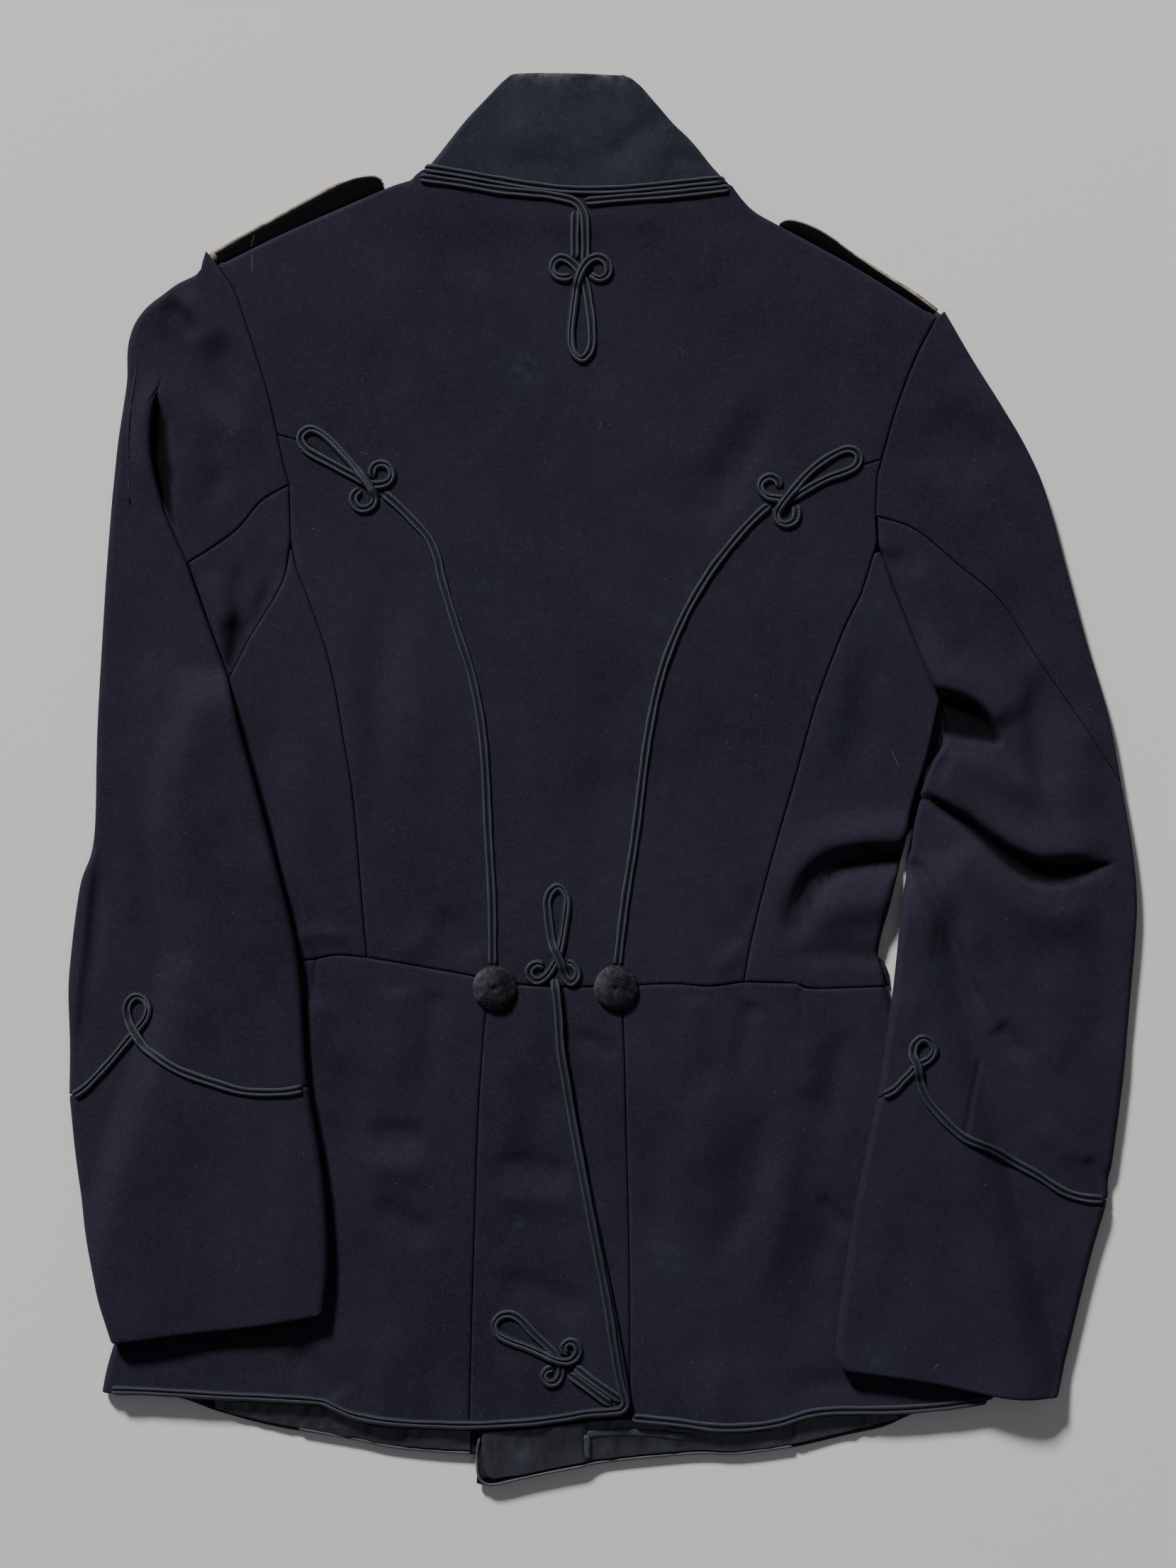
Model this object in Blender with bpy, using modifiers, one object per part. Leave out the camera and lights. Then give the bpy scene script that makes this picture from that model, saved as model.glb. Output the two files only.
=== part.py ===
"""Hussar tunic laid flat on its front, back up, on a surface at z = 0.

The pieces are walls of cloth cut to the outlines of the real ones. Each top piece is a patch
between its four sides, lifted to its layer's height with the largest folds, and rolled over
where the garment folds down to the layer on the floor. Outlines are read off one straight
view from above, in that view's own grid, and brought to real size by the length of the back.
+X is the wearer's right, +Y runs towards the collar, +Z up. Lengths are in millimetres until
a mesh is made.
"""

import math

import bpy
import numpy as np
from mathutils import Vector
from mathutils.bvhtree import BVHTree

MM = 0.001

# Driving sizes, mm.
BACK_LENGTH = 451.6
CLOTH = 2.5
SATIN = 1.0
STRAP = 3.0
LAYER_GAP = 0.35
SEAM_GAP = 0.34
TOP_LEVEL = 8.5
BRAID_WIDTH = 4.8
BRAID_HEIGHT = 1.8
BUTTON_RADIUS = 12.8
BUTTON_HEIGHT = 7.0
GRID_STEP = 25.0
FLOOR_STEP = 30.0
STRAP_STEP = 12.0
FINE_STEP = 13.5
CURVE_STEP = 26.0
CLIMB_STEP = 13.0
BRAID_STEP = 10.0
ROLL_STEPS = 3
END_ROOM = 1.0
STRAP_END = 3.0
TIP = 5.0
SEAM_BRIDGE = 0.9
CEILING = 100.0
FULL_TURN_DOWN = 90.0
SLIGHT_TURN = 6.0

# The view's own grid: the same back length, and the point above the origin.
BACK_LENGTH_IN_VIEW = 1129.0
VIEW_CENTRE = (850.5, 1100.5)
SCALE = BACK_LENGTH / BACK_LENGTH_IN_VIEW

# Heights where layers lie on each other, mm.
FLOOR_TOP = CLOTH
LOW_EDGE = FLOOR_TOP + LAYER_GAP
OVER_BODY = TOP_LEVEL + LAYER_GAP
ARMPIT_LEVEL = LOW_EDGE + CLOTH + 0.5
UNDERLAP_LEVEL = TOP_LEVEL - 0.3
FLAP_LEVEL = UNDERLAP_LEVEL + LAYER_GAP + CLOTH
CUFF_PROUD = 0.8
COLLAR_TAPER = 1.4

# Outlines in the view: (across, down), each from the neck end or from the wearer's left.
NECK_SEAM_LEFT = [(590, 240), (701, 260), (749, 268), (806, 274)]
NECK_SEAM_MIDDLE = [(806, 274), (836, 275)]
NECK_SEAM_RIGHT = [(836, 275), (890, 273), (937, 267), (1030, 257)]
SHOULDER_LEFT = [(306, 374), (401, 327), (540, 266), (578, 252), (590, 240)]
SHOULDER_RIGHT = [(1030, 257), (1060, 293), (1098, 316), (1201, 372), (1322, 447)]
COLLAR_TOP = [(706, 115), (723, 104), (749, 101), (801, 101), (871, 104), (890, 109), (907, 122)]
COLLAR_LEFT = [(706, 115), (683, 139), (654, 170), (607, 229), (590, 240)]
COLLAR_RIGHT = [(907, 122), (951, 172), (977, 198), (1018, 247), (1030, 257)]

ARMHOLE_LEFT = [(306, 374), (330, 410), (346, 453), (377, 552), (391, 613)]
ARMHOLE_LEFT_LOW = [(391, 613), (398, 646), (408, 684)]
ARMHOLE_RIGHT = [(1322, 447), (1291, 507), (1263, 582), (1244, 648)]
ARMHOLE_RIGHT_LOW = [(1244, 648), (1238, 676), (1236, 728)]
SHORT_SEAM_LEFT = [(391, 613), (430, 624)]
SHORT_SEAM_RIGHT = [(1200, 662), (1244, 648)]
BACK_SEAM_LEFT = [(430, 624), (514, 690), (560, 712), (605, 759), (624, 820), (645, 890), (667, 960),
                  (682, 1050), (689, 1180), (694, 1270), (696, 1386)]
BACK_SEAM_RIGHT = [(1200, 662), (1105, 707), (1051, 745), (1025, 776), (999, 811), (965, 870), (935, 945),
                   (914, 1040), (896, 1180), (882, 1270), (869, 1392)]
SIDE_SEAM_LEFT_START = [(410, 762), (418, 804)]
SIDE_SEAM_LEFT = [(418, 804), (437, 851), (466, 940), (485, 1044), (499, 1134), (511, 1275), (518, 1351)]
SIDE_SEAM_RIGHT_START = [(1216, 837), (1238, 766)]
SIDE_SEAM_RIGHT = [(1216, 837), (1187, 898), (1152, 992), (1121, 1103), (1088, 1216), (1060, 1329), (1050, 1385)]
UNDERARM_LEFT = [(408, 684), (410, 762)]
UNDERARM_RIGHT = [(1236, 728), (1238, 766)]
ARMPIT_EDGE_LEFT = [(410, 762), (397, 822), (352, 898)]
ARMPIT_EDGE_LEFT_LOW = [(352, 898), (322, 957)]
ARMPIT_EDGE_RIGHT = [(1238, 766), (1263, 832), (1291, 903), (1327, 988)]
BODY_EDGE_LEFT = [(334, 1006), (314, 1070), (305, 1150), (310, 1220), (322, 1280), (329, 1350)]
BODY_EDGE_RIGHT = [(1327, 988), (1310, 1065), (1286, 1136), (1277, 1200), (1263, 1273), (1243, 1339), (1250, 1392)]
WAIST_LEFT = [(329, 1350), (423, 1355), (473, 1348), (518, 1351)]
WAIST_LEFT_SIDE = [(518, 1351), (588, 1363), (665, 1377), (696, 1386)]
WAIST_FLAP = [(696, 1386), (753, 1391)]
WAIST_UNDERLAP = [(753, 1391), (789, 1393)]
WAIST_MIDDLE = [(789, 1393), (869, 1392)]
WAIST_RIGHT_SIDE = [(869, 1392), (950, 1388), (998, 1391), (1050, 1385)]
WAIST_RIGHT = [(1050, 1385), (1120, 1388), (1150, 1395), (1250, 1392)]
SKIRT_EDGE_LEFT = [(329, 1350), (300, 1450), (265, 1550), (225, 1680), (185, 1820), (142, 1966)]
SKIRT_EDGE_RIGHT = [(1250, 1392), (1290, 1530), (1330, 1680), (1370, 1830), (1404, 1974)]
PLEAT_LEFT = [(696, 1386), (685, 1435), (675, 1570), (669, 1750), (665, 1887), (662, 2017)]
PLEAT_RIGHT = [(869, 1392), (879, 1435), (884, 1600), (888, 1780), (889, 2001)]
VENT_EDGE = [(789, 1393), (798, 1480), (816, 1588), (843, 1720), (867, 1839), (888, 1959), (891, 1992)]
HEM_LEFT = [(142, 1966), (253, 1971), (381, 1978), (450, 1983), (501, 2003), (542, 2012), (620, 2017),
            (662, 2017)]
UNDERLAP_EDGE = [(753, 1391), (762, 1480), (780, 1588), (807, 1720), (831, 1839), (852, 1959), (855, 2001)]
HEM_UNDERLAP = [(855, 2001), (889, 2001)]
HEM_FLAP = [(662, 2017), (740, 2014), (800, 2007), (891, 1992)]
HEM_RIGHT = [(889, 2001), (950, 2012), (1010, 2019), (1058, 2019), (1100, 2013), (1139, 2001), (1179, 1996),
             (1258, 1995), (1357, 1986), (1404, 1974)]
FRONT_EDGE_LEFT = [(836, 275), (830, 900), (815, 1392)]
FRONT_EDGE_RIGHT = [(806, 274), (730, 900), (690, 1392)]
SKIRT_FRONT_EDGE_LEFT = [(815, 1392), (812, 2052)]
SKIRT_FRONT_EDGE_RIGHT = [(690, 1392), (673, 2034), (674, 2080), (682, 2095)]
FRONT_HEM_LEFT = [(142, 1966), (244, 1975), (303, 1994), (381, 2015), (501, 2036), (547, 2046), (668, 2056),
                  (812, 2052)]
FRONT_HEM_RIGHT = [(682, 2095), (700, 2098), (740, 2088), (800, 2076), (860, 2066), (980, 2055), (1040, 2056),
                   (1119, 2046), (1194, 2029), (1250, 2016), (1301, 1996), (1368, 1988), (1404, 1974)]

SLEEVE_LEFT_OUTER = [(290, 353), (276, 387), (245, 405), (200, 438), (179, 481), (174, 552), (162, 655),
                     (149, 802), (136, 1016), (131, 1181), (112, 1252), (97, 1370), (97, 1450), (96, 1547)]
SLEEVE_LEFT_HEAD_LINE = [(297, 361), (262, 440), (224, 545), (229, 640), (245, 750), (263, 794)]
SLEEVE_LEFT_FOLD_START = [(263, 794), (286, 860), (305, 912)]
SLEEVE_LEFT_FOLD_NEXT = [(305, 912), (322, 957)]
SLEEVE_LEFT_FOLD_BESIDE = [(322, 957), (334, 1006)]
SLEEVE_LEFT_FOLD = [(334, 1006), (348, 1058), (390, 1214), (423, 1355), (433, 1488), (437, 1531)]
ARMPIT_TIP_LEFT = [(305, 912), (352, 898)]
HIND_SEAM_LEFT = [(263, 794), (297, 773), (335, 745), (368, 707), (408, 684)]
SLEEVE_RIGHT_OUTER_HEAD = [(1333, 438), (1371, 502), (1411, 566), (1452, 636), (1477, 695), (1503, 790),
                           (1534, 904), (1565, 1008), (1584, 1108)]
SLEEVE_RIGHT_OUTER = [(1584, 1108), (1600, 1202), (1606, 1277), (1600, 1372), (1588, 1510), (1572, 1634),
                      (1565, 1693)]
SLEEVE_RIGHT_INNER = [(1327, 988), (1332, 1046), (1308, 1093), (1298, 1150), (1279, 1249), (1256, 1395),
                      (1242, 1513), (1236, 1549)]
HIND_SEAM_RIGHT = [(1236, 728), (1291, 747), (1352, 797), (1414, 851), (1470, 938), (1522, 1013), (1584, 1108)]
CUFF_LINE_LEFT = [(96, 1547), (129, 1526), (164, 1488), (190, 1457), (221, 1485), (257, 1508), (308, 1526),
                  (349, 1538), (437, 1531)]
CUFF_LINE_RIGHT = [(1236, 1549), (1263, 1532), (1290, 1502), (1311, 1557), (1353, 1599), (1432, 1640),
                   (1499, 1680), (1565, 1693)]
CUFF_OUTER_LEFT = [(96, 1547), (108, 1657), (133, 1804), (159, 1893)]
CUFF_INNER_LEFT = [(437, 1531), (459, 1666), (466, 1776), (459, 1852)]
CUFF_END_LEFT = [(159, 1893), (253, 1881), (358, 1869), (459, 1852)]
CUFF_INNER_RIGHT = [(1236, 1549), (1210, 1674), (1190, 1797), (1178, 1899), (1187, 1930)]
CUFF_OUTER_RIGHT = [(1565, 1693), (1540, 1777), (1511, 1895), (1491, 1971)]
CUFF_END_RIGHT = [(1187, 1930), (1305, 1947), (1416, 1969), (1491, 1971)]

# Straps: outer edge, and where the sewn edge starts and ends on the shoulder line.
STRAP_LEFT = {
    "outer": [(300, 354), (350, 327), (400, 299), (450, 271), (500, 248), (530, 248)],
    "sewn": [(306, 374), (540, 266)],
}
STRAP_RIGHT = {
    "outer": [(1108, 309), (1150, 316), (1201, 352), (1249, 385), (1318, 431)],
    "sewn": [(1098, 316), (1322, 447)],
}
LINING_LEFT = {
    "top": [(300, 1976), (381, 1981), (450, 1986), (501, 2006), (542, 2015), (664, 2020)],
    "bottom": [(303, 1990), (381, 2010), (501, 2031), (547, 2041), (664, 2050)],
}
LINING_RIGHT = {
    "top": [(684, 2020), (740, 2017), (800, 2010), (891, 2004), (950, 2015), (1010, 2022), (1058, 2022),
            (1100, 2016), (1139, 2004), (1179, 1999), (1270, 1998)],
    "bottom": [(684, 2086), (740, 2082), (860, 2060), (980, 2049), (1040, 2050), (1119, 2040), (1194, 2023),
               (1268, 2004)],
}

# Routes of braid in the view.
BRAIDS = {
    "neck_braid": [(599, 237), (650, 245), (701, 254), (749, 262), (806, 268), (867, 268), (937, 262),
                   (985, 257), (1024, 253)],
    "neck_braid_low": [(592, 251), (650, 259), (701, 268), (749, 276), (806, 282), (867, 282), (937, 276),
                       (985, 271), (1026, 267)],
    "back_braid_left": [(524, 686), (543, 701), (560, 712), (584, 736), (605, 760), (617, 788), (624, 820),
                        (645, 890), (667, 960), (682, 1050), (689, 1180), (694, 1270), (695, 1352)],
    "back_braid_right": [(1099, 706), (1074, 722), (1051, 745), (1025, 776), (999, 811), (965, 870),
                         (935, 945), (914, 1040), (896, 1180), (882, 1270), (871, 1354)],
    "vent_braid": [(783, 1371), (784, 1390), (788, 1432), (791, 1480), (799, 1528), (809, 1588), (836, 1720),
                   (860, 1839), (872, 1899), (882, 1970)],
    "hem_braid_left": [(882, 1985), (860, 1991), (800, 2001), (740, 2008), (680, 2011), (620, 2011),
                       (560, 2007), (501, 1997), (473, 1986), (450, 1977), (381, 1972), (253, 1965),
                       (165, 1961)],
    "hem_braid_right": [(902, 2000), (950, 2006), (1010, 2013), (1058, 2013), (1100, 2007), (1139, 1995),
                        (1179, 1990), (1258, 1989), (1317, 1985), (1357, 1980), (1384, 1975)],
}
# Trefoils: crossing in the view, tip of the loop in the view, loop width factor mm, stem mm.
TREFOILS = {
    "neck_trefoil": ((822, 388), (821, 514), 8.2, 38.8),
    "back_trefoil_left": ((519, 682), (417, 606), 6.6, 0.0),
    "back_trefoil_right": ((1104, 703), (1213, 630), 6.6, 0.0),
    "waist_trefoil": ((783, 1362), (788, 1245), 7.6, 0.0),
    "vent_trefoil": ((785, 1919), (692, 1860), 6.6, 34.0),
}
CUFF_BRAIDS = {
    "cuff_braid_left": [(117, 1537), (129, 1526), (156, 1497), (176, 1473), (190, 1456), (205, 1438),
                        (209, 1421), (201, 1408), (188, 1407), (179, 1420), (181, 1438), (190, 1456),
                        (205, 1475), (221, 1486), (257, 1508), (308, 1526), (349, 1537), (400, 1538),
                        (416, 1536)],
    "cuff_braid_right": [(1257, 1536), (1264, 1530), (1272, 1521), (1282, 1511), (1291, 1501), (1308, 1492),
                         (1315, 1479), (1308, 1466), (1297, 1463), (1287, 1472), (1285, 1487), (1291, 1501),
                         (1297, 1530), (1311, 1557), (1353, 1599), (1396, 1619), (1432, 1640), (1463, 1657),
                         (1499, 1680), (1527, 1689), (1543, 1691)],
}
CUFF_CROSSING = 4
CUFF_LOOP_TOP = 7
BUTTONS = {"button_left": (698, 1393), "button_right": (869, 1393)}

# Largest folds: (from across, from down, to across, to down, half width in the view, height mm).
BODY_FOLDS = [
    (1112, 1329, 1154, 1224, 20, -2.2),
    (1154, 1224, 1262, 1216, 20, -2.2),
    (1170, 1305, 1225, 1300, 34, 2.4),
    (1095, 555, 985, 765, 34, -1.4),
    (538, 850, 538, 1130, 30, -1.3),
    (610, 1300, 660, 1320, 30, -1.0),
    (800, 880, 790, 1180, 90, 1.0),
]
SKIRT_FOLDS = [
    (1060, 1600, 1000, 1780, 32, -1.6),
    (1110, 1620, 1080, 1800, 36, 1.2),
    (519, 1610, 597, 1608, 30, -1.4),
    (540, 1700, 611, 1740, 30, -1.2),
    (490, 1500, 505, 1600, 26, -1.0),
    (1145, 1740, 1150, 1910, 36, -1.6),
    (1140, 1450, 1136, 1560, 30, 1.2),
]
RIGHT_SLEEVE_FOLDS = [
    (1345, 1022, 1405, 1042, 20, -3.0),
    (1350, 1090, 1460, 1150, 34, 2.6),
    (1330, 1135, 1405, 1198, 19, -3.0),
    (1405, 1198, 1490, 1236, 20, -3.0),
    (1490, 1236, 1560, 1226, 18, -2.4),
    (1475, 950, 1478, 1110, 28, -2.0),
    (1400, 1290, 1500, 1300, 44, 1.6),
    (1300, 1225, 1345, 1330, 16, -1.6),
    (1345, 1330, 1400, 1447, 16, -1.6),
    (1310, 590, 1410, 660, 34, -1.3),
    (1380, 900, 1420, 960, 40, 1.4),
]
LEFT_SLEEVE_FOLDS = [
    (259, 438, 297, 471, 20, -1.6),
    (221, 457, 335, 585, 26, -1.8),
    (200, 560, 195, 700, 30, 1.4),
    (120, 1230, 108, 1450, 16, 1.0),
]

# Where a sleeve climbs on to the body: down the view, and away from the body's edge in mm.
CLIMB_LEFT = (885.0, 1000.0)
CLIMB_RIGHT = (1190.0, 1330.0)
CLIMB_NEAR = 14.0
CLIMB_FAR = 42.0
CLIMB_SLACK = 1.6
DEEPEST_FOLD = -2.8
RAMP_START = 2.0
RAMP_END = 10.0
UNDERLAP_WIDTH = 14.0

# Trefoil (crow's foot) sizes, mm.
EYE_RADIUS = 5.7
EYE_ACROSS = 10.4
EYE_ALONG = 3.2
EYE_STEPS = 7
EYE_START = 30.0
EYE_START_STEM = 85.0
EYE_END = 290.0
EYE_TOP = EYE_ALONG + EYE_RADIUS
LOOP_POWER = 0.6
STEM_ACROSS = 3.1
TREFOIL_STEP = 5.6
TREFOIL_LIFT = 9.0
LIFT_EARLY = 4.0
LIFT_EASE = 4.5
CUFF_LIFT = 5.0
BUTTON_SIDES = 20
# Button outline: (share of the radius, share of the height).
BUTTON_PROFILE = [(0.0, 0.0), (0.86, 0.0), (0.97, 0.16), (1.0, 0.38), (0.93, 0.60), (0.72, 0.84), (0.42, 0.97),
                  (0.0, 1.0)]
LOOP_STEPS = 14
CROSSING_LIFT = BRAID_HEIGHT + LAYER_GAP

walls = []


def placed(points):
    """Points of the view as positions in mm."""
    view = np.asarray(points, float)
    across = (view[:, 0] - VIEW_CENTRE[0]) * SCALE
    along = (VIEW_CENTRE[1] - view[:, 1]) * SCALE
    return np.column_stack([across, along])


def lengths(line):
    """Distance along a line at each of its points."""
    steps = np.linalg.norm(np.diff(line, axis=0), axis=1)
    return np.concatenate([[0.0], np.cumsum(steps)])


def curve(points, step=CURVE_STEP):
    """Smooth line in mm through points of the view, a point about every step."""
    return smooth(placed(points), step)


def smooth(knots, step):
    """Smooth line through positions in mm, which stay on it."""
    if len(knots) == 2:
        count = max(1, round(float(np.linalg.norm(knots[1] - knots[0])) / step))
        return np.linspace(knots[0], knots[1], count + 1)
    ends = np.vstack([2 * knots[0] - knots[1], knots, 2 * knots[-1] - knots[-2]])
    line = [knots[:1]]
    for a, b, c, d in zip(ends[:-3], ends[1:-2], ends[2:-1], ends[3:]):
        count = max(1, round(float(np.linalg.norm(c - b)) / step))
        t = np.linspace(0.0, 1.0, count + 1)[1:, None]
        leg = (2 * b + (c - a) * t + (2 * a - 5 * b + 4 * c - d) * t**2 + (3 * b - 3 * c + d - a) * t**3) / 2
        line.append(leg)
    return np.vstack(line)


def joined(*lines):
    """Lines laid end to end, each sharing its first point with the last one's end."""
    return np.vstack([lines[0]] + [line[1:] for line in lines[1:]])


def trimmed(line, distance):
    """The line without the first stretch of that length."""
    step = line[1] - line[0]
    start = line[0] + step * distance / np.linalg.norm(step)
    return np.vstack([start[None], line[1:]])


def between(line, ends):
    """The part of the line between its points nearest to two points of the view."""
    first, last = (int(np.argmin(np.linalg.norm(line - at, axis=1))) for at in placed(ends))
    return line[first : last + 1]


def spaced(line, count):
    """The line with count stretches, all of its own points kept."""
    parts = np.ones(len(line) - 1, int)
    legs = np.linalg.norm(np.diff(line, axis=0), axis=1)
    while parts.sum() < count:
        parts[np.argmax(legs / parts)] += 1
    out = [line[:1]]
    for start, end, number in zip(line[:-1], line[1:], parts):
        out.append(np.linspace(start, end, number + 1)[1:])
    return np.vstack(out)


def patch(left, right, top, bottom, step=GRID_STEP, across_step=None, rows=0):
    """Grid of plan positions filling four sides, rows from top to bottom."""
    across_step = across_step or step
    span = (lengths(left)[-1] + lengths(right)[-1]) / 2
    rows = rows or max(len(left) - 1, len(right) - 1, math.ceil(span / step))
    columns = max(len(top) - 1, len(bottom) - 1,
                  math.ceil((lengths(top)[-1] + lengths(bottom)[-1]) / 2 / across_step))
    left, right = spaced(left, rows), spaced(right, rows)
    top, bottom = spaced(top, columns), spaced(bottom, columns)
    v = (lengths(left) / lengths(left)[-1] + lengths(right) / lengths(right)[-1]) / 2
    u = (lengths(top) / lengths(top)[-1] + lengths(bottom) / lengths(bottom)[-1]) / 2
    v, u = v[:, None, None], u[None, :, None]
    sides = (1 - u) * left[:, None] + u * right[:, None]
    ends = (1 - v) * top[None] + v * bottom[None]
    corners = (1 - v) * ((1 - u) * top[0] + u * top[-1]) + v * ((1 - u) * bottom[0] + u * bottom[-1])
    return sides + ends - corners


def cut(line, across):
    """A line that runs left to right, cut into pieces at positions across, mm."""
    pieces = []
    rest = line
    for at in across:
        level = float(np.interp(at, rest[:, 0], rest[:, 1]))
        joint = np.array([[at, level]])
        pieces.append(np.vstack([rest[rest[:, 0] < at - 1.0], joint]))
        rest = np.vstack([joint, rest[rest[:, 0] > at + 1.0]])
    return pieces + [rest]


def striped_patch(left, right, top, bottom, inner_lines, step=GRID_STEP):
    """Patch whose columns also follow inner lines that run from its top to its bottom."""
    tops = cut(top, [line[0, 0] for line in inner_lines])
    bottoms = cut(bottom, [line[-1, 0] for line in inner_lines])
    fitted = []
    for line, above, below in zip(inner_lines, tops, bottoms):
        fitted.append(np.vstack([above[-1:], line[1:-1], below[-1:]]))
    sides = [left] + fitted + [right]
    rows = max([len(side) - 1 for side in sides] + [math.ceil(lengths(left)[-1] / step)])
    grids = [
        patch(a, b, above, below, step, rows=rows)
        for a, b, above, below in zip(sides[:-1], sides[1:], tops, bottoms)
    ]
    return np.concatenate([grids[0]] + [grid[:, 1:] for grid in grids[1:]], axis=1)


def border(rows, columns):
    """Row and column numbers round a grid's border, in order."""
    r = [0] * (columns - 1) + list(range(rows - 1)) + [rows - 1] * (columns - 1) + list(range(rows - 1, 0, -1))
    c = list(range(columns - 1)) + [columns - 1] * (rows - 1) + list(range(columns - 1, 0, -1)) + [0] * (rows - 1)
    return np.array(r), np.array(c)


def inward(grid):
    """Inward direction at each border point of a plan grid, longer at corners."""
    r, c = border(*grid.shape[:2])
    loop = grid[r, c]
    forward = np.roll(loop, -1, axis=0) - loop
    forward /= np.linalg.norm(forward, axis=1)[:, None]
    turn = np.sum(loop[:, 0] * np.roll(loop[:, 1], -1) - loop[:, 1] * np.roll(loop[:, 0], -1))
    normal = np.column_stack([-forward[:, 1], forward[:, 0]]) * np.sign(turn)
    both = normal + np.roll(normal, 1, axis=0)
    both /= np.linalg.norm(both, axis=1)[:, None]
    both /= np.clip(np.sum(both * normal, axis=1), 0.5, 1.0)[:, None]
    field = np.zeros_like(grid)
    field[r, c] = both
    return field


def folds(table):
    """Height in mm that a table of folds adds: its deepest trough there and its highest ridge."""
    rows = np.asarray(table, float)
    start, end = placed(rows[:, 0:2]), placed(rows[:, 2:4])
    width, height = rows[:, 4] * SCALE, rows[:, 5]

    def added(plan):
        trough = np.zeros(plan.shape[:-1])
        ridge = np.zeros(plan.shape[:-1])
        for a, b, w, h in zip(start, end, width, height):
            t = np.clip(((plan - a) @ (b - a)) / ((b - a) @ (b - a)), 0.0, 1.0)
            away = np.linalg.norm(plan - (a + t[..., None] * (b - a)), axis=-1)
            share = h * np.exp(-(away / w) ** 2)
            trough = np.minimum(trough, share)
            ridge = np.maximum(ridge, share)
        return trough + ridge

    return added


def ease(value, start, end):
    """Smooth step from 0 at start to 1 at end."""
    t = np.clip((value - start) / (end - start), 0.0, 1.0)
    return t * t * (3 - 2 * t)


def down_view(plan):
    """How far down the view a plan position lies."""
    return VIEW_CENTRE[1] - plan[..., 1] / SCALE


def across_view(plan):
    """How far across the view a plan position lies."""
    return VIEW_CENTRE[0] + plan[..., 0] / SCALE


def beyond(plan, edge, side):
    """Distance in mm past a body edge, side -1 to the wearer's left and 1 to the right."""
    order = np.argsort(-edge[:, 1])
    level = np.interp(-plan[..., 1], -edge[order, 1], edge[order, 0])
    return (plan[..., 0] - level) * side


BODY_LINE_LEFT = joined(curve(BODY_EDGE_LEFT), curve(SKIRT_EDGE_LEFT))
BODY_LINE_RIGHT = joined(curve(BODY_EDGE_RIGHT), curve(SKIRT_EDGE_RIGHT))


def climb(plan, side):
    """Share of the body's height that a sleeve has climbed."""
    edge = BODY_LINE_LEFT if side < 0 else BODY_LINE_RIGHT
    start, end = CLIMB_LEFT if side < 0 else CLIMB_RIGHT
    near = 1 - ease(beyond(plan, edge, side), CLIMB_NEAR, CLIMB_FAR)
    return near * ease(down_view(plan), start, end)


body_folds = folds(BODY_FOLDS)
skirt_folds = folds(SKIRT_FOLDS)
right_sleeve_folds = folds(RIGHT_SLEEVE_FOLDS)
left_sleeve_folds = folds(LEFT_SLEEVE_FOLDS)


def body_level(plan):
    return TOP_LEVEL + body_folds(plan)


def skirt_level(plan):
    return TOP_LEVEL + skirt_folds(plan)


def underlap_level(plan):
    return np.full(plan.shape[:-1], UNDERLAP_LEVEL)


def collar_level(plan):
    return TOP_LEVEL - COLLAR_TAPER * (1 - ease(down_view(plan), 100.0, 240.0))


def climbed_level(plan, side):
    """Height of a sleeve's top, a little slack where it climbs on to the body."""
    climbed = climb(plan, side)
    return TOP_LEVEL + OVER_BODY * climbed + CLIMB_SLACK * 4 * climbed * (1 - climbed)


def left_sleeve_level(plan):
    return climbed_level(plan, -1) + left_sleeve_folds(plan)


def right_sleeve_level(plan):
    return climbed_level(plan, 1) + np.maximum(right_sleeve_folds(plan), DEEPEST_FOLD)


def left_cuff_level(plan):
    return left_sleeve_level(plan) + CUFF_PROUD


def right_cuff_level(plan):
    return right_sleeve_level(plan) + CUFF_PROUD


def armpit_level(plan):
    """The hind part of the left sleeve's head sinks from the armhole to under the fold."""
    line = joined(curve(ARMHOLE_LEFT), curve(ARMHOLE_LEFT_LOW))
    away = -beyond(plan, line, 1)
    sunk = ease(away, 2.0, 20.0) * ease(down_view(plan), 430.0, 600.0)
    near_top = 1 - ease(down_view(plan), 560.0, 680.0)
    sunk = np.maximum(sunk, (1 - near_top) * ease(away, -4.0, 8.0))
    return climbed_level(plan, -1) - (TOP_LEVEL - ARMPIT_LEVEL) * sunk + left_sleeve_folds(plan) * (1 - sunk)


def left_floor_level(plan):
    return FLOOR_TOP + OVER_BODY * climb(plan, -1)


def right_floor_level(plan):
    return FLOOR_TOP + OVER_BODY * climb(plan, 1)


def floor_level(plan):
    return np.full(plan.shape[:-1], FLOOR_TOP)


def over_left_front(plan):
    """The right front lies on the floor and steps up on to the left front's edge."""
    edge = joined(curve(FRONT_EDGE_LEFT), curve(SKIRT_FRONT_EDGE_LEFT))
    past = beyond(plan, edge, 1)
    return FLOOR_TOP + LOW_EDGE * (1 - np.clip((past - RAMP_START) / (RAMP_END - RAMP_START), 0.0, 1.0))


def flap_level(plan):
    """The left back skirt steps up on to the right one's underlap along the vent."""
    inside = -beyond(plan, curve(VENT_EDGE), 1)
    down = np.clip((inside - UNDERLAP_WIDTH - RAMP_START) / (RAMP_END - RAMP_START), 0.0, 1.0)
    return FLAP_LEVEL - (FLAP_LEVEL - TOP_LEVEL) * down + skirt_folds(plan) * down


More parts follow.
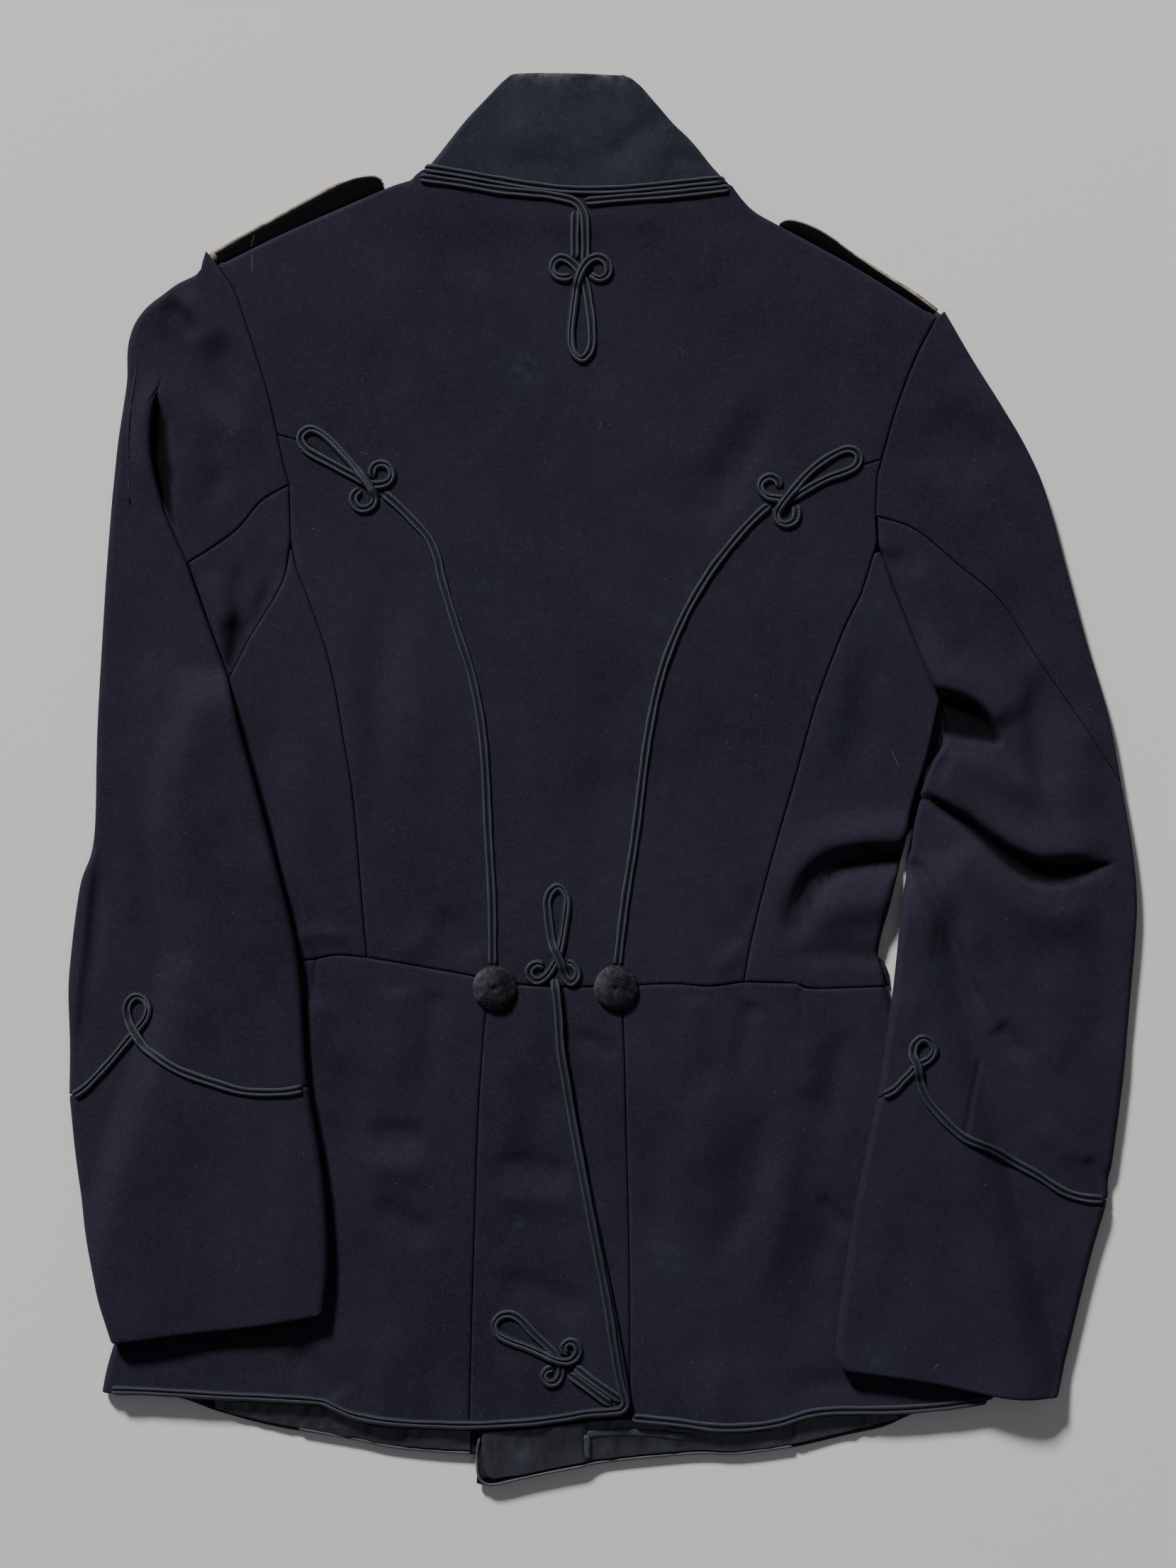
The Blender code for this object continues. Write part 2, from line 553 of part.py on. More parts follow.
def material(name, colour, roughness):
    made = bpy.data.materials.get(name) or bpy.data.materials.new(name)
    made.use_nodes = True
    shader = made.node_tree.nodes["Principled BSDF"]
    shader.inputs["Base Color"].default_value = (*colour, 1.0)
    shader.inputs["Roughness"].default_value = roughness
    shader.inputs["Metallic"].default_value = 0.0
    return made


def finished(name, mesh, finish):
    """Mesh as a named object in the garment's collection."""
    mesh.materials.append(finish)
    mesh.shade_smooth()
    mesh.set_sharp_from_angle(angle=math.radians(40.0))
    item = bpy.data.objects.new(name, mesh)
    collection.objects.link(item)
    return item


def closed_wall(name, outer, inner, finish):
    """Wall between two matching grids of points, closed round its border."""
    rows, columns = outer.shape[:2]
    number = np.arange(rows * columns).reshape(rows, columns)
    a, b, c, d = number[:-1, :-1], number[:-1, 1:], number[1:, 1:], number[1:, :-1]
    skin = np.concatenate([np.stack([a, d, c], -1).reshape(-1, 3), np.stack([a, c, b], -1).reshape(-1, 3)])
    under = skin[:, ::-1] + rows * columns
    r, k = border(rows, columns)
    ring = number[r, k]
    following = np.roll(ring, -1)
    rim = np.concatenate([
        np.column_stack([ring, following, following + rows * columns]),
        np.column_stack([ring, following + rows * columns, ring + rows * columns]),
    ])
    points = np.concatenate([outer.reshape(-1, 3), inner.reshape(-1, 3)])
    faces = np.concatenate([skin, under, rim])
    corners = points[faces]
    volume = np.sum(corners[:, 0] * np.cross(corners[:, 1], corners[:, 2])) / 6
    if volume < 0:
        faces = faces[:, ::-1]
    walls.append((points, faces))
    mesh = bpy.data.meshes.new(name)
    mesh.from_pydata((points * MM).tolist(), [], faces.tolist())
    mesh.validate()
    return finished(name, mesh, finish)


def roll(outer, inner, index, axis, before, normal, angle, radius, low, wall):
    """Grids with a rolled strip added past one side, turned down about the wall's inside."""
    edge = outer[index]
    drop = edge[:, 2] - low
    strips = ([], [])
    for step in range(1, ROLL_STEPS + 1):
        turned = angle * step / ROLL_STEPS
        for strip, back in zip(strips, (0.0, wall)):
            flat = edge[:, :2] - normal * ((radius - back) * np.sin(turned))[:, None]
            height = edge[:, 2] - drop + (drop - back) * np.cos(turned)
            strip.append(np.column_stack([flat, height]))
    grown = []
    for grid, strip in zip((outer, inner), strips):
        if before:
            grown.append(np.concatenate([np.stack(strip[::-1], axis), grid], axis))
        else:
            grown.append(np.concatenate([grid, np.stack(strip, axis)], axis))
    return grown


def slid(line, first, last, seam):
    """A row with its end points moved in by first and last; a seam row keeps its other points."""
    along = lengths(line)
    roomy = along[1] > first + END_ROOM and along[-1] - along[-2] > last + END_ROOM
    at = first + (along[-1] - first - last) * along / along[-1]
    if seam and roomy:
        at = along.copy()
        at[0], at[-1] = first, along[-1] - last
    return np.column_stack([np.interp(at, along, line[:, axis]) for axis in (0, 1)])


def sheet(name, grid, level, finish, wall=CLOTH, left=None, right=None, top=None, low=None):
    """Cloth wall on a plan grid: level gives its upper height, each side's turn rolls it down.

    left, right and top are functions that give the turn in degrees at the plan positions of
    that side, and low gives the height that a full quarter turn ends at.
    """
    plan = grid + inward(grid) * SEAM_GAP / 2
    low = low or (lambda at: np.full(at.shape[:-1], LOW_EDGE))
    sides = [
        (left, (slice(None), 0), (slice(None), 1), 1, True),
        (right, (slice(None), -1), (slice(None), -2), 1, False),
        (top, (0, slice(None)), (1, slice(None)), 0, True),
    ]
    rolls = []
    shifts = []
    for turn, index, neighbour, axis, before in sides:
        edge = plan[index]
        if turn is None:
            shifts.append(np.zeros(len(edge)))
            continue
        normal = grid[neighbour] - grid[index]
        normal = normal / np.linalg.norm(normal, axis=1)[:, None]
        angle = np.radians(turn(edge))
        lowest = low(edge)
        radius = level(edge) - lowest
        shifts.append(radius * np.sin(angle))
        rolls.append((index, axis, before, normal, angle, radius, lowest))
    moved = plan.copy()
    rows, columns = plan.shape[:2]
    if left or right:
        for row in range(rows):
            moved[row] = slid(moved[row], shifts[0][row], shifts[1][row], row in (0, rows - 1))
    if top:
        for column in range(columns):
            moved[:, column] = slid(moved[:, column], shifts[2][column], 0.0, column in (0, columns - 1))
    height = level(moved)
    outer = np.dstack([moved, height])
    inner = np.dstack([moved, height - wall])
    for index, axis, before, normal, angle, radius, lowest in rolls:
        outer, inner = roll(outer, inner, index, axis, before, normal, angle, radius, lowest, wall)
    return closed_wall(name, outer, inner, finish)


def just_over(number):
    """Height a layer gap above a wall already made, the highest within a cloth's width."""
    points, faces = walls[number]
    tree = BVHTree.FromPolygons(points.tolist(), faces.tolist())
    down = Vector((0.0, 0.0, -1.0))
    reach = CLOTH + 1.5
    around = [(dx, dy) for dx in (-reach, 0.0, reach) for dy in (-reach, 0.0, reach)]

    def height(plan):
        found = []
        for x, y in plan:
            hits = [tree.ray_cast(Vector((x + dx, y + dy, CEILING)), down)[0] for dx, dy in around]
            found.append(max([hit.z for hit in hits if hit] + [FLOOR_TOP]) + LAYER_GAP)
        return np.array(found)

    return height


def full_turn(edge):
    return np.full(len(edge), FULL_TURN_DOWN)


def turn_below(start, end):
    """Turn of a side: slight above start down the view and full below end."""

    def turn(edge):
        return SLIGHT_TURN + (FULL_TURN_DOWN - SLIGHT_TURN) * ease(down_view(edge), start, end)

    return turn


def shoulder_turn(edge):
    """The back turns over the shoulders, and lies flat at the neck and the armholes."""
    at = across_view(edge)
    on_shoulder = np.maximum(1 - ease(at, 560.0, 590.0), ease(at, 1030.0, 1060.0))
    inside = ease(at, 306.0, 330.0) * (1 - ease(at, 1290.0, 1322.0))
    return SLIGHT_TURN + (FULL_TURN_DOWN - SLIGHT_TURN) * on_shoulder * inside


def top_surface():
    """Function giving the highest cloth at a plan position, seams bridged."""
    points = np.concatenate([wall[0] for wall in walls])
    offset = np.cumsum([0] + [len(wall[0]) for wall in walls[:-1]])
    faces = np.concatenate([wall[1] + start for wall, start in zip(walls, offset)])
    tree = BVHTree.FromPolygons(points.tolist(), faces.tolist())
    down = Vector((0.0, 0.0, -1.0))

    around = [(dx, dy) for dx in (-SEAM_BRIDGE, SEAM_BRIDGE) for dy in (-SEAM_BRIDGE, SEAM_BRIDGE)]

    def height(x, y):
        best = 0.0
        for dx, dy in around:
            hit = tree.ray_cast(Vector((x + dx, y + dy, CEILING)), down)
            if hit[0] is not None:
                best = max(best, hit[0].z)
        return best

    return height


def ribbon(name, line, surface, finish, lifts=()):
    """Flat braid along a plan line on the cloth; lifts are (distance along, half length)."""
    forward = np.gradient(line, axis=0)
    forward /= np.linalg.norm(forward, axis=1)[:, None]
    side = np.column_stack([-forward[:, 1], forward[:, 0]]) * BRAID_WIDTH / 2
    along = lengths(line)
    rise = np.zeros(len(line))
    for centre, half in lifts:
        rise = np.maximum(rise, CROSSING_LIFT * (1 - ease(np.abs(along - centre), half, half + LIFT_EASE)))
    under = np.array([max(surface(*(p - s)), surface(*p), surface(*(p + s))) for p, s in zip(line, side)])
    padded = np.concatenate([under[:1], under, under[-1:]])
    bottom = np.maximum(np.maximum(padded[:-2], padded[2:]), under) + LAYER_GAP + rise
    lower = np.stack([np.column_stack([line + side, bottom]), np.column_stack([line - side, bottom])], axis=1)
    upper = lower + np.array([0.0, 0.0, BRAID_HEIGHT])
    return closed_wall(name, upper, lower, finish)


def trefoil_path(loop_length, loop_width, stem):
    """Crow's foot from one braid: up a stem, round an eye, down the loop and round the other.

    Local points in mm, the crossing at the origin and the loop along -Y. Eyes are arcs; the
    loop is a drop, as wide as sin times a power of its own depth. Returns the points and the
    place of the second pass through the crossing.
    """
    first = EYE_START_STEM if stem > 0 else EYE_START
    spin = np.radians(np.linspace(first, EYE_END, EYE_STEPS))
    eye = np.column_stack([
        -EYE_ACROSS + EYE_RADIUS * np.cos(spin),
        EYE_ALONG + EYE_RADIUS * np.sin(spin),
    ])
    t = np.linspace(0.0, 1.0, LOOP_STEPS + 1)[1:-1]
    depth = (1 - np.cos(2 * np.pi * t)) / 2
    loop = np.column_stack([loop_width * np.sin(2 * np.pi * t) * depth**LOOP_POWER, -loop_length * depth])
    start = np.zeros((0, 2))
    if stem > 0:
        start = np.array([
            [-STEM_ACROSS, stem],
            [-STEM_ACROSS, stem / 2 + EYE_TOP / 2],
            [-STEM_ACROSS - 0.3, EYE_TOP + 5.0],
            [-STEM_ACROSS - 2.0, EYE_TOP + 1.6],
        ])
    middle = np.array([[0.0, -0.9]])
    mirror = np.array([-1.0, 1.0])
    before = np.vstack([start, eye, middle, loop])
    return np.vstack([before, middle, eye[::-1] * mirror, start[::-1] * mirror]), len(before)


def on_view(local, crossing, tip):
    """Local points turned so that the loop points from crossing to tip in the view."""
    here, there = placed([crossing, tip])
    axis = (there - here) / np.linalg.norm(there - here)
    across = np.array([-axis[1], axis[0]])
    return here + local[:, :1] * across - local[:, 1:] * axis


def trefoil(name, crossing, tip, loop_width, stem, surface, finish):
    """Trefoil of braid whose second pass rides over its first."""
    here, there = placed([crossing, tip])
    length = float(np.linalg.norm(there - here)) - BRAID_WIDTH / 2
    local, second = trefoil_path(length, loop_width, stem)
    points = on_view(local, crossing, tip)
    line = smooth(points, TREFOIL_STEP)
    half = len(line) // 2
    over = half + int(np.argmin(np.linalg.norm(line - points[second], axis=1)[half:]))
    centre = lengths(line)[over] - LIFT_EARLY
    return ribbon(name, line, surface, finish, lifts=[(centre, TREFOIL_LIFT)])


def button(name, centre, surface, finish):
    """Netted dome: a turned profile, flat beneath."""
    x, y = placed([centre])[0]
    angles = np.linspace(0.0, 2 * math.pi, 13)
    around = [surface(x + BUTTON_RADIUS * math.cos(a), y + BUTTON_RADIUS * math.sin(a)) for a in angles]
    base = max(around + [surface(x, y)]) + LAYER_GAP
    mesh = bpy.data.meshes.new(name)
    mesh.from_pydata(
        [(out * BUTTON_RADIUS * MM, 0.0, up * BUTTON_HEIGHT * MM) for out, up in reversed(BUTTON_PROFILE)],
        [(i, i + 1) for i in range(len(BUTTON_PROFILE) - 1)],
        [],
    )
    item = bpy.data.objects.new(name, mesh)
    collection.objects.link(item)
    item.location = (x * MM, y * MM, base * MM)
    mesh.materials.append(finish)
    turned = item.modifiers.new("turned", "SCREW")
    turned.steps = BUTTON_SIDES
    turned.render_steps = BUTTON_SIDES
    turned.use_merge_vertices = True
    turned.merge_threshold = 0.00001
    return item


def make_body(cloth):
    """Back, side bodies and the fronts' parts between side seams and side folds."""
    back_left = joined(curve(ARMHOLE_LEFT), curve(SHORT_SEAM_LEFT), curve(BACK_SEAM_LEFT))
    back_right = joined(curve(ARMHOLE_RIGHT), curve(SHORT_SEAM_RIGHT)[::-1], curve(BACK_SEAM_RIGHT))
    top = joined(curve(SHOULDER_LEFT), NECK_SEAM, curve(SHOULDER_RIGHT))
    waist = joined(curve(WAIST_FLAP), curve(WAIST_UNDERLAP), curve(WAIST_MIDDLE))
    sheet("back_centre", patch(back_left, back_right, top, waist), body_level, cloth, top=shoulder_turn)
    outer = joined(curve(ARMHOLE_LEFT_LOW), curve(UNDERARM_LEFT), curve(SIDE_SEAM_LEFT_START),
                   curve(SIDE_SEAM_LEFT))
    grid = patch(outer, curve(BACK_SEAM_LEFT), curve(SHORT_SEAM_LEFT), curve(WAIST_LEFT_SIDE))
    sheet("side_body_left", grid, body_level, cloth)
    outer = joined(curve(ARMHOLE_RIGHT_LOW), curve(UNDERARM_RIGHT), curve(SIDE_SEAM_RIGHT_START)[::-1],
                   curve(SIDE_SEAM_RIGHT))
    grid = patch(curve(BACK_SEAM_RIGHT), outer, curve(SHORT_SEAM_RIGHT), curve(WAIST_RIGHT_SIDE))
    sheet("side_body_right", grid, body_level, cloth)
    edge = joined(curve(ARMPIT_EDGE_LEFT), curve(ARMPIT_EDGE_LEFT_LOW, CLIMB_STEP),
                  curve(SLEEVE_LEFT_FOLD_BESIDE, CLIMB_STEP), curve(BODY_EDGE_LEFT))
    edge = trimmed(edge, TIP)
    seam = trimmed(joined(curve(SIDE_SEAM_LEFT_START), curve(SIDE_SEAM_LEFT)), TIP)
    grid = patch(edge, seam, np.array([edge[0], seam[0]]), curve(WAIST_LEFT))
    sheet("front_side_left", grid, body_level, cloth, left=turn_below(762.0, 850.0))
    edge = trimmed(joined(curve(ARMPIT_EDGE_RIGHT), curve(BODY_EDGE_RIGHT)), TIP)
    seam = trimmed(joined(curve(SIDE_SEAM_RIGHT_START)[::-1], curve(SIDE_SEAM_RIGHT)), TIP)
    grid = patch(seam, edge, np.array([seam[0], edge[0]]), curve(WAIST_RIGHT))
    sheet("front_side_right", grid, body_level, cloth, right=turn_below(766.0, 850.0))


def make_fronts(cloth):
    """The fronts on the floor, the right one stepping up over the left one's edge."""
    top = joined(curve(SHOULDER_LEFT), cut(NECK_SEAM, [placed([(836, 275)])[0, 0]])[0])
    left = joined(curve(ARMHOLE_LEFT), curve(ARMHOLE_LEFT_LOW), curve(UNDERARM_LEFT),
                  curve(ARMPIT_EDGE_LEFT), curve(ARMPIT_EDGE_LEFT_LOW), curve(SLEEVE_LEFT_FOLD_BESIDE),
                  curve(BODY_EDGE_LEFT))
    grid = patch(left, curve(FRONT_EDGE_LEFT, 40.0), top, curve([(329, 1350), (815, 1392)], 40.0), FLOOR_STEP)
    sheet("front_left", grid, floor_level, cloth)
    top = joined(cut(NECK_SEAM, [placed([(806, 274)])[0, 0]])[1], curve(SHOULDER_RIGHT))
    right = joined(curve(ARMHOLE_RIGHT), curve(ARMHOLE_RIGHT_LOW), curve(UNDERARM_RIGHT),
                   curve(ARMPIT_EDGE_RIGHT), curve(BODY_EDGE_RIGHT))
    ramp = [curve(FRONT_EDGE_LEFT, 40.0) + [[way, 0.0]] for way in (RAMP_START, RAMP_END)]
    grid = striped_patch(curve(FRONT_EDGE_RIGHT, 40.0), right, top, curve([(690, 1392), (1250, 1392)], 40.0),
                         ramp, FLOOR_STEP)
    sheet("front_right", grid, over_left_front, cloth)


def make_skirts(cloth):
    """Skirts below the waist seam, the vent's flap and underlap, and the skirts on the floor."""
    waist = joined(curve(WAIST_LEFT), curve(WAIST_LEFT_SIDE))
    grid = patch(curve(SKIRT_EDGE_LEFT), curve(PLEAT_LEFT), waist, curve(HEM_LEFT))
    sheet("skirt_left", grid, skirt_level, cloth, left=full_turn)
    waist = joined(curve(WAIST_RIGHT_SIDE), curve(WAIST_RIGHT))
    grid = patch(curve(PLEAT_RIGHT), curve(SKIRT_EDGE_RIGHT), waist, curve(HEM_RIGHT))
    sheet("skirt_right", grid, skirt_level, cloth, right=full_turn)
    waist = joined(curve(WAIST_FLAP), curve(WAIST_UNDERLAP))
    steps = [curve(VENT_EDGE) - [[UNDERLAP_WIDTH + way, 0.0]] for way in (RAMP_END, RAMP_START)]
    grid = striped_patch(curve(PLEAT_LEFT), curve(VENT_EDGE), waist, curve(HEM_FLAP), steps)
    sheet("back_skirt_left", grid, flap_level, cloth)
    waist = joined(curve(WAIST_UNDERLAP), curve(WAIST_MIDDLE))
    grid = patch(curve(UNDERLAP_EDGE), curve(PLEAT_RIGHT), waist, curve(HEM_UNDERLAP))
    sheet("back_skirt_right", grid, underlap_level, cloth)
    grid = patch(curve(SKIRT_EDGE_LEFT), curve(SKIRT_FRONT_EDGE_LEFT, 40.0),
                 curve([(329, 1350), (815, 1392)], 40.0), curve(FRONT_HEM_LEFT), FLOOR_STEP)
    sheet("skirt_front_left", grid, floor_level, cloth)
    ramp = [curve(SKIRT_FRONT_EDGE_LEFT, 40.0) + [[way, 0.0]] for way in (RAMP_START, RAMP_END)]
    grid = striped_patch(curve(SKIRT_FRONT_EDGE_RIGHT, 40.0), curve(SKIRT_EDGE_RIGHT),
                         curve([(690, 1392), (1250, 1392)], 40.0), curve(FRONT_HEM_RIGHT), ramp,
                         FLOOR_STEP)
    sheet("skirt_front_right", grid, over_left_front, cloth)


def make_linings(cloth):
    """Satin inside the fronts, only the strip that shows below the back hem."""
    for name, table, level in (
        ("lining_left", LINING_LEFT, floor_level),
        ("lining_right", LINING_RIGHT, over_left_front),
    ):
        top, bottom = curve(table["top"]), curve(table["bottom"])
        sides = [np.array([top[end], bottom[end]]) for end in (0, -1)]
        inner = []
        if level is over_left_front:
            edge = curve(SKIRT_FRONT_EDGE_LEFT)[-1, 0]
            inner = [edge + RAMP_START, edge + RAMP_END]
        tops, bottoms = cut(top, inner), cut(bottom, inner)
        lines = [sides[0]] + [np.array([a[-1], b[-1]]) for a, b in zip(tops[:-1], bottoms[:-1])] + [sides[1]]
        grids = [
            patch(a, b, above, below, rows=2)
            for a, b, above, below in zip(lines[:-1], lines[1:], tops, bottoms)
        ]
        grid = np.concatenate([grids[0]] + [part[:, 1:] for part in grids[1:]], axis=1)
        sheet(name, grid, lambda plan, under=level: under(plan) + LAYER_GAP + SATIN, cloth, wall=SATIN)


def make_collar(cloth):
    """Stand collar folded flat: the back shows, its two front ends meet beneath."""
    top = curve(COLLAR_TOP)
    grid = patch(curve(COLLAR_LEFT), curve(COLLAR_RIGHT), top, NECK_SEAM, 15.0)
    sheet("collar", grid, collar_level, cloth, left=full_turn, right=full_turn)
    meeting = placed([(819, 101)])[0, 0]
    tops, bottoms = cut(top, [meeting]), cut(NECK_SEAM, [meeting])
    middle = np.array([tops[0][-1], bottoms[0][-1]])
    sheet("collar_front_left", patch(curve(COLLAR_LEFT), middle, tops[0], bottoms[0], 25.0), floor_level, cloth)
    sheet("collar_front_right", patch(middle, curve(COLLAR_RIGHT), tops[1], bottoms[1], 25.0), floor_level, cloth)


def make_left_sleeve(cloth):
    """Left sleeve: its outer part lies over the sunk hind part of the head and the under sleeve."""
    outer = curve(SLEEVE_LEFT_OUTER)
    beside = curve(SLEEVE_LEFT_FOLD_BESIDE, CLIMB_STEP)
    fold = joined(curve(SLEEVE_LEFT_FOLD_START, CLIMB_STEP), curve(SLEEVE_LEFT_FOLD_NEXT, CLIMB_STEP), beside,
                  curve(SLEEVE_LEFT_FOLD))
    head_line = curve(SLEEVE_LEFT_HEAD_LINE)
    armhole = joined(curve(ARMHOLE_LEFT), curve(ARMHOLE_LEFT_LOW))
    right = joined(armhole, curve(UNDERARM_LEFT), curve(ARMPIT_EDGE_LEFT),
                   curve(ARMPIT_EDGE_LEFT_LOW, CLIMB_STEP), beside, curve(SLEEVE_LEFT_FOLD))
    cuff_end = curve([SLEEVE_LEFT_OUTER[-1], SLEEVE_LEFT_FOLD[-1]])
    top = curve([SLEEVE_LEFT_OUTER[0], ARMHOLE_LEFT[0]])
    sheet("sleeve_left_floor", patch(outer, right, top, cuff_end, GRID_STEP, GRID_STEP), left_floor_level, cloth)
    low = just_over(-1)
    top = curve([SLEEVE_LEFT_OUTER[0], SLEEVE_LEFT_HEAD_LINE[0]])
    grid = patch(outer, joined(head_line, fold), top, curve(CUFF_LINE_LEFT), 18.0, 16.0)
    sheet("sleeve_left_top", grid, left_sleeve_level, cloth, left=turn_below(353.0, 480.0),
          right=turn_below(540.0, 640.0), low=low)
    top = curve([SLEEVE_LEFT_HEAD_LINE[0], ARMHOLE_LEFT[0]])
    grid = patch(head_line, armhole, top, curve(HIND_SEAM_LEFT), 14.0)
    sheet("sleeve_left_head", grid, armpit_level, cloth)
    right = joined(curve(UNDERARM_LEFT), curve(ARMPIT_EDGE_LEFT))
    grid = patch(curve(SLEEVE_LEFT_FOLD_START), right, curve(HIND_SEAM_LEFT), curve(ARMPIT_TIP_LEFT), 14.0)
    sheet("sleeve_left_under", grid, armpit_level, cloth)
    top, end_line = curve(CUFF_LINE_LEFT), curve(CUFF_END_LEFT)
    sides = curve(CUFF_OUTER_LEFT), curve(CUFF_INNER_LEFT)
    sheet("cuff_left_floor", patch(*sides, cuff_end, end_line, 20.0), left_floor_level, cloth)
    sheet("cuff_left", patch(*sides, top, end_line, 18.0), left_cuff_level, cloth, left=full_turn,
          right=full_turn, low=just_over(-1))


def make_right_sleeve(cloth):
    """Right sleeve: head above the hind seam, under sleeve with the elbow's folds below it."""
    head_edge, lower_edge = curve(SLEEVE_RIGHT_OUTER_HEAD), curve(SLEEVE_RIGHT_OUTER)
    armhole = joined(curve(ARMHOLE_RIGHT), curve(ARMHOLE_RIGHT_LOW))
    inner = joined(curve(UNDERARM_RIGHT), curve(ARMPIT_EDGE_RIGHT), curve(SLEEVE_RIGHT_INNER))
    top = curve([ARMHOLE_RIGHT[0], SLEEVE_RIGHT_OUTER_HEAD[0]])
    cuff_end = curve([SLEEVE_RIGHT_INNER[-1], SLEEVE_RIGHT_OUTER[-1]])
    grid = patch(joined(armhole, inner), joined(head_edge, lower_edge), top, cuff_end, GRID_STEP, GRID_STEP)
    sheet("sleeve_right_floor", grid, right_floor_level, cloth)
    low = just_over(-1)
    seam = curve(HIND_SEAM_RIGHT)
    sheet("sleeve_right_top", patch(armhole, head_edge, top, seam, 16.0), right_sleeve_level, cloth,
          right=turn_below(440.0, 560.0), low=low)
    grid = patch(inner, lower_edge, seam, curve(CUFF_LINE_RIGHT), FINE_STEP, FINE_STEP)
    sheet("sleeve_right_under", grid, right_sleeve_level, cloth, left=turn_below(728.0, 800.0),
          right=full_turn, low=low)
    end_line = curve(CUFF_END_RIGHT)
    sides = curve(CUFF_INNER_RIGHT), curve(CUFF_OUTER_RIGHT)
    sheet("cuff_right_floor", patch(*sides, cuff_end, end_line, 20.0), right_floor_level, cloth)
    sheet("cuff_right", patch(*sides, curve(CUFF_LINE_RIGHT), end_line, 18.0), right_cuff_level, cloth,
          left=full_turn, right=full_turn, low=just_over(-1))


def make_straps(cloth):
    """Shoulder straps turned out flat beyond the shoulders, sewn along the shoulder line."""
    for name, table, shoulder in (
        ("shoulder_strap_left", STRAP_LEFT, SHOULDER_LEFT),
        ("shoulder_strap_right", STRAP_RIGHT, SHOULDER_RIGHT),
    ):
        sewn = trimmed(between(curve(shoulder), table["sewn"]), STRAP_END)
        sewn = trimmed(sewn[::-1], STRAP_END)[::-1]
        outer = curve(table["outer"])
        sides = [np.array([outer[end], sewn[end]]) for end in (0, -1)]
        grid = patch(*sides, outer, sewn, STRAP_STEP)
        sheet(name, grid, lambda plan: np.full(plan.shape[:-1], STRAP), cloth, wall=STRAP)


def make_braids(surface, finish):
    """Russia braid on the seams, the neck, the vent, the hem and the cuffs, with its trefoils."""
    for name, table in BRAIDS.items():
        ribbon(name, curve(table, BRAID_STEP), surface, finish)
    for name, (crossing, tip, width, stem) in TREFOILS.items():
        trefoil(name, crossing, tip, width, stem, surface, finish)
    for name, table in CUFF_BRAIDS.items():
        line = curve(table, TREFOIL_STEP)
        crossing, top = placed([table[CUFF_CROSSING], table[CUFF_LOOP_TOP]])
        half = int(np.argmin(np.linalg.norm(line - top, axis=1)))
        over = half + int(np.argmin(np.linalg.norm(line - crossing, axis=1)[half:]))
        ribbon(name, line, surface, finish, lifts=[(lengths(line)[over], CUFF_LIFT)])


def make_tunic():
    """Every piece of the tunic, cloth first, then what is sewn on it."""
    melton = material("navy_melton", (0.018, 0.019, 0.030), 0.9)
    collar_melton = material("collar_melton", (0.024, 0.031, 0.042), 0.88)
    satin = material("black_satin", (0.02, 0.02, 0.026), 0.35)
    strap_cloth = material("strap_cloth", (0.012, 0.012, 0.018), 0.85)
    russia_braid = material("navy_braid", (0.022, 0.024, 0.042), 0.5)
    netted_cord = material("button_cord", (0.016, 0.016, 0.026), 0.45)
    make_body(melton)
    make_fronts(melton)
    make_skirts(melton)
    make_linings(satin)
    make_collar(collar_melton)
    make_left_sleeve(melton)
    make_right_sleeve(melton)
    make_straps(strap_cloth)
    surface = top_surface()
    make_braids(surface, russia_braid)
    for name, centre in BUTTONS.items():
        button(name, centre, surface, netted_cord)


for old in list(bpy.data.objects):
    bpy.data.objects.remove(old)
collection = bpy.data.collections.new("hussar_tunic")
bpy.context.scene.collection.children.link(collection)
NECK_SEAM = joined(curve(NECK_SEAM_LEFT), curve(NECK_SEAM_MIDDLE), curve(NECK_SEAM_RIGHT))
make_tunic()
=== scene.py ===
"""Looks of a hussar tunic that lies flat on its front, back up, on a floor at z = 0.

Every visible piece is a surface worked out with numpy: a patch of cloth between four seam
lines, a braid's profile carried along its route, or a dome of cords. Seam lines are knots of
one straight view from above, brought to real size by the length of the back. +X is the
wearer's right, +Y runs towards the collar, +Z up. Lengths are millimetres until a mesh is made.
"""

import logging
import math
from dataclasses import dataclass, field
from enum import Enum
from typing import Callable

import bpy
import numpy as np
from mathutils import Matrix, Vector
from mathutils.bvhtree import BVHTree


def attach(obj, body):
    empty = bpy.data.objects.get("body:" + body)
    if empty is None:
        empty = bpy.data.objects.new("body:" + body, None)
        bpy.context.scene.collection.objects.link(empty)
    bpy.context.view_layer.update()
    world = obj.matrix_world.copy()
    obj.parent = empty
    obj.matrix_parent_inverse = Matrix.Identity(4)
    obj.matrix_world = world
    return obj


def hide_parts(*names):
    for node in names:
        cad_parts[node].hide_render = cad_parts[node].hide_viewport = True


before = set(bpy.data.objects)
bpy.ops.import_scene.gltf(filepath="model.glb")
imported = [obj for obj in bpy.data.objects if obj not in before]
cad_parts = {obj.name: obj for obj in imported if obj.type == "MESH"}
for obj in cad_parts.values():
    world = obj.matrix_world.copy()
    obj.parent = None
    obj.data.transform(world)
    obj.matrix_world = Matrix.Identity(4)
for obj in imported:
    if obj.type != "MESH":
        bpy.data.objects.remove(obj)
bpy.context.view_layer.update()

log = logging.getLogger("hussar_tunic")

MM = 0.001

# The view's own grid: the back's length in it and in mm, and the point above the origin.
BACK_LENGTH = 451.6
BACK_LENGTH_IN_VIEW = 1129.0
VIEW_CENTRE = (850.5, 1100.5)
SCALE = BACK_LENGTH / BACK_LENGTH_IN_VIEW
IMAGE_WIDTH = 1659
IMAGE_HEIGHT = 2212

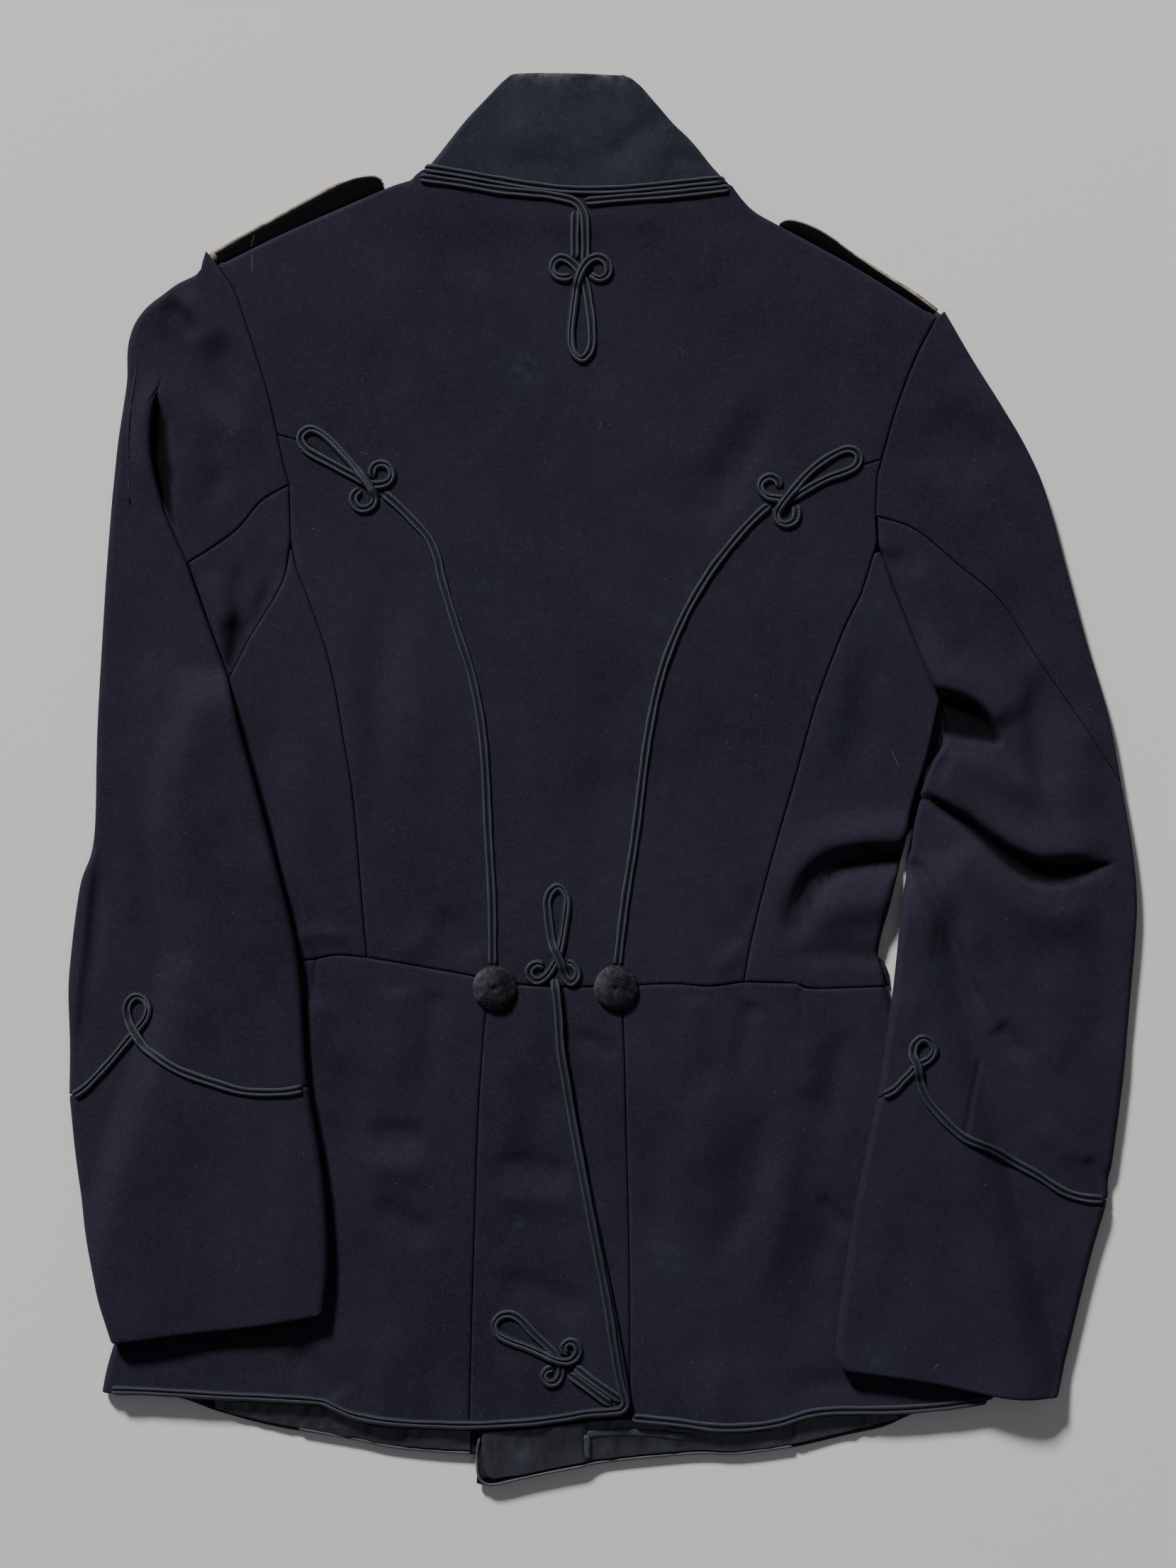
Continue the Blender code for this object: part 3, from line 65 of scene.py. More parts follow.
# Heights where layers lie on each other, mm.
FRONT_WALL = 2.5
TOP_WALL = 1.6
SATIN_WALL = 0.7
STRAP_WALL = 3.0
LAYER_GAP = 0.35
SEAM_GAP = 0.3
TOP_LEVEL = 8.5
FLOOR_TOP = FRONT_WALL
LOW_EDGE = FLOOR_TOP + LAYER_GAP
OVER_BODY = TOP_LEVEL + LAYER_GAP
ARMPIT_LEVEL = LOW_EDGE + 3.0
UNDERLAP_LEVEL = TOP_LEVEL - 0.3
FLAP_LEVEL = UNDERLAP_LEVEL + LAYER_GAP + 2.5
CUFF_PROUD = 0.8
COLLAR_TAPER = 1.4
CEILING = 100.0
CREASE_STRENGTH = 1.35
# Depths that no trough reaches: on the body, on the sleeves and in the left armpit.
DEEPEST = 3.9
SLEEVE_DEEPEST = 5.2
ARMPIT_DEEPEST = 2.4

# Where a sleeve climbs on to the body: down the view, and away from the body's edge in mm.
CLIMB_LEFT = (938.0, 1012.0)
CLIMB_RIGHT = (1190.0, 1330.0)
CLIMB_NEAR = 14.0
CLIMB_FAR = 42.0
CLIMB_SLACK = 1.6
RAMP_START = 2.0
RAMP_END = 10.0
UNDERLAP_WIDTH = 14.0

Knots = list[tuple[float, float]]
Plan = np.ndarray
Level = Callable[[np.ndarray], np.ndarray]
# Start and end of something that sets in gradually, in the view or in mm.
Stretch = tuple[float, float]

# Seam lines in the view: (across, down), each from the neck end or from the wearer's left.
LINES: dict[str, Knots] = {
    "neck_left": [(590, 240), (701, 260), (749, 268), (806, 274)],
    "neck_middle": [(806, 274), (836, 275)],
    "neck_right": [(836, 275), (890, 273), (937, 267), (1030, 257)],
    "shoulder_left": [(306, 374), (401, 327), (540, 266), (578, 252), (590, 240)],
    "shoulder_right": [(1030, 257), (1060, 293), (1098, 316), (1201, 372), (1322, 447)],
    "collar_top": [(706, 115), (723, 104), (749, 101), (801, 101), (871, 104), (890, 109), (907, 122)],
    "collar_left": [(706, 115), (683, 139), (654, 170), (607, 229), (590, 240)],
    "collar_right": [(907, 122), (951, 172), (977, 198), (1018, 247), (1030, 257)],
    "armhole_left": [(306, 374), (330, 410), (346, 453), (377, 552), (391, 613)],
    "armhole_left_low": [(391, 613), (398, 646), (408, 684)],
    "armhole_right": [(1322, 447), (1291, 507), (1263, 582), (1244, 648)],
    "armhole_right_low": [(1244, 648), (1238, 676), (1236, 728)],
    "short_seam_left": [(391, 613), (430, 624)],
    "short_seam_right": [(1200, 662), (1244, 648)],
    "back_seam_left": [
        (430, 624), (514, 690), (560, 712), (605, 759), (624, 820), (645, 890), (667, 960), (682, 1050),
        (689, 1180), (694, 1270), (696, 1386),
    ],
    "back_seam_right": [
        (1200, 662), (1105, 707), (1051, 745), (1025, 776), (999, 811), (965, 870), (935, 945),
        (914, 1040), (896, 1180), (882, 1270), (869, 1392),
    ],
    "side_seam_left_start": [(410, 762), (418, 804)],
    "side_seam_left": [
        (418, 804), (437, 851), (466, 940), (485, 1044), (499, 1134), (511, 1275), (518, 1351),
    ],
    "side_seam_right_start": [(1238, 766), (1216, 837)],
    "side_seam_right": [
        (1216, 837), (1187, 898), (1152, 992), (1121, 1103), (1088, 1216), (1060, 1329), (1050, 1385),
    ],
    "underarm_left": [(408, 684), (410, 762)],
    "underarm_right": [(1236, 728), (1238, 766)],
    "armpit_edge_left": [(410, 762), (397, 822), (352, 898)],
    "armpit_edge_left_low": [(352, 898), (322, 957)],
    "armpit_edge_right": [(1238, 766), (1263, 832), (1291, 903), (1327, 988)],
    "body_edge_left": [(334, 1006), (314, 1070), (305, 1150), (310, 1220), (322, 1280), (329, 1350)],
    "body_edge_right": [
        (1327, 988), (1310, 1065), (1288, 1136), (1277, 1195), (1259, 1268), (1242, 1337), (1250, 1392),
    ],
    "waist_left": [(329, 1350), (423, 1355), (473, 1348), (518, 1351)],
    "waist_left_side": [(518, 1351), (588, 1363), (665, 1377), (696, 1386)],
    "waist_flap": [(696, 1386), (753, 1391)],
    "waist_underlap": [(753, 1391), (789, 1393)],
    "waist_middle": [(789, 1393), (869, 1392)],
    "waist_right_side": [(869, 1392), (950, 1388), (998, 1391), (1050, 1385)],
    "waist_right": [(1050, 1385), (1120, 1388), (1150, 1395), (1250, 1392)],
    "skirt_edge_left": [
        (329, 1350), (300, 1450), (265, 1550), (225, 1680), (183, 1820), (152, 1920), (142, 1966),
    ],
    "skirt_edge_right": [(1250, 1392), (1290, 1530), (1330, 1680), (1370, 1830), (1404, 1974)],
    "pleat_left": [(696, 1386), (685, 1435), (675, 1570), (669, 1750), (665, 1887), (662, 2017)],
    "pleat_right": [(869, 1392), (879, 1435), (884, 1600), (888, 1780), (889, 2001)],
    "vent_edge": [
        (789, 1393), (798, 1480), (816, 1588), (843, 1720), (867, 1839), (888, 1959), (891, 1992),
    ],
    "underlap_edge": [
        (753, 1391), (762, 1480), (780, 1588), (807, 1720), (831, 1839), (852, 1959), (855, 2001),
    ],
    "hem_left": [
        (142, 1966), (253, 1971), (381, 1978), (450, 1983), (501, 2003), (542, 2012), (620, 2017),
        (662, 2017),
    ],
    "hem_underlap": [(855, 2001), (889, 2001)],
    "hem_flap": [(662, 2017), (740, 2014), (800, 2007), (891, 1992)],
    "hem_right": [
        (889, 2001), (950, 2012), (1010, 2019), (1058, 2019), (1100, 2013), (1139, 2001), (1179, 1996),
        (1258, 1995), (1357, 1986), (1404, 1974),
    ],
    "front_edge_left": [(836, 275), (830, 900), (815, 1392)],
    "front_edge_right": [(806, 274), (730, 900), (690, 1392)],
    "skirt_front_edge_left": [(815, 1392), (812, 2052)],
    "skirt_front_edge_right": [(690, 1392), (673, 2034), (674, 2080), (682, 2095)],
    "front_floor_edge_right": [
        (1327, 988), (1331, 1046), (1307, 1093), (1297, 1150), (1277, 1200), (1259, 1268), (1243, 1330),
        (1253, 1362), (1257, 1392),
    ],
    "front_waist_left": [(329, 1350), (815, 1392)],
    "front_waist_right": [(690, 1392), (1250, 1392)],
    "front_hem_left": [
        (142, 1966), (244, 1975), (303, 1994), (381, 2015), (501, 2036), (547, 2046), (668, 2056),
        (812, 2052),
    ],
    "front_hem_right": [
        (682, 2095), (700, 2098), (740, 2088), (800, 2076), (860, 2066), (980, 2055), (1040, 2056),
        (1119, 2046), (1194, 2029), (1250, 2016), (1301, 1996), (1368, 1988), (1404, 1974),
    ],
    "sleeve_left_outer": [
        (290, 353), (276, 387), (245, 405), (200, 438), (179, 481), (174, 552), (162, 655), (149, 802),
        (136, 1016), (131, 1181), (112, 1252), (97, 1370), (97, 1450), (96, 1547),
    ],
    "sleeve_left_opening": [
        (297, 361), (262, 440), (224, 545), (214, 600), (214, 648), (230, 716), (244, 752), (263, 794),
    ],
    "sleeve_left_fold_start": [(263, 794), (286, 860), (305, 912)],
    "sleeve_left_fold_next": [(305, 912), (322, 957)],
    "sleeve_left_fold_beside": [(322, 957), (334, 1006)],
    "sleeve_left_fold": [(334, 1006), (348, 1058), (390, 1214), (423, 1355), (433, 1488), (437, 1531)],
    "sleeve_left_cap": [(290, 353), (306, 374)],
    "sleeve_left_cap_outer": [(290, 353), (297, 361)],
    "sleeve_left_cap_inner": [(297, 361), (306, 374)],
    "hind_seam_left": [(263, 794), (297, 773), (335, 745), (368, 707), (408, 684)],
    "sleeve_right_outer_head": [
        (1333, 438), (1371, 502), (1411, 566), (1452, 636), (1477, 695), (1503, 790), (1534, 904),
        (1565, 1008), (1584, 1108),
    ],
    "sleeve_right_outer": [
        (1584, 1108), (1600, 1202), (1606, 1277), (1600, 1372), (1588, 1510), (1572, 1634),
        (1565, 1693),
    ],
    "sleeve_right_inner": [
        (1327, 988), (1332, 1046), (1308, 1093), (1293, 1150), (1274, 1249), (1258, 1395), (1242, 1513),
        (1236, 1549),
    ],
    "sleeve_right_cap": [(1322, 447), (1333, 438)],
    "hind_seam_right": [
        (1236, 728), (1291, 747), (1352, 797), (1414, 851), (1470, 938), (1522, 1013), (1584, 1108),
    ],
    "cuff_line_left": [
        (96, 1547), (129, 1526), (164, 1488), (190, 1457), (221, 1485), (257, 1508), (308, 1526),
        (349, 1538), (437, 1531),
    ],
    "cuff_line_right": [
        (1236, 1549), (1263, 1532), (1290, 1502), (1311, 1557), (1353, 1599), (1432, 1640),
        (1499, 1680), (1565, 1693),
    ],
    "cuff_under_left": [(96, 1547), (437, 1531)],
    "cuff_under_right": [(1236, 1549), (1565, 1693)],
    "cuff_outer_left": [(96, 1547), (108, 1657), (133, 1804), (159, 1893)],
    "cuff_inner_left": [(437, 1531), (459, 1666), (466, 1776), (459, 1852)],
    "cuff_end_left": [(159, 1893), (253, 1881), (358, 1869), (459, 1852)],
    "cuff_inner_right": [(1236, 1549), (1210, 1674), (1190, 1797), (1178, 1899), (1187, 1930)],
    "cuff_outer_right": [(1565, 1693), (1540, 1777), (1511, 1895), (1491, 1971)],
    "cuff_end_right": [(1187, 1930), (1305, 1947), (1416, 1969), (1491, 1971)],
    "strap_left_outer": [
        (298, 357), (350, 327), (400, 300), (450, 272), (490, 252), (512, 246), (528, 246), (537, 251),
    ],
    "strap_left_sewn": [(306, 373), (355, 349), (401, 327), (470, 296), (541, 264)],
    "strap_right_outer": [
        (1101, 313), (1110, 308), (1125, 309), (1150, 318), (1176, 333), (1201, 352), (1249, 385),
        (1290, 412), (1323, 437),
    ],
    "strap_right_sewn": [(1099, 316), (1150, 344), (1201, 372), (1260, 407), (1317, 443)],
    "lining_left_top": [(300, 1976), (381, 1981), (450, 1986), (501, 2006), (542, 2015), (664, 2020)],
    "lining_left_bottom": [(303, 1990), (381, 2010), (501, 2031), (547, 2041), (664, 2050)],
    "lining_right_edge": [(679, 2021), (679, 2048), (681, 2070), (686, 2082), (696, 2088)],
    "lining_right_top": [
        (679, 2021), (740, 2017), (800, 2010), (891, 2004), (950, 2015), (1010, 2022), (1058, 2022),
        (1100, 2016), (1139, 2004), (1179, 1999), (1270, 1998),
    ],
    "lining_right_bottom": [
        (696, 2088), (740, 2081), (800, 2069), (860, 2060), (980, 2049), (1040, 2050), (1119, 2040),
        (1194, 2023), (1268, 2004),
    ],
}
# Steps along curves and creases, mm.
CURVE_STEP = 1.0
CREASE_STEP = 5.0


def placed(points: Knots | np.ndarray) -> Plan:
    """Points of the view as plan positions in mm.

    Args:
        points: (across, down) pairs in the view.

    Returns:
        One (x, y) row a point: its offset from the view's centre times the scale, y turned up.
    """
    view = np.asarray(points, float)
    across = (view[..., 0] - VIEW_CENTRE[0]) * SCALE
    along = (VIEW_CENTRE[1] - view[..., 1]) * SCALE
    return np.stack([across, along], axis=-1)


def lengths(line: Plan) -> np.ndarray:
    """Distance along a line at each of its points, from 0."""
    steps = np.linalg.norm(np.diff(line, axis=0), axis=1)
    return np.concatenate([[0.0], np.cumsum(steps)])


def smooth(knots: Plan, step: float = CURVE_STEP) -> Plan:
    """Smooth line through positions in mm, which stay on it.

    Each leg is the cubic whose slopes at its two knots are half the step between the knots on
    either side.

    Args:
        knots: positions to pass through.
        step: distance between the line's points, about.

    Returns:
        The line's points, the first and last knots among them.
    """
    if len(knots) == 2:
        count = max(1, round(float(np.linalg.norm(knots[1] - knots[0])) / step))
        return np.linspace(knots[0], knots[1], count + 1)
    ends = np.vstack([2 * knots[0] - knots[1], knots, 2 * knots[-1] - knots[-2]])
    line = [knots[:1]]
    for a, b, c, d in zip(ends[:-3], ends[1:-2], ends[2:-1], ends[3:]):
        count = max(1, round(float(np.linalg.norm(c - b)) / step))
        t = np.linspace(0.0, 1.0, count + 1)[1:, None]
        bend, twist = 2 * a - 5 * b + 4 * c - d, 3 * b - 3 * c + d - a
        line.append((2 * b + (c - a) * t + bend * t**2 + twist * t**3) / 2)
    return np.vstack(line)


def line_of(*names: str) -> Plan:
    """Named seam lines laid end to end as one smooth line each; a name after "-" runs backwards."""
    parts = []
    for name in names:
        part = smooth(placed(LINES[name.lstrip("-")]))
        parts.append(part[::-1] if name.startswith("-") else part)
    return np.vstack([parts[0]] + [part[1:] for part in parts[1:]])


def at_shares(line: Plan, shares: np.ndarray) -> Plan:
    """Points of a line at shares 0 to 1 of its length."""
    along = lengths(line)
    places = shares * along[-1]
    return np.stack([np.interp(places, along, values) for values in line.T], -1)


def ease(value: np.ndarray, start: float, end: float) -> np.ndarray:
    """Smooth step from 0 at start to 1 at end: 3t^2 - 2t^3 of the share t between them."""
    t = np.clip((value - start) / (end - start), 0.0, 1.0)
    return t * t * (3 - 2 * t)


def down_view(plan: Plan) -> np.ndarray:
    """How far down the view a plan position lies."""
    return VIEW_CENTRE[1] - plan[..., 1] / SCALE


def across_view(plan: Plan) -> np.ndarray:
    """How far across the view a plan position lies."""
    return VIEW_CENTRE[0] + plan[..., 0] / SCALE


def beyond(plan: Plan, edge: Plan, side: int) -> np.ndarray:
    """Distance in mm past an edge that runs down the view, side -1 to the left and 1 to the right."""
    order = np.argsort(-edge[:, 1])
    level = np.interp(-plan[..., 1], -edge[order, 1], edge[order, 0])
    return (plan[..., 0] - level) * side


# Widths away from a crease's route at which it is taken to end.
CREASE_REACH = 3.0
# Distance outside a hollow's outline at which it begins, mm.
HOLLOW_START = -0.5
# Random heights along one side of the grid that an undulation draws.
NODE_COUNT = 512


@dataclass(frozen=True)
class Crease:
    """Soft trough or ridge of cloth along a route.

    The height it adds is depth * exp(-(d / w)^2), where d is the distance from the route and w
    the width on that side of it, times an ease in and out along the route.
    """

    route: Knots
    width: float
    depth: float
    lean: float = 1.0
    fade: tuple[float, float] = (0.35, 0.35)

    def added(self, plan: Plan) -> np.ndarray:
        """Height in mm that this crease adds at plan positions."""
        line = smooth(placed(self.route), CREASE_STEP)
        total = np.zeros(plan.shape[:-1])
        reach = CREASE_REACH * self.width * max(1.0, self.lean)
        low, high = line.min(axis=0) - reach, line.max(axis=0) + reach
        near = np.all((plan > low) & (plan < high), axis=-1)
        if not near.any():
            return total
        points = plan[near]
        start, leg = line[:-1], np.diff(line, axis=0)
        size = np.sum(leg * leg, axis=1)
        offset = points[:, None] - start
        share = np.clip(np.sum(offset * leg, axis=2) / size, 0.0, 1.0)
        away = offset - share[..., None] * leg
        distance = np.linalg.norm(away, axis=2)
        nearest = np.argmin(distance, axis=1)
        picked = np.arange(len(points))
        legs = leg[nearest]
        side = legs[:, 0] * away[picked, nearest, 1] - legs[:, 1] * away[picked, nearest, 0]
        width = np.where(side > 0, self.width, self.width * self.lean)
        along = lengths(line)
        place = (along[nearest] + share[picked, nearest] * np.sqrt(size[nearest])) / along[-1]
        rise = ease(place, -1e-6, max(self.fade[0], 1e-6)) if self.fade[0] else np.ones(len(points))
        fall = 1 - ease(place, 1 - self.fade[1], 1.0) if self.fade[1] else np.ones(len(points))
        total[near] = self.depth * np.exp(-((distance[picked, nearest] / width) ** 2)) * rise * fall
        return total


@dataclass(frozen=True)
class Hollow:
    """Mouth of a deep fold: an outline in the view that the cloth dives into, with painted shade
    inside.
    """

    outline: Knots
    depth: float
    soft: float = 2.4

    def share(self, plan: Plan) -> np.ndarray:
        """1 further inside the outline than soft, easing to 0 outside it.

        Args:
            plan: positions in mm.

        Returns:
            ease(distance to the nearest side, counted below zero outside, HOLLOW_START, soft).
        """
        start = placed(self.outline)
        step = np.roll(start, -1, axis=0) - start
        away = plan[..., None, :] - start
        along = np.clip(np.sum(away * step, axis=-1) / np.sum(step**2, axis=-1), 0.0, 1.0)
        nearest = np.linalg.norm(away - along[..., None] * step, axis=-1).min(axis=-1)
        end = start + step
        spans = (start[:, 1] > plan[..., 1:]) != (end[:, 1] > plan[..., 1:])
        rise = np.where(step[:, 1] == 0, 1e-9, step[:, 1])
        meets = start[:, 0] + (plan[..., 1:] - start[:, 1]) * step[:, 0] / rise
        inside = np.sum(spans & (plan[..., :1] < meets), axis=-1) % 2 == 1
        return ease(np.where(inside, nearest, -nearest), HOLLOW_START, self.soft)


def creased(plan: Plan, creases: list[Crease], deepest: float = DEEPEST) -> np.ndarray:
    """Sum of the creases, its troughs held back smoothly from the layer beneath.

    Args:
        plan: positions in mm.
        creases: the soft troughs and ridges.
        deepest: depth that no trough reaches.

    Returns:
        Height in mm: the creases' sum, and below zero deepest * tanh(sum / deepest).
    """
    total = np.zeros(plan.shape[:-1])
    for crease in creases:
        total = total + crease.added(plan) * CREASE_STRENGTH
    return np.where(total < 0, deepest * np.tanh(total / deepest), total)


def undulation(plan: Plan, seed: int, size: float, height: float) -> np.ndarray:
    """Slow unevenness: random heights on a square grid of the given size, eased between its nodes.

    Args:
        plan: positions in mm.
        seed: which random heights are drawn.
        size: distance between the grid's nodes, mm.
        height: largest rise or fall, mm.

    Returns:
        Height in mm at each position.
    """
    nodes = np.random.default_rng(seed).uniform(-1.0, 1.0, (NODE_COUNT, NODE_COUNT))
    spot = plan / size + NODE_COUNT / 2
    cell = np.clip(np.floor(spot).astype(int), 0, NODE_COUNT - 2)
    t = ease(spot - cell, 0.0, 1.0)
    i, j = cell[..., 0], cell[..., 1]
    a, b = t[..., 0], t[..., 1]
    low = nodes[i, j] * (1 - a) + nodes[i + 1, j] * a
    high = nodes[i, j + 1] * (1 - a) + nodes[i + 1, j + 1] * a
    return height * (low * (1 - b) + high * b)


BODY_CREASES = [
    Crease([(1094, 1330), (1106, 1280), (1127, 1230), (1162, 1199), (1212, 1187),
            (1290, 1184)], 13.0, 2.6, 0.30, (0.35, 0.0)),
    Crease([(1112, 1340), (1130, 1290), (1152, 1247), (1180, 1230), (1220, 1221),
            (1290, 1219)], 8.5, -3.6, 0.6, (0.25, 0.0)),
    Crease([(1140, 1322), (1180, 1284), (1262, 1268)], 11.0, 2.8, 1.0, (0.4, 0.0)),
    Crease([(1150, 1196), (1210, 1176), (1282, 1170)], 8.0, 1.3, 1.3, (0.4, 0.0)),
    Crease([(1100, 1352), (1180, 1346), (1246, 1352)], 6.0, -1.4, 1.0, (0.4, 0.1)),
    Crease([(1105, 530), (1062, 620), (1013, 700), (985, 775)], 9.0, -1.9, 1.6),
    Crease([(1062, 520), (1020, 610), (975, 690)], 12.0, 1.0),
    Crease([(545, 800), (538, 900), (536, 1050), (545, 1205)], 8.5, -1.8, 1.5),
    Crease([(590, 830), (592, 950), (600, 1120)], 9.0, 1.0),
    Crease([(480, 900), (500, 1010), (512, 1150)], 7.0, 0.9),
    Crease([(600, 1285), (640, 1306), (676, 1350)], 8.0, -1.5, 1.0, (0.4, 0.2)),
    Crease([(560, 1352), (600, 1318), (620, 1270)], 7.0, 1.0, 1.0, (0.2, 0.5)),
    Crease([(800, 780), (786, 980), (790, 1190)], 40.0, 1.0),
    Crease([(712, 900), (722, 1050), (724, 1200)], 15.0, -1.0),
    Crease([(878, 900), (862, 1060), (850, 1210)], 15.0, -1.0),
    Crease([(380, 1000), (372, 1120), (384, 1250)], 9.0, -1.6),
    Crease([(425, 960), (432, 1100), (440, 1250)], 9.0, 1.1),
    Crease([(395, 1338), (450, 1316), (505, 1330)], 5.0, 1.1),
    Crease([(1030, 1352), (1060, 1290), (1105, 1200)], 8.0, -1.3, 1.5, (0.2, 0.5)),
    Crease([(1190, 880), (1180, 990), (1150, 1110)], 9.0, 1.2),
    Crease([(1232, 900), (1225, 1010), (1200, 1110)], 9.0, -1.5, 1.4),
    Crease([(1000, 1374), (1035, 1345), (1050, 1290)], 5.0, 1.0, 1.0, (0.2, 0.5)),
    Crease([(640, 430), (560, 500), (520, 590)], 16.0, -0.9),
    Crease([(430, 430), (420, 520), (440, 600)], 12.0, -0.9),
    Crease([(1180, 470), (1165, 560), (1170, 640)], 13.0, -0.9),
    Crease([(640, 300), (740, 312), (900, 312), (1010, 296)], 7.0, 0.6),
    Crease([(700, 330), (650, 360), (600, 380)], 12.0, -0.6),
    Crease([(700, 600), (760, 640), (850, 650), (930, 620)], 30.0, -0.7),
]
SKIRT_CREASES = [
    Crease([(1078, 1545), (1068, 1620), (1048, 1710), (996, 1800)], 7.5, -3.0, 1.7),
    Crease([(1120, 1560), (1110, 1650), (1090, 1760), (1060, 1860)], 9.0, 1.8),
    Crease([(1010, 1500), (1000, 1590), (985, 1680)], 11.0, 1.5),
    Crease([(930, 1560), (925, 1680), (935, 1790)], 10.0, -1.4),
    Crease([(505, 1606), (560, 1600), (612, 1612)], 6.5, -1.8, 1.6),
    Crease([(500, 1640), (560, 1648), (620, 1650)], 8.0, 1.2),
    Crease([(520, 1690), (570, 1720), (622, 1752)], 7.0, -1.7),
    Crease([(480, 1480), (500, 1560), (512, 1640)], 6.5, -1.9, 1.4),
    Crease([(450, 1400), (440, 1500), (470, 1640)], 8.0, 1.2, 1.0, (0.1, 0.5)),
    Crease([(560, 1390), (560, 1480), (575, 1560)], 10.0, 1.2, 1.0, (0.1, 0.5)),
    Crease([(615, 1395), (606, 1480), (612, 1570)], 7.0, -1.1, 1.0, (0.1, 0.5)),
    Crease([(1166, 1700), (1150, 1800), (1148, 1920)], 8.0, -2.0, 1.5),
    Crease([(1150, 1684), (1172, 1706), (1200, 1742)], 3.4, -1.8, 1.6),
    Crease([(1140, 1450), (1136, 1560)], 11.0, 1.4),
    Crease([(1190, 1450), (1176, 1540), (1160, 1640)], 7.0, -1.6, 1.4, (0.2, 0.4)),
    Crease([(1060, 1410), (1050, 1470), (1052, 1540)], 6.0, -1.2, 1.0, (0.1, 0.5)),
    Crease([(980, 1405), (975, 1480), (960, 1560)], 9.0, 1.1, 1.0, (0.1, 0.5)),
    Crease([(1240, 1960), (1180, 1950), (1100, 1968)], 7.0, -1.1),
    Crease([(950, 1900), (1010, 1910), (1080, 1890)], 12.0, -1.2),
    Crease([(1030, 1860), (1015, 1950), (1010, 2010)], 10.0, 1.1, 1.0, (0.4, 0.0)),
    Crease([(400, 1905), (440, 1930), (480, 1972)], 8.0, -1.6, 1.0, (0.3, 0.1)),
    Crease([(556, 1860), (545, 1930), (538, 2008)], 8.0, 1.0, 1.0, (0.4, 0.0)),
    Crease([(610, 1880), (612, 1950), (618, 2010)], 8.0, -1.0, 1.0, (0.4, 0.0)),
    Crease([(1128, 1398), (1131, 1425), (1134, 1462)], 1.1, -0.9, 1.0, (0.0, 0.4)),
    Crease([(445, 1356), (444, 1376), (444, 1404)], 1.1, -0.9, 1.0, (0.0, 0.4)),
]
FLAP_CREASES = [
    Crease([(690, 1650), (750, 1642), (815, 1662)], 6.5, -1.7, 1.6, (0.2, 0.3)),
    Crease([(690, 1690), (760, 1690), (830, 1702)], 8.0, 1.1, 1.0, (0.2, 0.3)),
    Crease([(700, 1808), (760, 1818), (840, 1850)], 7.0, -1.6, 1.5, (0.2, 0.3)),
    Crease([(730, 1450), (722, 1540), (730, 1630)], 9.0, 1.3),
    Crease([(766, 1440), (774, 1530), (790, 1600)], 6.0, -1.1),
    Crease([(720, 1900), (735, 1950), (745, 2005)], 9.0, 0.9, 1.0, (0.4, 0.0)),
]
UNDERLAP_CREASES = [
    Crease([(806, 1456), (836, 1470), (872, 1496)], 5.0, -1.5),
    Crease([(850, 1520), (856, 1640), (866, 1760)], 9.0, 0.9),
]
RIGHT_SLEEVE_CREASES = [
    Crease([(1318, 966), (1352, 971), (1380, 984), (1402, 1006), (1418, 1032)], 17.0, 3.0, 0.20,
            (0.0, 0.25)),
    Crease([(1332, 1074), (1380, 1082), (1440, 1108), (1500, 1140)], 9.5, 2.8, 1.3, (0.1, 0.4)),
    Crease([(1308, 1106), (1340, 1128), (1370, 1150), (1400, 1170), (1440, 1194), (1470, 1204),
            (1510, 1202), (1566, 1204)], 14.0, 2.6, 0.25, (0.2, 0.2)),
    Crease([(1306, 1114), (1350, 1152), (1380, 1176), (1410, 1203), (1440, 1227), (1470, 1239),
            (1500, 1240), (1540, 1230), (1590, 1212)], 8.0, -2.4, 0.5, (0.16, 0.3)),
    Crease([(1340, 1192), (1400, 1248), (1470, 1288), (1560, 1286)], 9.0, 2.4, 1.4, (0.15, 0.2)),
    Crease([(1470, 930), (1466, 1010), (1472, 1090), (1492, 1150)], 8.0, -3.4, 1.0),
    Crease([(1524, 990), (1526, 1080), (1540, 1160)], 9.0, 1.8),
    Crease([(1240, 770), (1266, 835), (1296, 903), (1332, 985)], 4.6, -3.4, 1.0, (0.1, 0.0)),
    Crease([(1287, 1200), (1300, 1220), (1315, 1255), (1330, 1290), (1367, 1381),
            (1404, 1450)], 2.8, -3.0, 1.8, (0.12, 0.25)),
    Crease([(1330, 1216), (1362, 1280), (1400, 1370)], 8.0, 1.5),
    Crease([(1404, 1444), (1432, 1474), (1462, 1502)], 6.0, -2.0, 1.0, (0.2, 0.5)),
    Crease([(1470, 1350), (1500, 1440), (1490, 1530)], 12.0, 1.4),
    Crease([(1540, 1300), (1556, 1400), (1548, 1500)], 9.0, -1.3),
    Crease([(1310, 575), (1360, 615), (1416, 665)], 13.0, -1.7, 1.4),
    Crease([(1330, 520), (1390, 575), (1440, 640)], 11.0, 1.1),
    Crease([(1290, 640), (1340, 690), (1390, 760)], 9.0, 1.1),
    Crease([(1285, 790), (1330, 850), (1360, 930)], 9.0, 1.5, 1.0, (0.2, 0.3)),
    Crease([(1262, 775), (1296, 850), (1330, 930)], 6.0, -1.4, 1.0, (0.1, 0.4)),
    Crease([(1420, 800), (1440, 880), (1450, 960)], 9.0, -1.4),
    Crease([(1530, 1628), (1540, 1650), (1550, 1684)], 3.0, -1.8, 1.5, (0.3, 0.0)),
    Crease([(1385, 1490), (1376, 1523), (1367, 1560), (1360, 1596)], 1.1, -0.9, 1.0, (0.1, 0.0)),
    Crease([(1450, 1580), (1490, 1610), (1520, 1650)], 8.0, 1.1),
    Crease([(1290, 1380), (1280, 1450), (1284, 1490)], 7.0, 0.9),
]
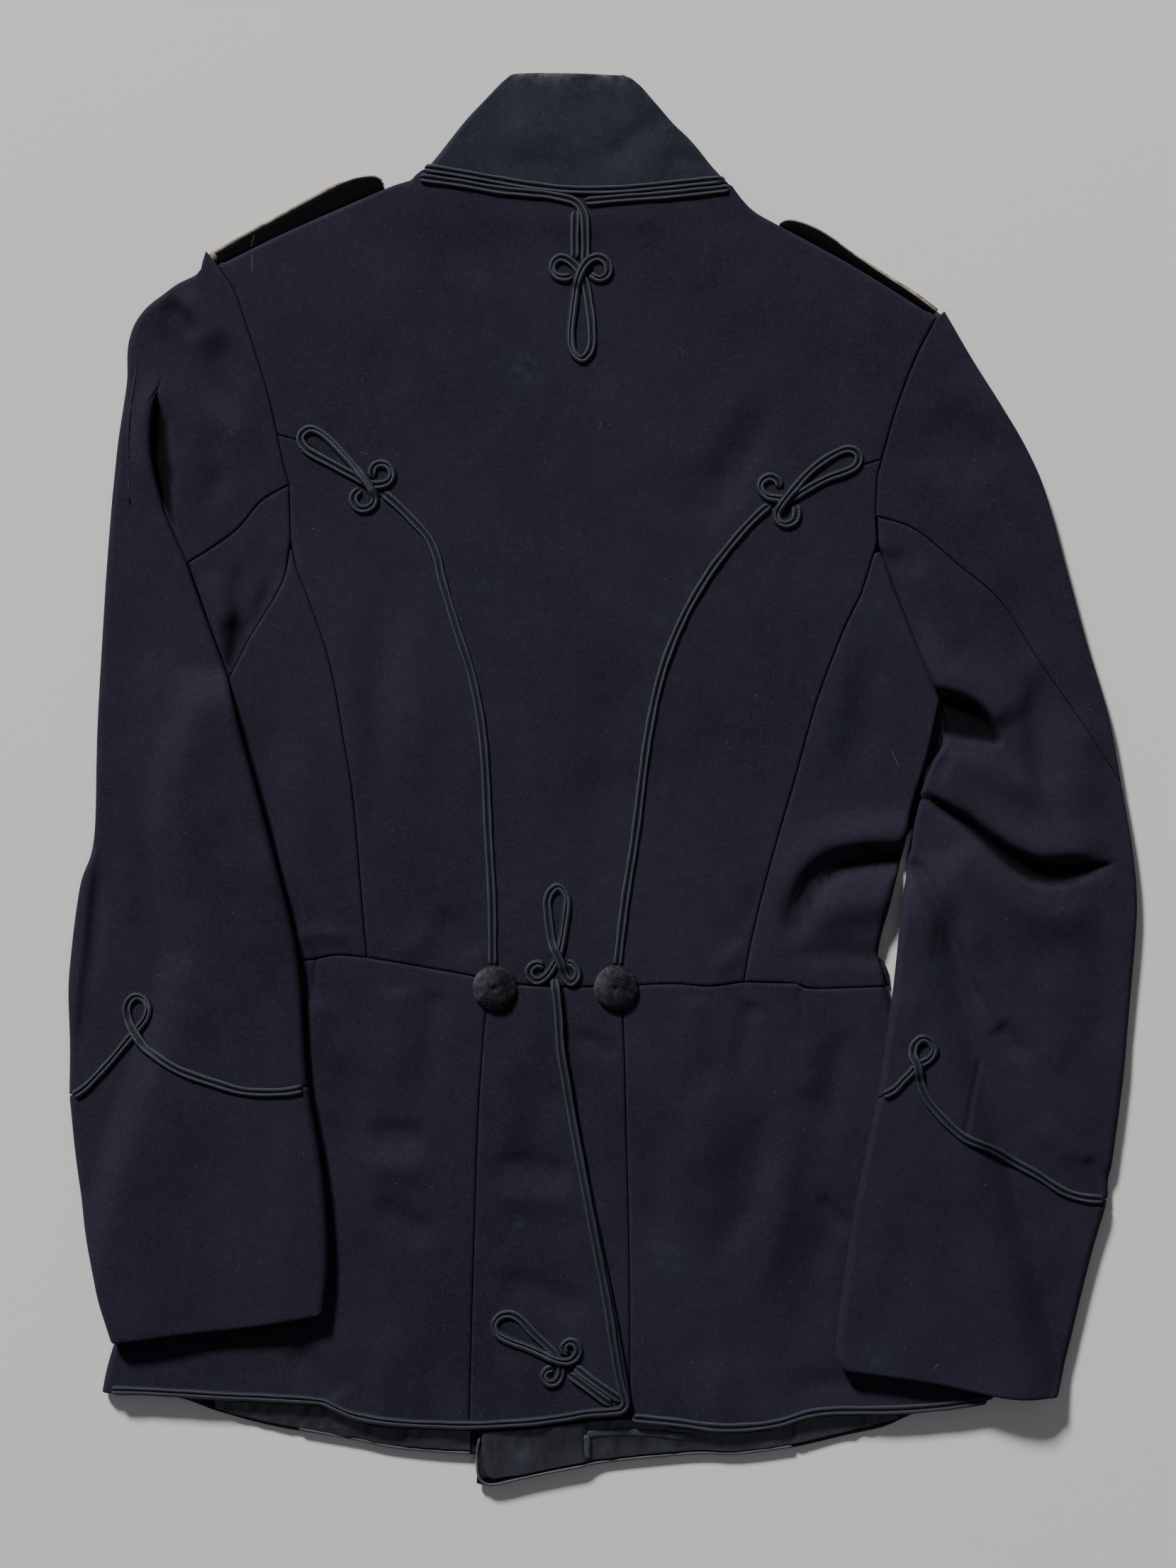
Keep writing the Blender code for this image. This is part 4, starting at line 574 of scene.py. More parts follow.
RIGHT_CUFF_CREASES = [
    Crease([(1250, 1620), (1236, 1740), (1226, 1880)], 11.0, 1.2),
    Crease([(1360, 1660), (1350, 1780), (1360, 1940)], 18.0, -1.1, 1.0, (0.3, 0.0)),
    Crease([(1460, 1720), (1440, 1830), (1430, 1950)], 15.0, 0.9, 1.0, (0.3, 0.0)),
]
LEFT_SLEEVE_CREASES = [
    Crease([(232, 408), (262, 428), (296, 470), (312, 510)], 8.0, 3.0, 1.0),
    Crease([(226, 424), (252, 444), (280, 484)], 6.0, -2.6, 1.0),
    Crease([(196, 440), (240, 480), (290, 540), (350, 600)], 8.0, -3.0, 1.0),
    Crease([(226, 520), (204, 600), (204, 660), (226, 730)], 7.0, 1.8, 1.0, (0.3, 0.4)),
    Crease([(135, 1180), (127, 1240), (117, 1340), (108, 1410), (106, 1485)], 2.6, 1.2, 1.6,
            (0.3, 0.2)),
    Crease([(150, 1190), (140, 1260), (132, 1340), (124, 1420)], 4.0, -1.5, 1.4),
    Crease([(173, 1200), (180, 1250), (188, 1310)], 5.0, 0.9),
    Crease([(215, 900), (250, 1000), (270, 1120)], 14.0, 1.2),
    Crease([(180, 820), (195, 960), (205, 1100)], 12.0, -1.2),
    Crease([(300, 1120), (322, 1230), (340, 1340)], 12.0, -1.2),
    Crease([(360, 1180), (380, 1290), (396, 1400)], 9.0, 1.0),
    Crease([(240, 1330), (270, 1400), (290, 1480)], 12.0, 0.9),
    Crease([(330, 640), (300, 700), (290, 760)], 7.0, -1.0),
    Crease([(345, 520), (340, 590), (350, 650)], 8.0, 0.9),
]
HEAD_CREASES = [
    Crease([(300, 590), (300, 650), (312, 720)], 7.0, -1.2),
]
ARMPIT_CREASES = [
    Crease([(330, 790), (338, 850), (338, 905)], 5.0, -1.6, 1.0, (0.3, 0.2)),
    Crease([(296, 800), (310, 850), (322, 900)], 6.0, 1.2),
    Crease([(402, 770), (388, 822), (346, 896), (320, 950)], 5.0, -1.6, 1.0, (0.2, 0.0)),
]
LEFT_CUFF_CREASES = [
    Crease([(170, 1540), (190, 1680), (210, 1860)], 14.0, 1.0, 1.0, (0.3, 0.0)),
    Crease([(290, 1570), (300, 1700), (306, 1860)], 16.0, -1.0, 1.0, (0.3, 0.0)),
    Crease([(400, 1560), (410, 1690), (404, 1850)], 10.0, 0.9, 1.0, (0.3, 0.0)),
]
# Outlines where the cloth dives into a fold; inside them the colour also gets painted shade.
HEAD_HOLLOWS = [
    Hollow([(219, 546), (211, 600), (206, 640), (213, 668), (228, 710), (247, 752), (243, 703),
            (243, 666), (241, 633), (237, 601), (229, 573)], 4.6),
]
ARMPIT_HOLLOWS = [
    Hollow([(334, 846), (354, 882), (346, 905), (330, 950), (312, 944), (302, 905),
            (304, 880)], 1.5, 9.0),
]
RIGHT_SLEEVE_HOLLOWS = [
    Hollow([(1300, 968), (1333, 976), (1357, 983), (1381, 993), (1400, 1012), (1414, 1036),
            (1416, 1048), (1405, 1053), (1371, 1047), (1342, 1041), (1300, 1032)], 5.0, 3.4),
    Hollow([(1304, 1111), (1342, 1134), (1371, 1153), (1400, 1177), (1428, 1196), (1457, 1211),
            (1486, 1219), (1524, 1219), (1580, 1213), (1538, 1237), (1510, 1248), (1481, 1251),
            (1452, 1245), (1428, 1231), (1405, 1212), (1381, 1188), (1352, 1164),
            (1323, 1140)], 3.6, 3.0),
]
BODY_HOLLOWS = [
    Hollow([(1116, 1322), (1128, 1282), (1146, 1244), (1174, 1214), (1215, 1201), (1292, 1192),
            (1292, 1222), (1228, 1228), (1188, 1236), (1162, 1252), (1142, 1286),
            (1122, 1324)], 1.6, 6.0),
]
COLLAR_CREASES = [
    Crease([(845, 236), (880, 205), (918, 176), (950, 150)], 6.0, -1.2, 1.5),
    Crease([(925, 228), (965, 226), (1012, 236)], 5.0, -0.8),
    Crease([(700, 170), (790, 186), (870, 176)], 16.0, 0.7),
    Crease([(660, 215), (740, 232), (820, 236)], 8.0, -0.6),
]
FRONT_CREASES = [
    Crease([(450, 500), (520, 800), (500, 1150)], 26.0, 1.2),
    Crease([(640, 420), (690, 700), (680, 1000)], 22.0, -0.9),
    Crease([(1150, 520), (1120, 800), (1130, 1150)], 24.0, 1.2),
    Crease([(960, 420), (930, 760), (950, 1050)], 22.0, -0.9),
    Crease([(300, 1500), (420, 1700), (430, 1900)], 20.0, 1.1),
    Crease([(1250, 1500), (1180, 1700), (1190, 1900)], 20.0, 1.1),
]


# Stretches down the view where the body and a sleeve come apart and meet again.
OPEN_LEFT: Stretch = (1000.0, 1040.0)
OPEN_RIGHT: Stretch = (1165.0, 1205.0)
CLOSED_RIGHT: Stretch = (1345.0, 1365.0)
# Share of a half turn that a fold keeps above its start.
LEAST_TURN = 0.03


class Side(Enum):
    """A panel's sides: the axis across each, and the numbers of its line and of the next one in."""

    LEFT = (1, 0, 1)
    RIGHT = (1, -1, -2)
    TOP = (0, 0, 1)
    BOTTOM = (0, -1, -2)


@dataclass(frozen=True)
class Fold:
    """A side that goes round a fold: the share of a half turn, and the height that it ends at."""

    share: Level
    low: Level


def everywhere(value: float) -> Level:
    """A level that is the same at every position."""
    return lambda plan: np.full(plan.shape[:-1], value)


def below(start: float, end: float) -> Level:
    """A share that eases from LEAST_TURN above start down the view to 1 below end."""
    return lambda plan: LEAST_TURN + (1 - LEAST_TURN) * ease(down_view(plan), start, end)


class Layers:
    """Heights in mm that the cloth's layers reach over the floor.

    Stretches named down are in the view, and those named away are mm from the armhole.
    """

    collar_down: Stretch = (100.0, 240.0)
    armpit_down: Stretch = (640.0, 760.0)
    armpit_low_down: Stretch = (690.0, 800.0)
    armpit_sunk_down: Stretch = (830.0, 900.0)
    armpit_away: Stretch = (2.0, 34.0)
    armpit_low_away: Stretch = (2.0, 16.0)
    flap_slack: Stretch = (-4.0, 6.0)
    collar_evenness: float = 0.7
    body_fold_rise: float = 0.8
    front_rise: float = 0.25
    # Sizes and heights of the unevenness of laid cloth, mm.
    waves: tuple[Stretch, ...] = ((62.0, 0.42), (23.0, 0.2), (8.5, 0.06))

    def __init__(self) -> None:
        """Takes the body's outline that the sleeves climb on to."""
        self.edges = {
            -1: line_of("body_edge_left", "skirt_edge_left"),
            1: line_of("body_edge_right", "skirt_edge_right"),
        }
        self.armhole = line_of("armhole_left", "armhole_left_low")
        self.vent = line_of("vent_edge")
        self.front_line = line_of("front_edge_left", "skirt_front_edge_left")
        self.front_line_over = line_of("front_edge_right", "skirt_front_edge_right")

    def climb(self, plan: Plan, side: int) -> np.ndarray:
        """Share of the body's height that a sleeve has climbed: 1 over the body, 0 beside it."""
        start, end = CLIMB_LEFT if side < 0 else CLIMB_RIGHT
        near = 1 - ease(beyond(plan, self.edges[side], side), CLIMB_NEAR, CLIMB_FAR)
        return near * ease(down_view(plan), start, end)

    def body(self, plan: Plan) -> np.ndarray:
        """Back and side bodies: the pile's height, with the body's creases and a slow unevenness."""
        return TOP_LEVEL + creased(plan, BODY_CREASES) + self.uneven(plan, 3)

    def skirt(self, plan: Plan) -> np.ndarray:
        """Skirts below the waist seam, with their own creases."""
        return TOP_LEVEL + creased(plan, SKIRT_CREASES) + self.uneven(plan, 5)

    def uneven(self, plan: Plan, seed: int) -> np.ndarray:
        """Slow unevenness of laid cloth at three sizes."""
        total = np.zeros(plan.shape[:-1])
        for number, (size, height) in enumerate(self.waves):
            total = total + undulation(plan, seed + number, size, height)
        return total

    def underlap(self, plan: Plan) -> np.ndarray:
        """Right back skirt beneath the vent's flap."""
        return UNDERLAP_LEVEL + creased(plan, UNDERLAP_CREASES) + self.uneven(plan, 5)

    def flap(self, plan: Plan) -> np.ndarray:
        """Left back skirt, which steps up on to the underlap along the vent."""
        inside = -beyond(plan, self.vent, 1)
        start = UNDERLAP_WIDTH + RAMP_START + self.flap_slack[0]
        end = UNDERLAP_WIDTH + RAMP_END + self.flap_slack[1]
        top = FLAP_LEVEL - (FLAP_LEVEL - TOP_LEVEL) * ease(inside, start, end)
        return top + creased(plan, FLAP_CREASES) + self.uneven(plan, 5)

    def collar(self, plan: Plan) -> np.ndarray:
        """Stand collar folded flat, thinner towards its top edge."""
        taper = COLLAR_TAPER * (1 - ease(down_view(plan), *self.collar_down))
        uneven = self.uneven(plan, 9) * self.collar_evenness
        return TOP_LEVEL - taper + creased(plan, COLLAR_CREASES) + uneven

    def climbed(self, plan: Plan, side: int) -> np.ndarray:
        """A sleeve's top, a little slack where it climbs on to the body."""
        climbed = self.climb(plan, side)
        return TOP_LEVEL + OVER_BODY * climbed + CLIMB_SLACK * 4 * climbed * (1 - climbed)

    def left_sleeve(self, plan: Plan) -> np.ndarray:
        """Top of the left sleeve, with the creases at its head."""
        return self.climbed(plan, -1) + creased(plan, LEFT_SLEEVE_CREASES) + self.uneven(plan, 12)

    def right_sleeve(self, plan: Plan) -> np.ndarray:
        """Top of the right sleeve, with the elbow's folds."""
        creases = creased(plan, RIGHT_SLEEVE_CREASES, SLEEVE_DEEPEST)
        return self.climbed(plan, 1) + creases + self.uneven(plan, 15)

    def left_cuff(self, plan: Plan) -> np.ndarray:
        """Top of the left cuff, proud of its sleeve."""
        return self.left_sleeve(plan) + CUFF_PROUD + creased(plan, LEFT_CUFF_CREASES)

    def right_cuff(self, plan: Plan) -> np.ndarray:
        """Top of the right cuff, proud of its sleeve."""
        return self.right_sleeve(plan) + CUFF_PROUD + creased(plan, RIGHT_CUFF_CREASES)

    def armpit(self, plan: Plan) -> np.ndarray:
        """The hind part of the left sleeve's head sinks from the armhole to under the fold."""
        away = -beyond(plan, self.armhole, 1)
        down = down_view(plan)
        sunk = ease(away, *self.armpit_away) * ease(down, *self.armpit_down)
        sunk = np.maximum(sunk, ease(down, *self.armpit_low_down) * ease(away, *self.armpit_low_away))
        sunk = np.maximum(sunk, ease(down, *self.armpit_sunk_down))
        top = TOP_LEVEL + (creased(plan, LEFT_SLEEVE_CREASES) + self.uneven(plan, 12)) * (1 - sunk)
        top = top - (TOP_LEVEL - ARMPIT_LEVEL) * sunk + undulation(plan, 21, 18.0, 0.35) * sunk
        top = top + creased(plan, HEAD_CREASES, SLEEVE_DEEPEST)
        return top + creased(plan, ARMPIT_CREASES, ARMPIT_DEEPEST)

    def beneath_body(self, plan: Plan) -> np.ndarray:
        """Height that the body's side folds end at: the fronts beside a sleeve, then the floor."""
        opened = np.where(plan[..., 0] < 0, ease(down_view(plan), *OPEN_LEFT), self.gap_right(plan))
        return (FLOOR_TOP + self.body_fold_rise + LAYER_GAP) * (1 - opened)

    @staticmethod
    def gap_right(plan: Plan) -> np.ndarray:
        """1 along the stretch where the floor shows between the body and the right sleeve."""
        return ease(down_view(plan), *OPEN_RIGHT) * (1 - ease(down_view(plan), *CLOSED_RIGHT))

    def under_sleeve(self, side: int) -> Level:
        """Top of a sleeve's underside, on the floor or on the body.

        Args:
            side: -1 for the left sleeve, 1 for the right one.

        Returns:
            The level that follows the sleeve's climb.
        """
        return lambda plan: FLOOR_TOP + OVER_BODY * self.climb(plan, side)

    def beneath_sleeve(self, side: int, start: float, end: float) -> Level:
        """Height that a sleeve's fold ends at: on its underside above start, beneath it below end."""

        def level(plan: Plan) -> np.ndarray:
            """Bottom of the underside's cloth, raised by its wall where a piece lies beside it."""
            raised = (FLOOR_TOP + LAYER_GAP) * (1 - ease(down_view(plan), start, end))
            return OVER_BODY * self.climb(plan, side) + raised

        return level

    def front(self, plan: Plan) -> np.ndarray:
        """Left front on the floor, lifted a little by its own soft creases."""
        return FLOOR_TOP + self._lifted(plan)

    def over_left_front(self, plan: Plan) -> np.ndarray:
        """Right front, which steps up on to the left front's edge."""
        past = beyond(plan, self.front_line, 1)
        return FLOOR_TOP + self._lifted(plan) + LOW_EDGE * (1 - ease(past, RAMP_START, RAMP_END))

    def pile(self, plan: Plan) -> np.ndarray:
        """Top of what the body and the skirts lie on: the left front, then the right one over it."""
        over = beyond(plan, self.front_line_over, 1) > 0
        return np.where(over, self.over_left_front(plan), self.front(plan))

    def _lifted(self, plan: Plan) -> np.ndarray:
        """Rise over the floor, never below it: the fronts' ridges and a slow unevenness."""
        ridges = np.maximum(creased(plan, FRONT_CREASES), 0.0)
        return ridges + self.front_rise + undulation(plan, 31, 45.0, self.front_rise)


# Grid lines near a panel's sides, mm from the side.
NEAR_SIDE = np.array([0.0, 0.3, 0.7, 1.2, 1.9, 2.8, 4.0])
# Rows of faces round a fold.
FOLD_STEPS = 12
# Least gap over the layer beneath, least wall, and reach of wear at a rim and at a top edge, mm.
LEAST_GAP = 0.05
LEAST_WALL = 0.5
RIM_REACH = 1.6
WORN_REACH = 3.0
# Stands in for a length of zero.
TINY = 1e-9


def graded(length: float, step: float) -> np.ndarray:
    """Shares 0 to 1 of a length, close together near both ends and a step apart between.

    Args:
        length: mm.
        step: distance between grid lines away from the ends, mm.

    Returns:
        Rising shares from 0 to 1.
    """
    near = NEAR_SIDE[NEAR_SIDE < length / 4]
    inner = max(2, round((length - 2 * near[-1]) / step))
    middle = np.linspace(near[-1], length - near[-1], inner + 1)
    return np.concatenate([near[:-1], middle, (length - near[:-1])[::-1]]) / length


def patch(left: Plan, right: Plan, top: Plan, bottom: Plan, step: float) -> Plan:
    """Plan positions that fill four seam lines, in rows from top to bottom.

    Each position is the blend of its row's two sides plus the blend of its column's two ends,
    less the blend of the four corners.

    Args:
        left, right: lines from the top to the bottom.
        top, bottom: lines from the left to the right.
        step: distance between grid lines, mm.

    Returns:
        Grid of (x, y), rows by columns.
    """
    v = graded((lengths(left)[-1] + lengths(right)[-1]) / 2, step)
    u = graded((lengths(top)[-1] + lengths(bottom)[-1]) / 2, step)
    left, right = at_shares(left, v), at_shares(right, v)
    top, bottom = at_shares(top, u), at_shares(bottom, u)
    v, u = v[:, None, None], u[None, :, None]
    sides = (1 - u) * left[:, None] + u * right[:, None]
    ends = (1 - v) * top[None] + v * bottom[None]
    corners = (1 - v) * ((1 - u) * top[0] + u * top[-1]) + v * ((1 - u) * bottom[0] + u * bottom[-1])
    return sides + ends - corners


def run_along(grid: np.ndarray, axis: int) -> np.ndarray:
    """Distance from a grid's first line to each point, along the given axis."""
    steps = np.linalg.norm(np.diff(grid, axis=axis), axis=-1)
    start = np.zeros_like(np.take(steps, [0], axis=axis))
    return np.concatenate([start, np.cumsum(steps, axis=axis)], axis=axis)


def direction(grid: np.ndarray, axis: int) -> np.ndarray:
    """Unit direction along one axis of a grid at each point."""
    slope = np.gradient(grid, axis=axis)
    return slope / np.maximum(np.linalg.norm(slope, axis=-1, keepdims=True), TINY)


def ring_of(rows: int, columns: int) -> tuple[np.ndarray, np.ndarray]:
    """Row and column numbers round a grid's border, in order."""
    down, across = np.arange(rows - 1), np.arange(columns - 1)
    start_row, end_row = np.zeros(columns - 1, int), np.full(columns - 1, rows - 1)
    start_column, end_column = np.zeros(rows - 1, int), np.full(rows - 1, columns - 1)
    r = np.concatenate([start_row, down, end_row, down[::-1] + 1])
    c = np.concatenate([across, end_column, across[::-1] + 1, start_column])
    return r, c


def quads_of(number: np.ndarray) -> np.ndarray:
    """Four-cornered faces between neighbouring points of a grid of point numbers."""
    a, b, c, d = number[:-1, :-1], number[1:, :-1], number[1:, 1:], number[:-1, 1:]
    return np.stack([a, b, c, d], -1).reshape(-1, 4)


def mesh_object(name: str, points: np.ndarray, quads: np.ndarray, uv: np.ndarray | None = None,
                marks: dict[str, np.ndarray] | None = None) -> bpy.types.Object:
    """Smooth-shaded object at the origin from points in mm and four-cornered faces.

    Args:
        name: the piece's name.
        points: one row of (x, y, z) a point, mm.
        quads: one row of four point numbers a face.
        uv: one (u, v) a face corner, or None.
        marks: one number a point for each named attribute.

    Returns:
        The object, linked to the scene, its faces outwards.
    """
    corner = points[quads]
    cross = np.cross(corner[:, 2] - corner[:, 0], corner[:, 3] - corner[:, 1])
    if np.sum(cross * corner.mean(axis=1)) < 0:
        quads = quads[:, ::-1]
        uv = None if uv is None else uv.reshape(-1, 4, 2)[:, ::-1].reshape(-1, 2)
    mesh = bpy.data.meshes.new(name)
    mesh.vertices.add(len(points))
    mesh.vertices.foreach_set("co", (points * MM).astype(np.float32).ravel())
    mesh.loops.add(quads.size)
    mesh.loops.foreach_set("vertex_index", quads.astype(np.int32).ravel())
    mesh.polygons.add(len(quads))
    mesh.polygons.foreach_set("loop_start", np.arange(0, quads.size, 4, dtype=np.int32))
    mesh.polygons.foreach_set("use_smooth", np.ones(len(quads), bool))
    mesh.update(calc_edges=True)
    if uv is not None:
        mesh.uv_layers.new(name="UVMap").data.foreach_set("uv", uv.astype(np.float32).ravel())
    for label, values in (marks or {}).items():
        made = mesh.attributes.new(label, "FLOAT", "POINT")
        made.data.foreach_set("value", values.astype(np.float32).ravel())
    mesh.validate()
    item = bpy.data.objects.new(name, mesh)
    bpy.context.scene.collection.objects.link(item)
    return item


def walled(outer: np.ndarray, inner: np.ndarray) -> tuple[np.ndarray, np.ndarray]:
    """Points and faces of the closed wall between two matching grids."""
    rows, columns = outer.shape[:2]
    number = np.arange(rows * columns).reshape(rows, columns)
    r, c = ring_of(rows, columns)
    ring = number[r, c]
    following = np.roll(ring, -1)
    size = rows * columns
    rim = np.column_stack([following, ring, ring + size, following + size])
    faces = np.concatenate([quads_of(number), quads_of(number)[:, ::-1] + size, rim[:, ::-1]])
    return np.concatenate([outer.reshape(-1, 3), inner.reshape(-1, 3)]), faces


# Faint stains: (across, down, reach in mm, strength).
STAINS = [
    (739, 520, 9.0, 0.5), (680, 830, 3.0, 0.5), (929, 874, 3.5, 0.45), (1045, 1018, 3.0, 0.45),
    (1189, 1029, 4.0, 0.35), (1228, 863, 5.0, 0.4), (940, 1781, 6.0, 0.4), (730, 1725, 4.0, 0.4),
    (1233, 1913, 6.0, 0.45), (1311, 1371, 4.0, 0.35),
]


def stained(plan: Plan) -> np.ndarray:
    """Strength of the stains, which is the largest of strength * exp(-(distance / reach)^2)."""
    rows = np.asarray(STAINS, float)
    away = np.linalg.norm(plan[:, None] - placed(rows[:, :2]), axis=2)
    return np.max(rows[:, 3] * np.exp(-((away / rows[:, 2]) ** 2)), axis=1)


@dataclass
class Panel:
    """One cut piece of cloth: a wall between four seam lines, rounded at its edges.

    Insets draw a side in, folds turn it under, and where it is joined the cloth runs on. Build
    fills in the outside without its folds, the area and the size, which is (across, down).
    """

    name: str
    left: Plan
    right: Plan
    top: Plan
    bottom: Plan
    level: Level
    wall: float = TOP_WALL
    step: float = 2.1
    folds: dict[Side, Fold] = field(default_factory=dict)
    insets: dict[Side, Level] = field(default_factory=dict)
    rounding: float = 2.0
    fall: float = 1.1
    lies_on: tuple[str, ...] = ()
    above: Level | None = None
    joined: dict[Side, Level] = field(default_factory=dict)
    hollows: list[Hollow] = field(default_factory=list)
    level_run: float = 0.0
    outer: np.ndarray | None = None
    area: float = 0.0
    size: tuple[float, float] = (0.0, 0.0)

    def build(self) -> bpy.types.Object:
        """Makes the panel's wall.

        Returns:
            The object, with point attributes rim, near a side, worn, near its top edge, stain,
            and hollow, the share of painted shade inside a fold's mouth.
        """
        plan = self._drawn_in(patch(self.left, self.right, self.top, self.bottom, self.step))
        height, sunk = self._heights(plan)
        beneath = self.above(plan) + LEAST_GAP if self.above else np.zeros(height.shape)
        inner = np.dstack([plan, np.maximum(np.maximum(height - self.wall, beneath), 0.0)])
        height = height - self._edge_fall(plan)
        outer = np.dstack([plan, np.maximum(height, inner[..., 2] + LEAST_WALL)])
        rim = self._nearness(plan)
        worn = np.exp(-run_along(plan, 0) / WORN_REACH)
        self.outer = outer
        for side, fold in self.folds.items():
            outer, inner, (rim, worn, sunk) = self._folded(outer, inner, (rim, worn, sunk), side, fold)
        points, faces = walled(outer, inner)
        self.area = self._area(outer)
        self.size = (float(run_along(outer, 1)[:, -1].max()), float(run_along(outer, 0)[-1].max()))
        marks = {
            "rim": np.tile(rim.ravel(), 2),
            "worn": np.tile(worn.ravel(), 2),
            "stain": stained(points[:, :2]),
            # The hollow mark is the share of painted shade inside a fold's mouth.
            "hollow": np.tile(sunk.ravel(), 2),
        }
        return mesh_object(self.name, points, faces, marks=marks)

    @staticmethod
    def _at_side(side: Side, level: Level, plan: Plan) -> np.ndarray:
        """A level along one side, as a grid of one line."""
        axis, index, _ = side.value
        return np.expand_dims(level(np.take(plan, index, axis=axis)), axis)

    def _heights(self, plan: Plan) -> tuple[np.ndarray, np.ndarray]:
        """Height of the cloth and the share that it is sunk, both level where it goes into a fold."""
        at = self._settled(plan)
        height, sunk = self.level(at), np.zeros(plan.shape[:-1])
        for hollow in self.hollows:
            share = hollow.share(at)
            height = height - hollow.depth * share
            sunk = np.maximum(sunk, share)
        return height, sunk

    def _settled(self, plan: Plan) -> Plan:
        """Positions moved in from each folded side by sqrt(d^2 + level_run^2) - d, d from the side."""
        distances = self._side_distances(plan)
        at = plan
        for side in self.folds:
            axis, index, _ = side.value
            inward = direction(plan, axis) * (1 if index == 0 else -1)
            distance = distances[side]
            moved = np.sqrt(distance**2 + self.level_run**2) - distance
            at = at + inward * moved[..., None]
        return at

    def _draw(self, side: Side, plan: Plan, height: np.ndarray) -> np.ndarray:
        """How far a side is drawn in: half a seam's gap, its inset, and a fold's reach sideways."""
        axis, index, _ = side.value
        at, height = (np.take(grid, index, axis=axis) for grid in (plan, height))
        drawn = np.full(at.shape[:-1], SEAM_GAP / 2)
        if side in self.insets:
            drawn = drawn + self.insets[side](at)
        if side in self.folds:
            fold = self.folds[side]
            radius = (height - fold.low(at)) / 2
            drawn = drawn + radius * np.sin(np.minimum(fold.share(at) * np.pi, np.pi / 2))
        if side in self.joined:
            drawn = drawn * (1 - self.joined[side](at))
        return np.expand_dims(drawn, axis)

    def _drawn_in(self, plan: Plan) -> Plan:
        """Moves points along their rows and columns, all of the way at a side and none at the other."""
        height, _ = self._heights(plan)
        for axis, first, last in ((1, Side.LEFT, Side.RIGHT), (0, Side.TOP, Side.BOTTOM)):
            along = run_along(plan, axis)
            share = along / np.take(along, [-1], axis=axis)
            start, end = self._draw(first, plan, height), self._draw(last, plan, height)
            plan = plan + direction(plan, axis) * (start * (1 - share) - end * share)[..., None]
        return plan

    def _side_distances(self, plan: Plan) -> dict[Side, np.ndarray]:
        """Distance to each side along the grid's rows and columns."""
        across, down = run_along(plan, 1), run_along(plan, 0)
        return {
            Side.LEFT: across,
            Side.RIGHT: across[:, -1:] - across,
            Side.TOP: down,
            Side.BOTTOM: down[-1:] - down,
        }

    def _nearness(self, plan: Plan) -> np.ndarray:
        """Nearness to an open side or a seam: exp(-distance / RIM_REACH), none at a fold."""
        nearest = np.zeros(plan.shape[:-1])
        for side, distance in self._side_distances(plan).items():
            near = np.exp(-distance / RIM_REACH)
            if side in self.folds:
                near = near * (1 - self._at_side(side, self.folds[side].share, plan))
            near = near * self._apart(side, plan)
            nearest = np.maximum(nearest, near)
        return nearest

    def _apart(self, side: Side, plan: Plan) -> np.ndarray | float:
        """1 where a side stands apart from its neighbour, 0 where the cloth runs on."""
        if side not in self.joined:
            return 1.0
        return 1 - self._at_side(side, self.joined[side], plan)

    def _edge_fall(self, plan: Plan) -> np.ndarray:
        """Fall of the cloth to a seam or an edge: fall * (1 - sqrt(1 - (1 - d / rounding)^2))."""
        total = np.zeros(plan.shape[:-1])
        for side, distance in self._side_distances(plan).items():
            inside = np.clip(1 - distance / self.rounding, 0.0, 1.0)
            share = self.fall * (1 - np.sqrt(np.maximum(1 - inside**2, 0.0)))
            if side in self.folds:
                turned = self._at_side(side, self.folds[side].share, plan)
                share = share * (1 - ease(turned, 0.0, 0.5))
            share = share * self._apart(side, plan)
            total = np.maximum(total, share)
        return total

    def _folded(self, outer: np.ndarray, inner: np.ndarray, marks: tuple[np.ndarray, ...], side: Side,
                fold: Fold) -> tuple[np.ndarray, np.ndarray, list[np.ndarray]]:
        """Adds the strip that goes round a fold.

        At the turn t from 0 to share * pi the strip is radius * sin(t) past the side and
        radius * (1 - cos(t)) below it; its inside turns about the same middle, a wall nearer.

        Returns:
            The outer and inner grids and the marks, grown by the strip.
        """
        axis, index, neighbour = side.value
        line, beside = np.take(outer, index, axis=axis), np.take(outer, neighbour, axis=axis)
        inward = beside[:, :2] - line[:, :2]
        inward = inward / np.maximum(np.linalg.norm(inward, axis=1, keepdims=True), TINY)
        radius = (line[:, 2] - fold.low(line[:, :2])) / 2
        turns = fold.share(line[:, :2])[:, None] * np.pi * np.linspace(0.0, 1.0, FOLD_STEPS + 1)[1:]
        strips = []
        for back in (0.0, self.wall):
            reach = (radius - back)[:, None]
            flat = line[:, None, :2] - inward[:, None] * (reach * np.sin(turns))[..., None]
            height = (line[:, 2] - radius)[:, None] + reach * np.cos(turns)
            strips.append(np.concatenate([flat, height[..., None]], axis=-1))
        grown = []
        for grid, strip in zip((outer, inner), strips):
            strip = strip if axis == 1 else strip.transpose(1, 0, 2)
            strip = np.flip(strip, axis) if index == 0 else strip
            grown.append(np.concatenate([strip, grid] if index == 0 else [grid, strip], axis=axis))
        pad = [(0, 0), (0, 0)]
        pad[axis] = (FOLD_STEPS, 0) if index == 0 else (0, FOLD_STEPS)
        return grown[0], grown[1], [np.pad(mark, pad, mode="edge") for mark in marks]

    @staticmethod
    def _area(outer: np.ndarray) -> float:
        """Area of the outside in square mm: half the cross product of each face's diagonals."""
        a, b, c, d = outer[:-1, :-1], outer[1:, :-1], outer[1:, 1:], outer[:-1, 1:]
        return float(np.linalg.norm(np.cross(c - a, d - b), axis=-1).sum() / 2)


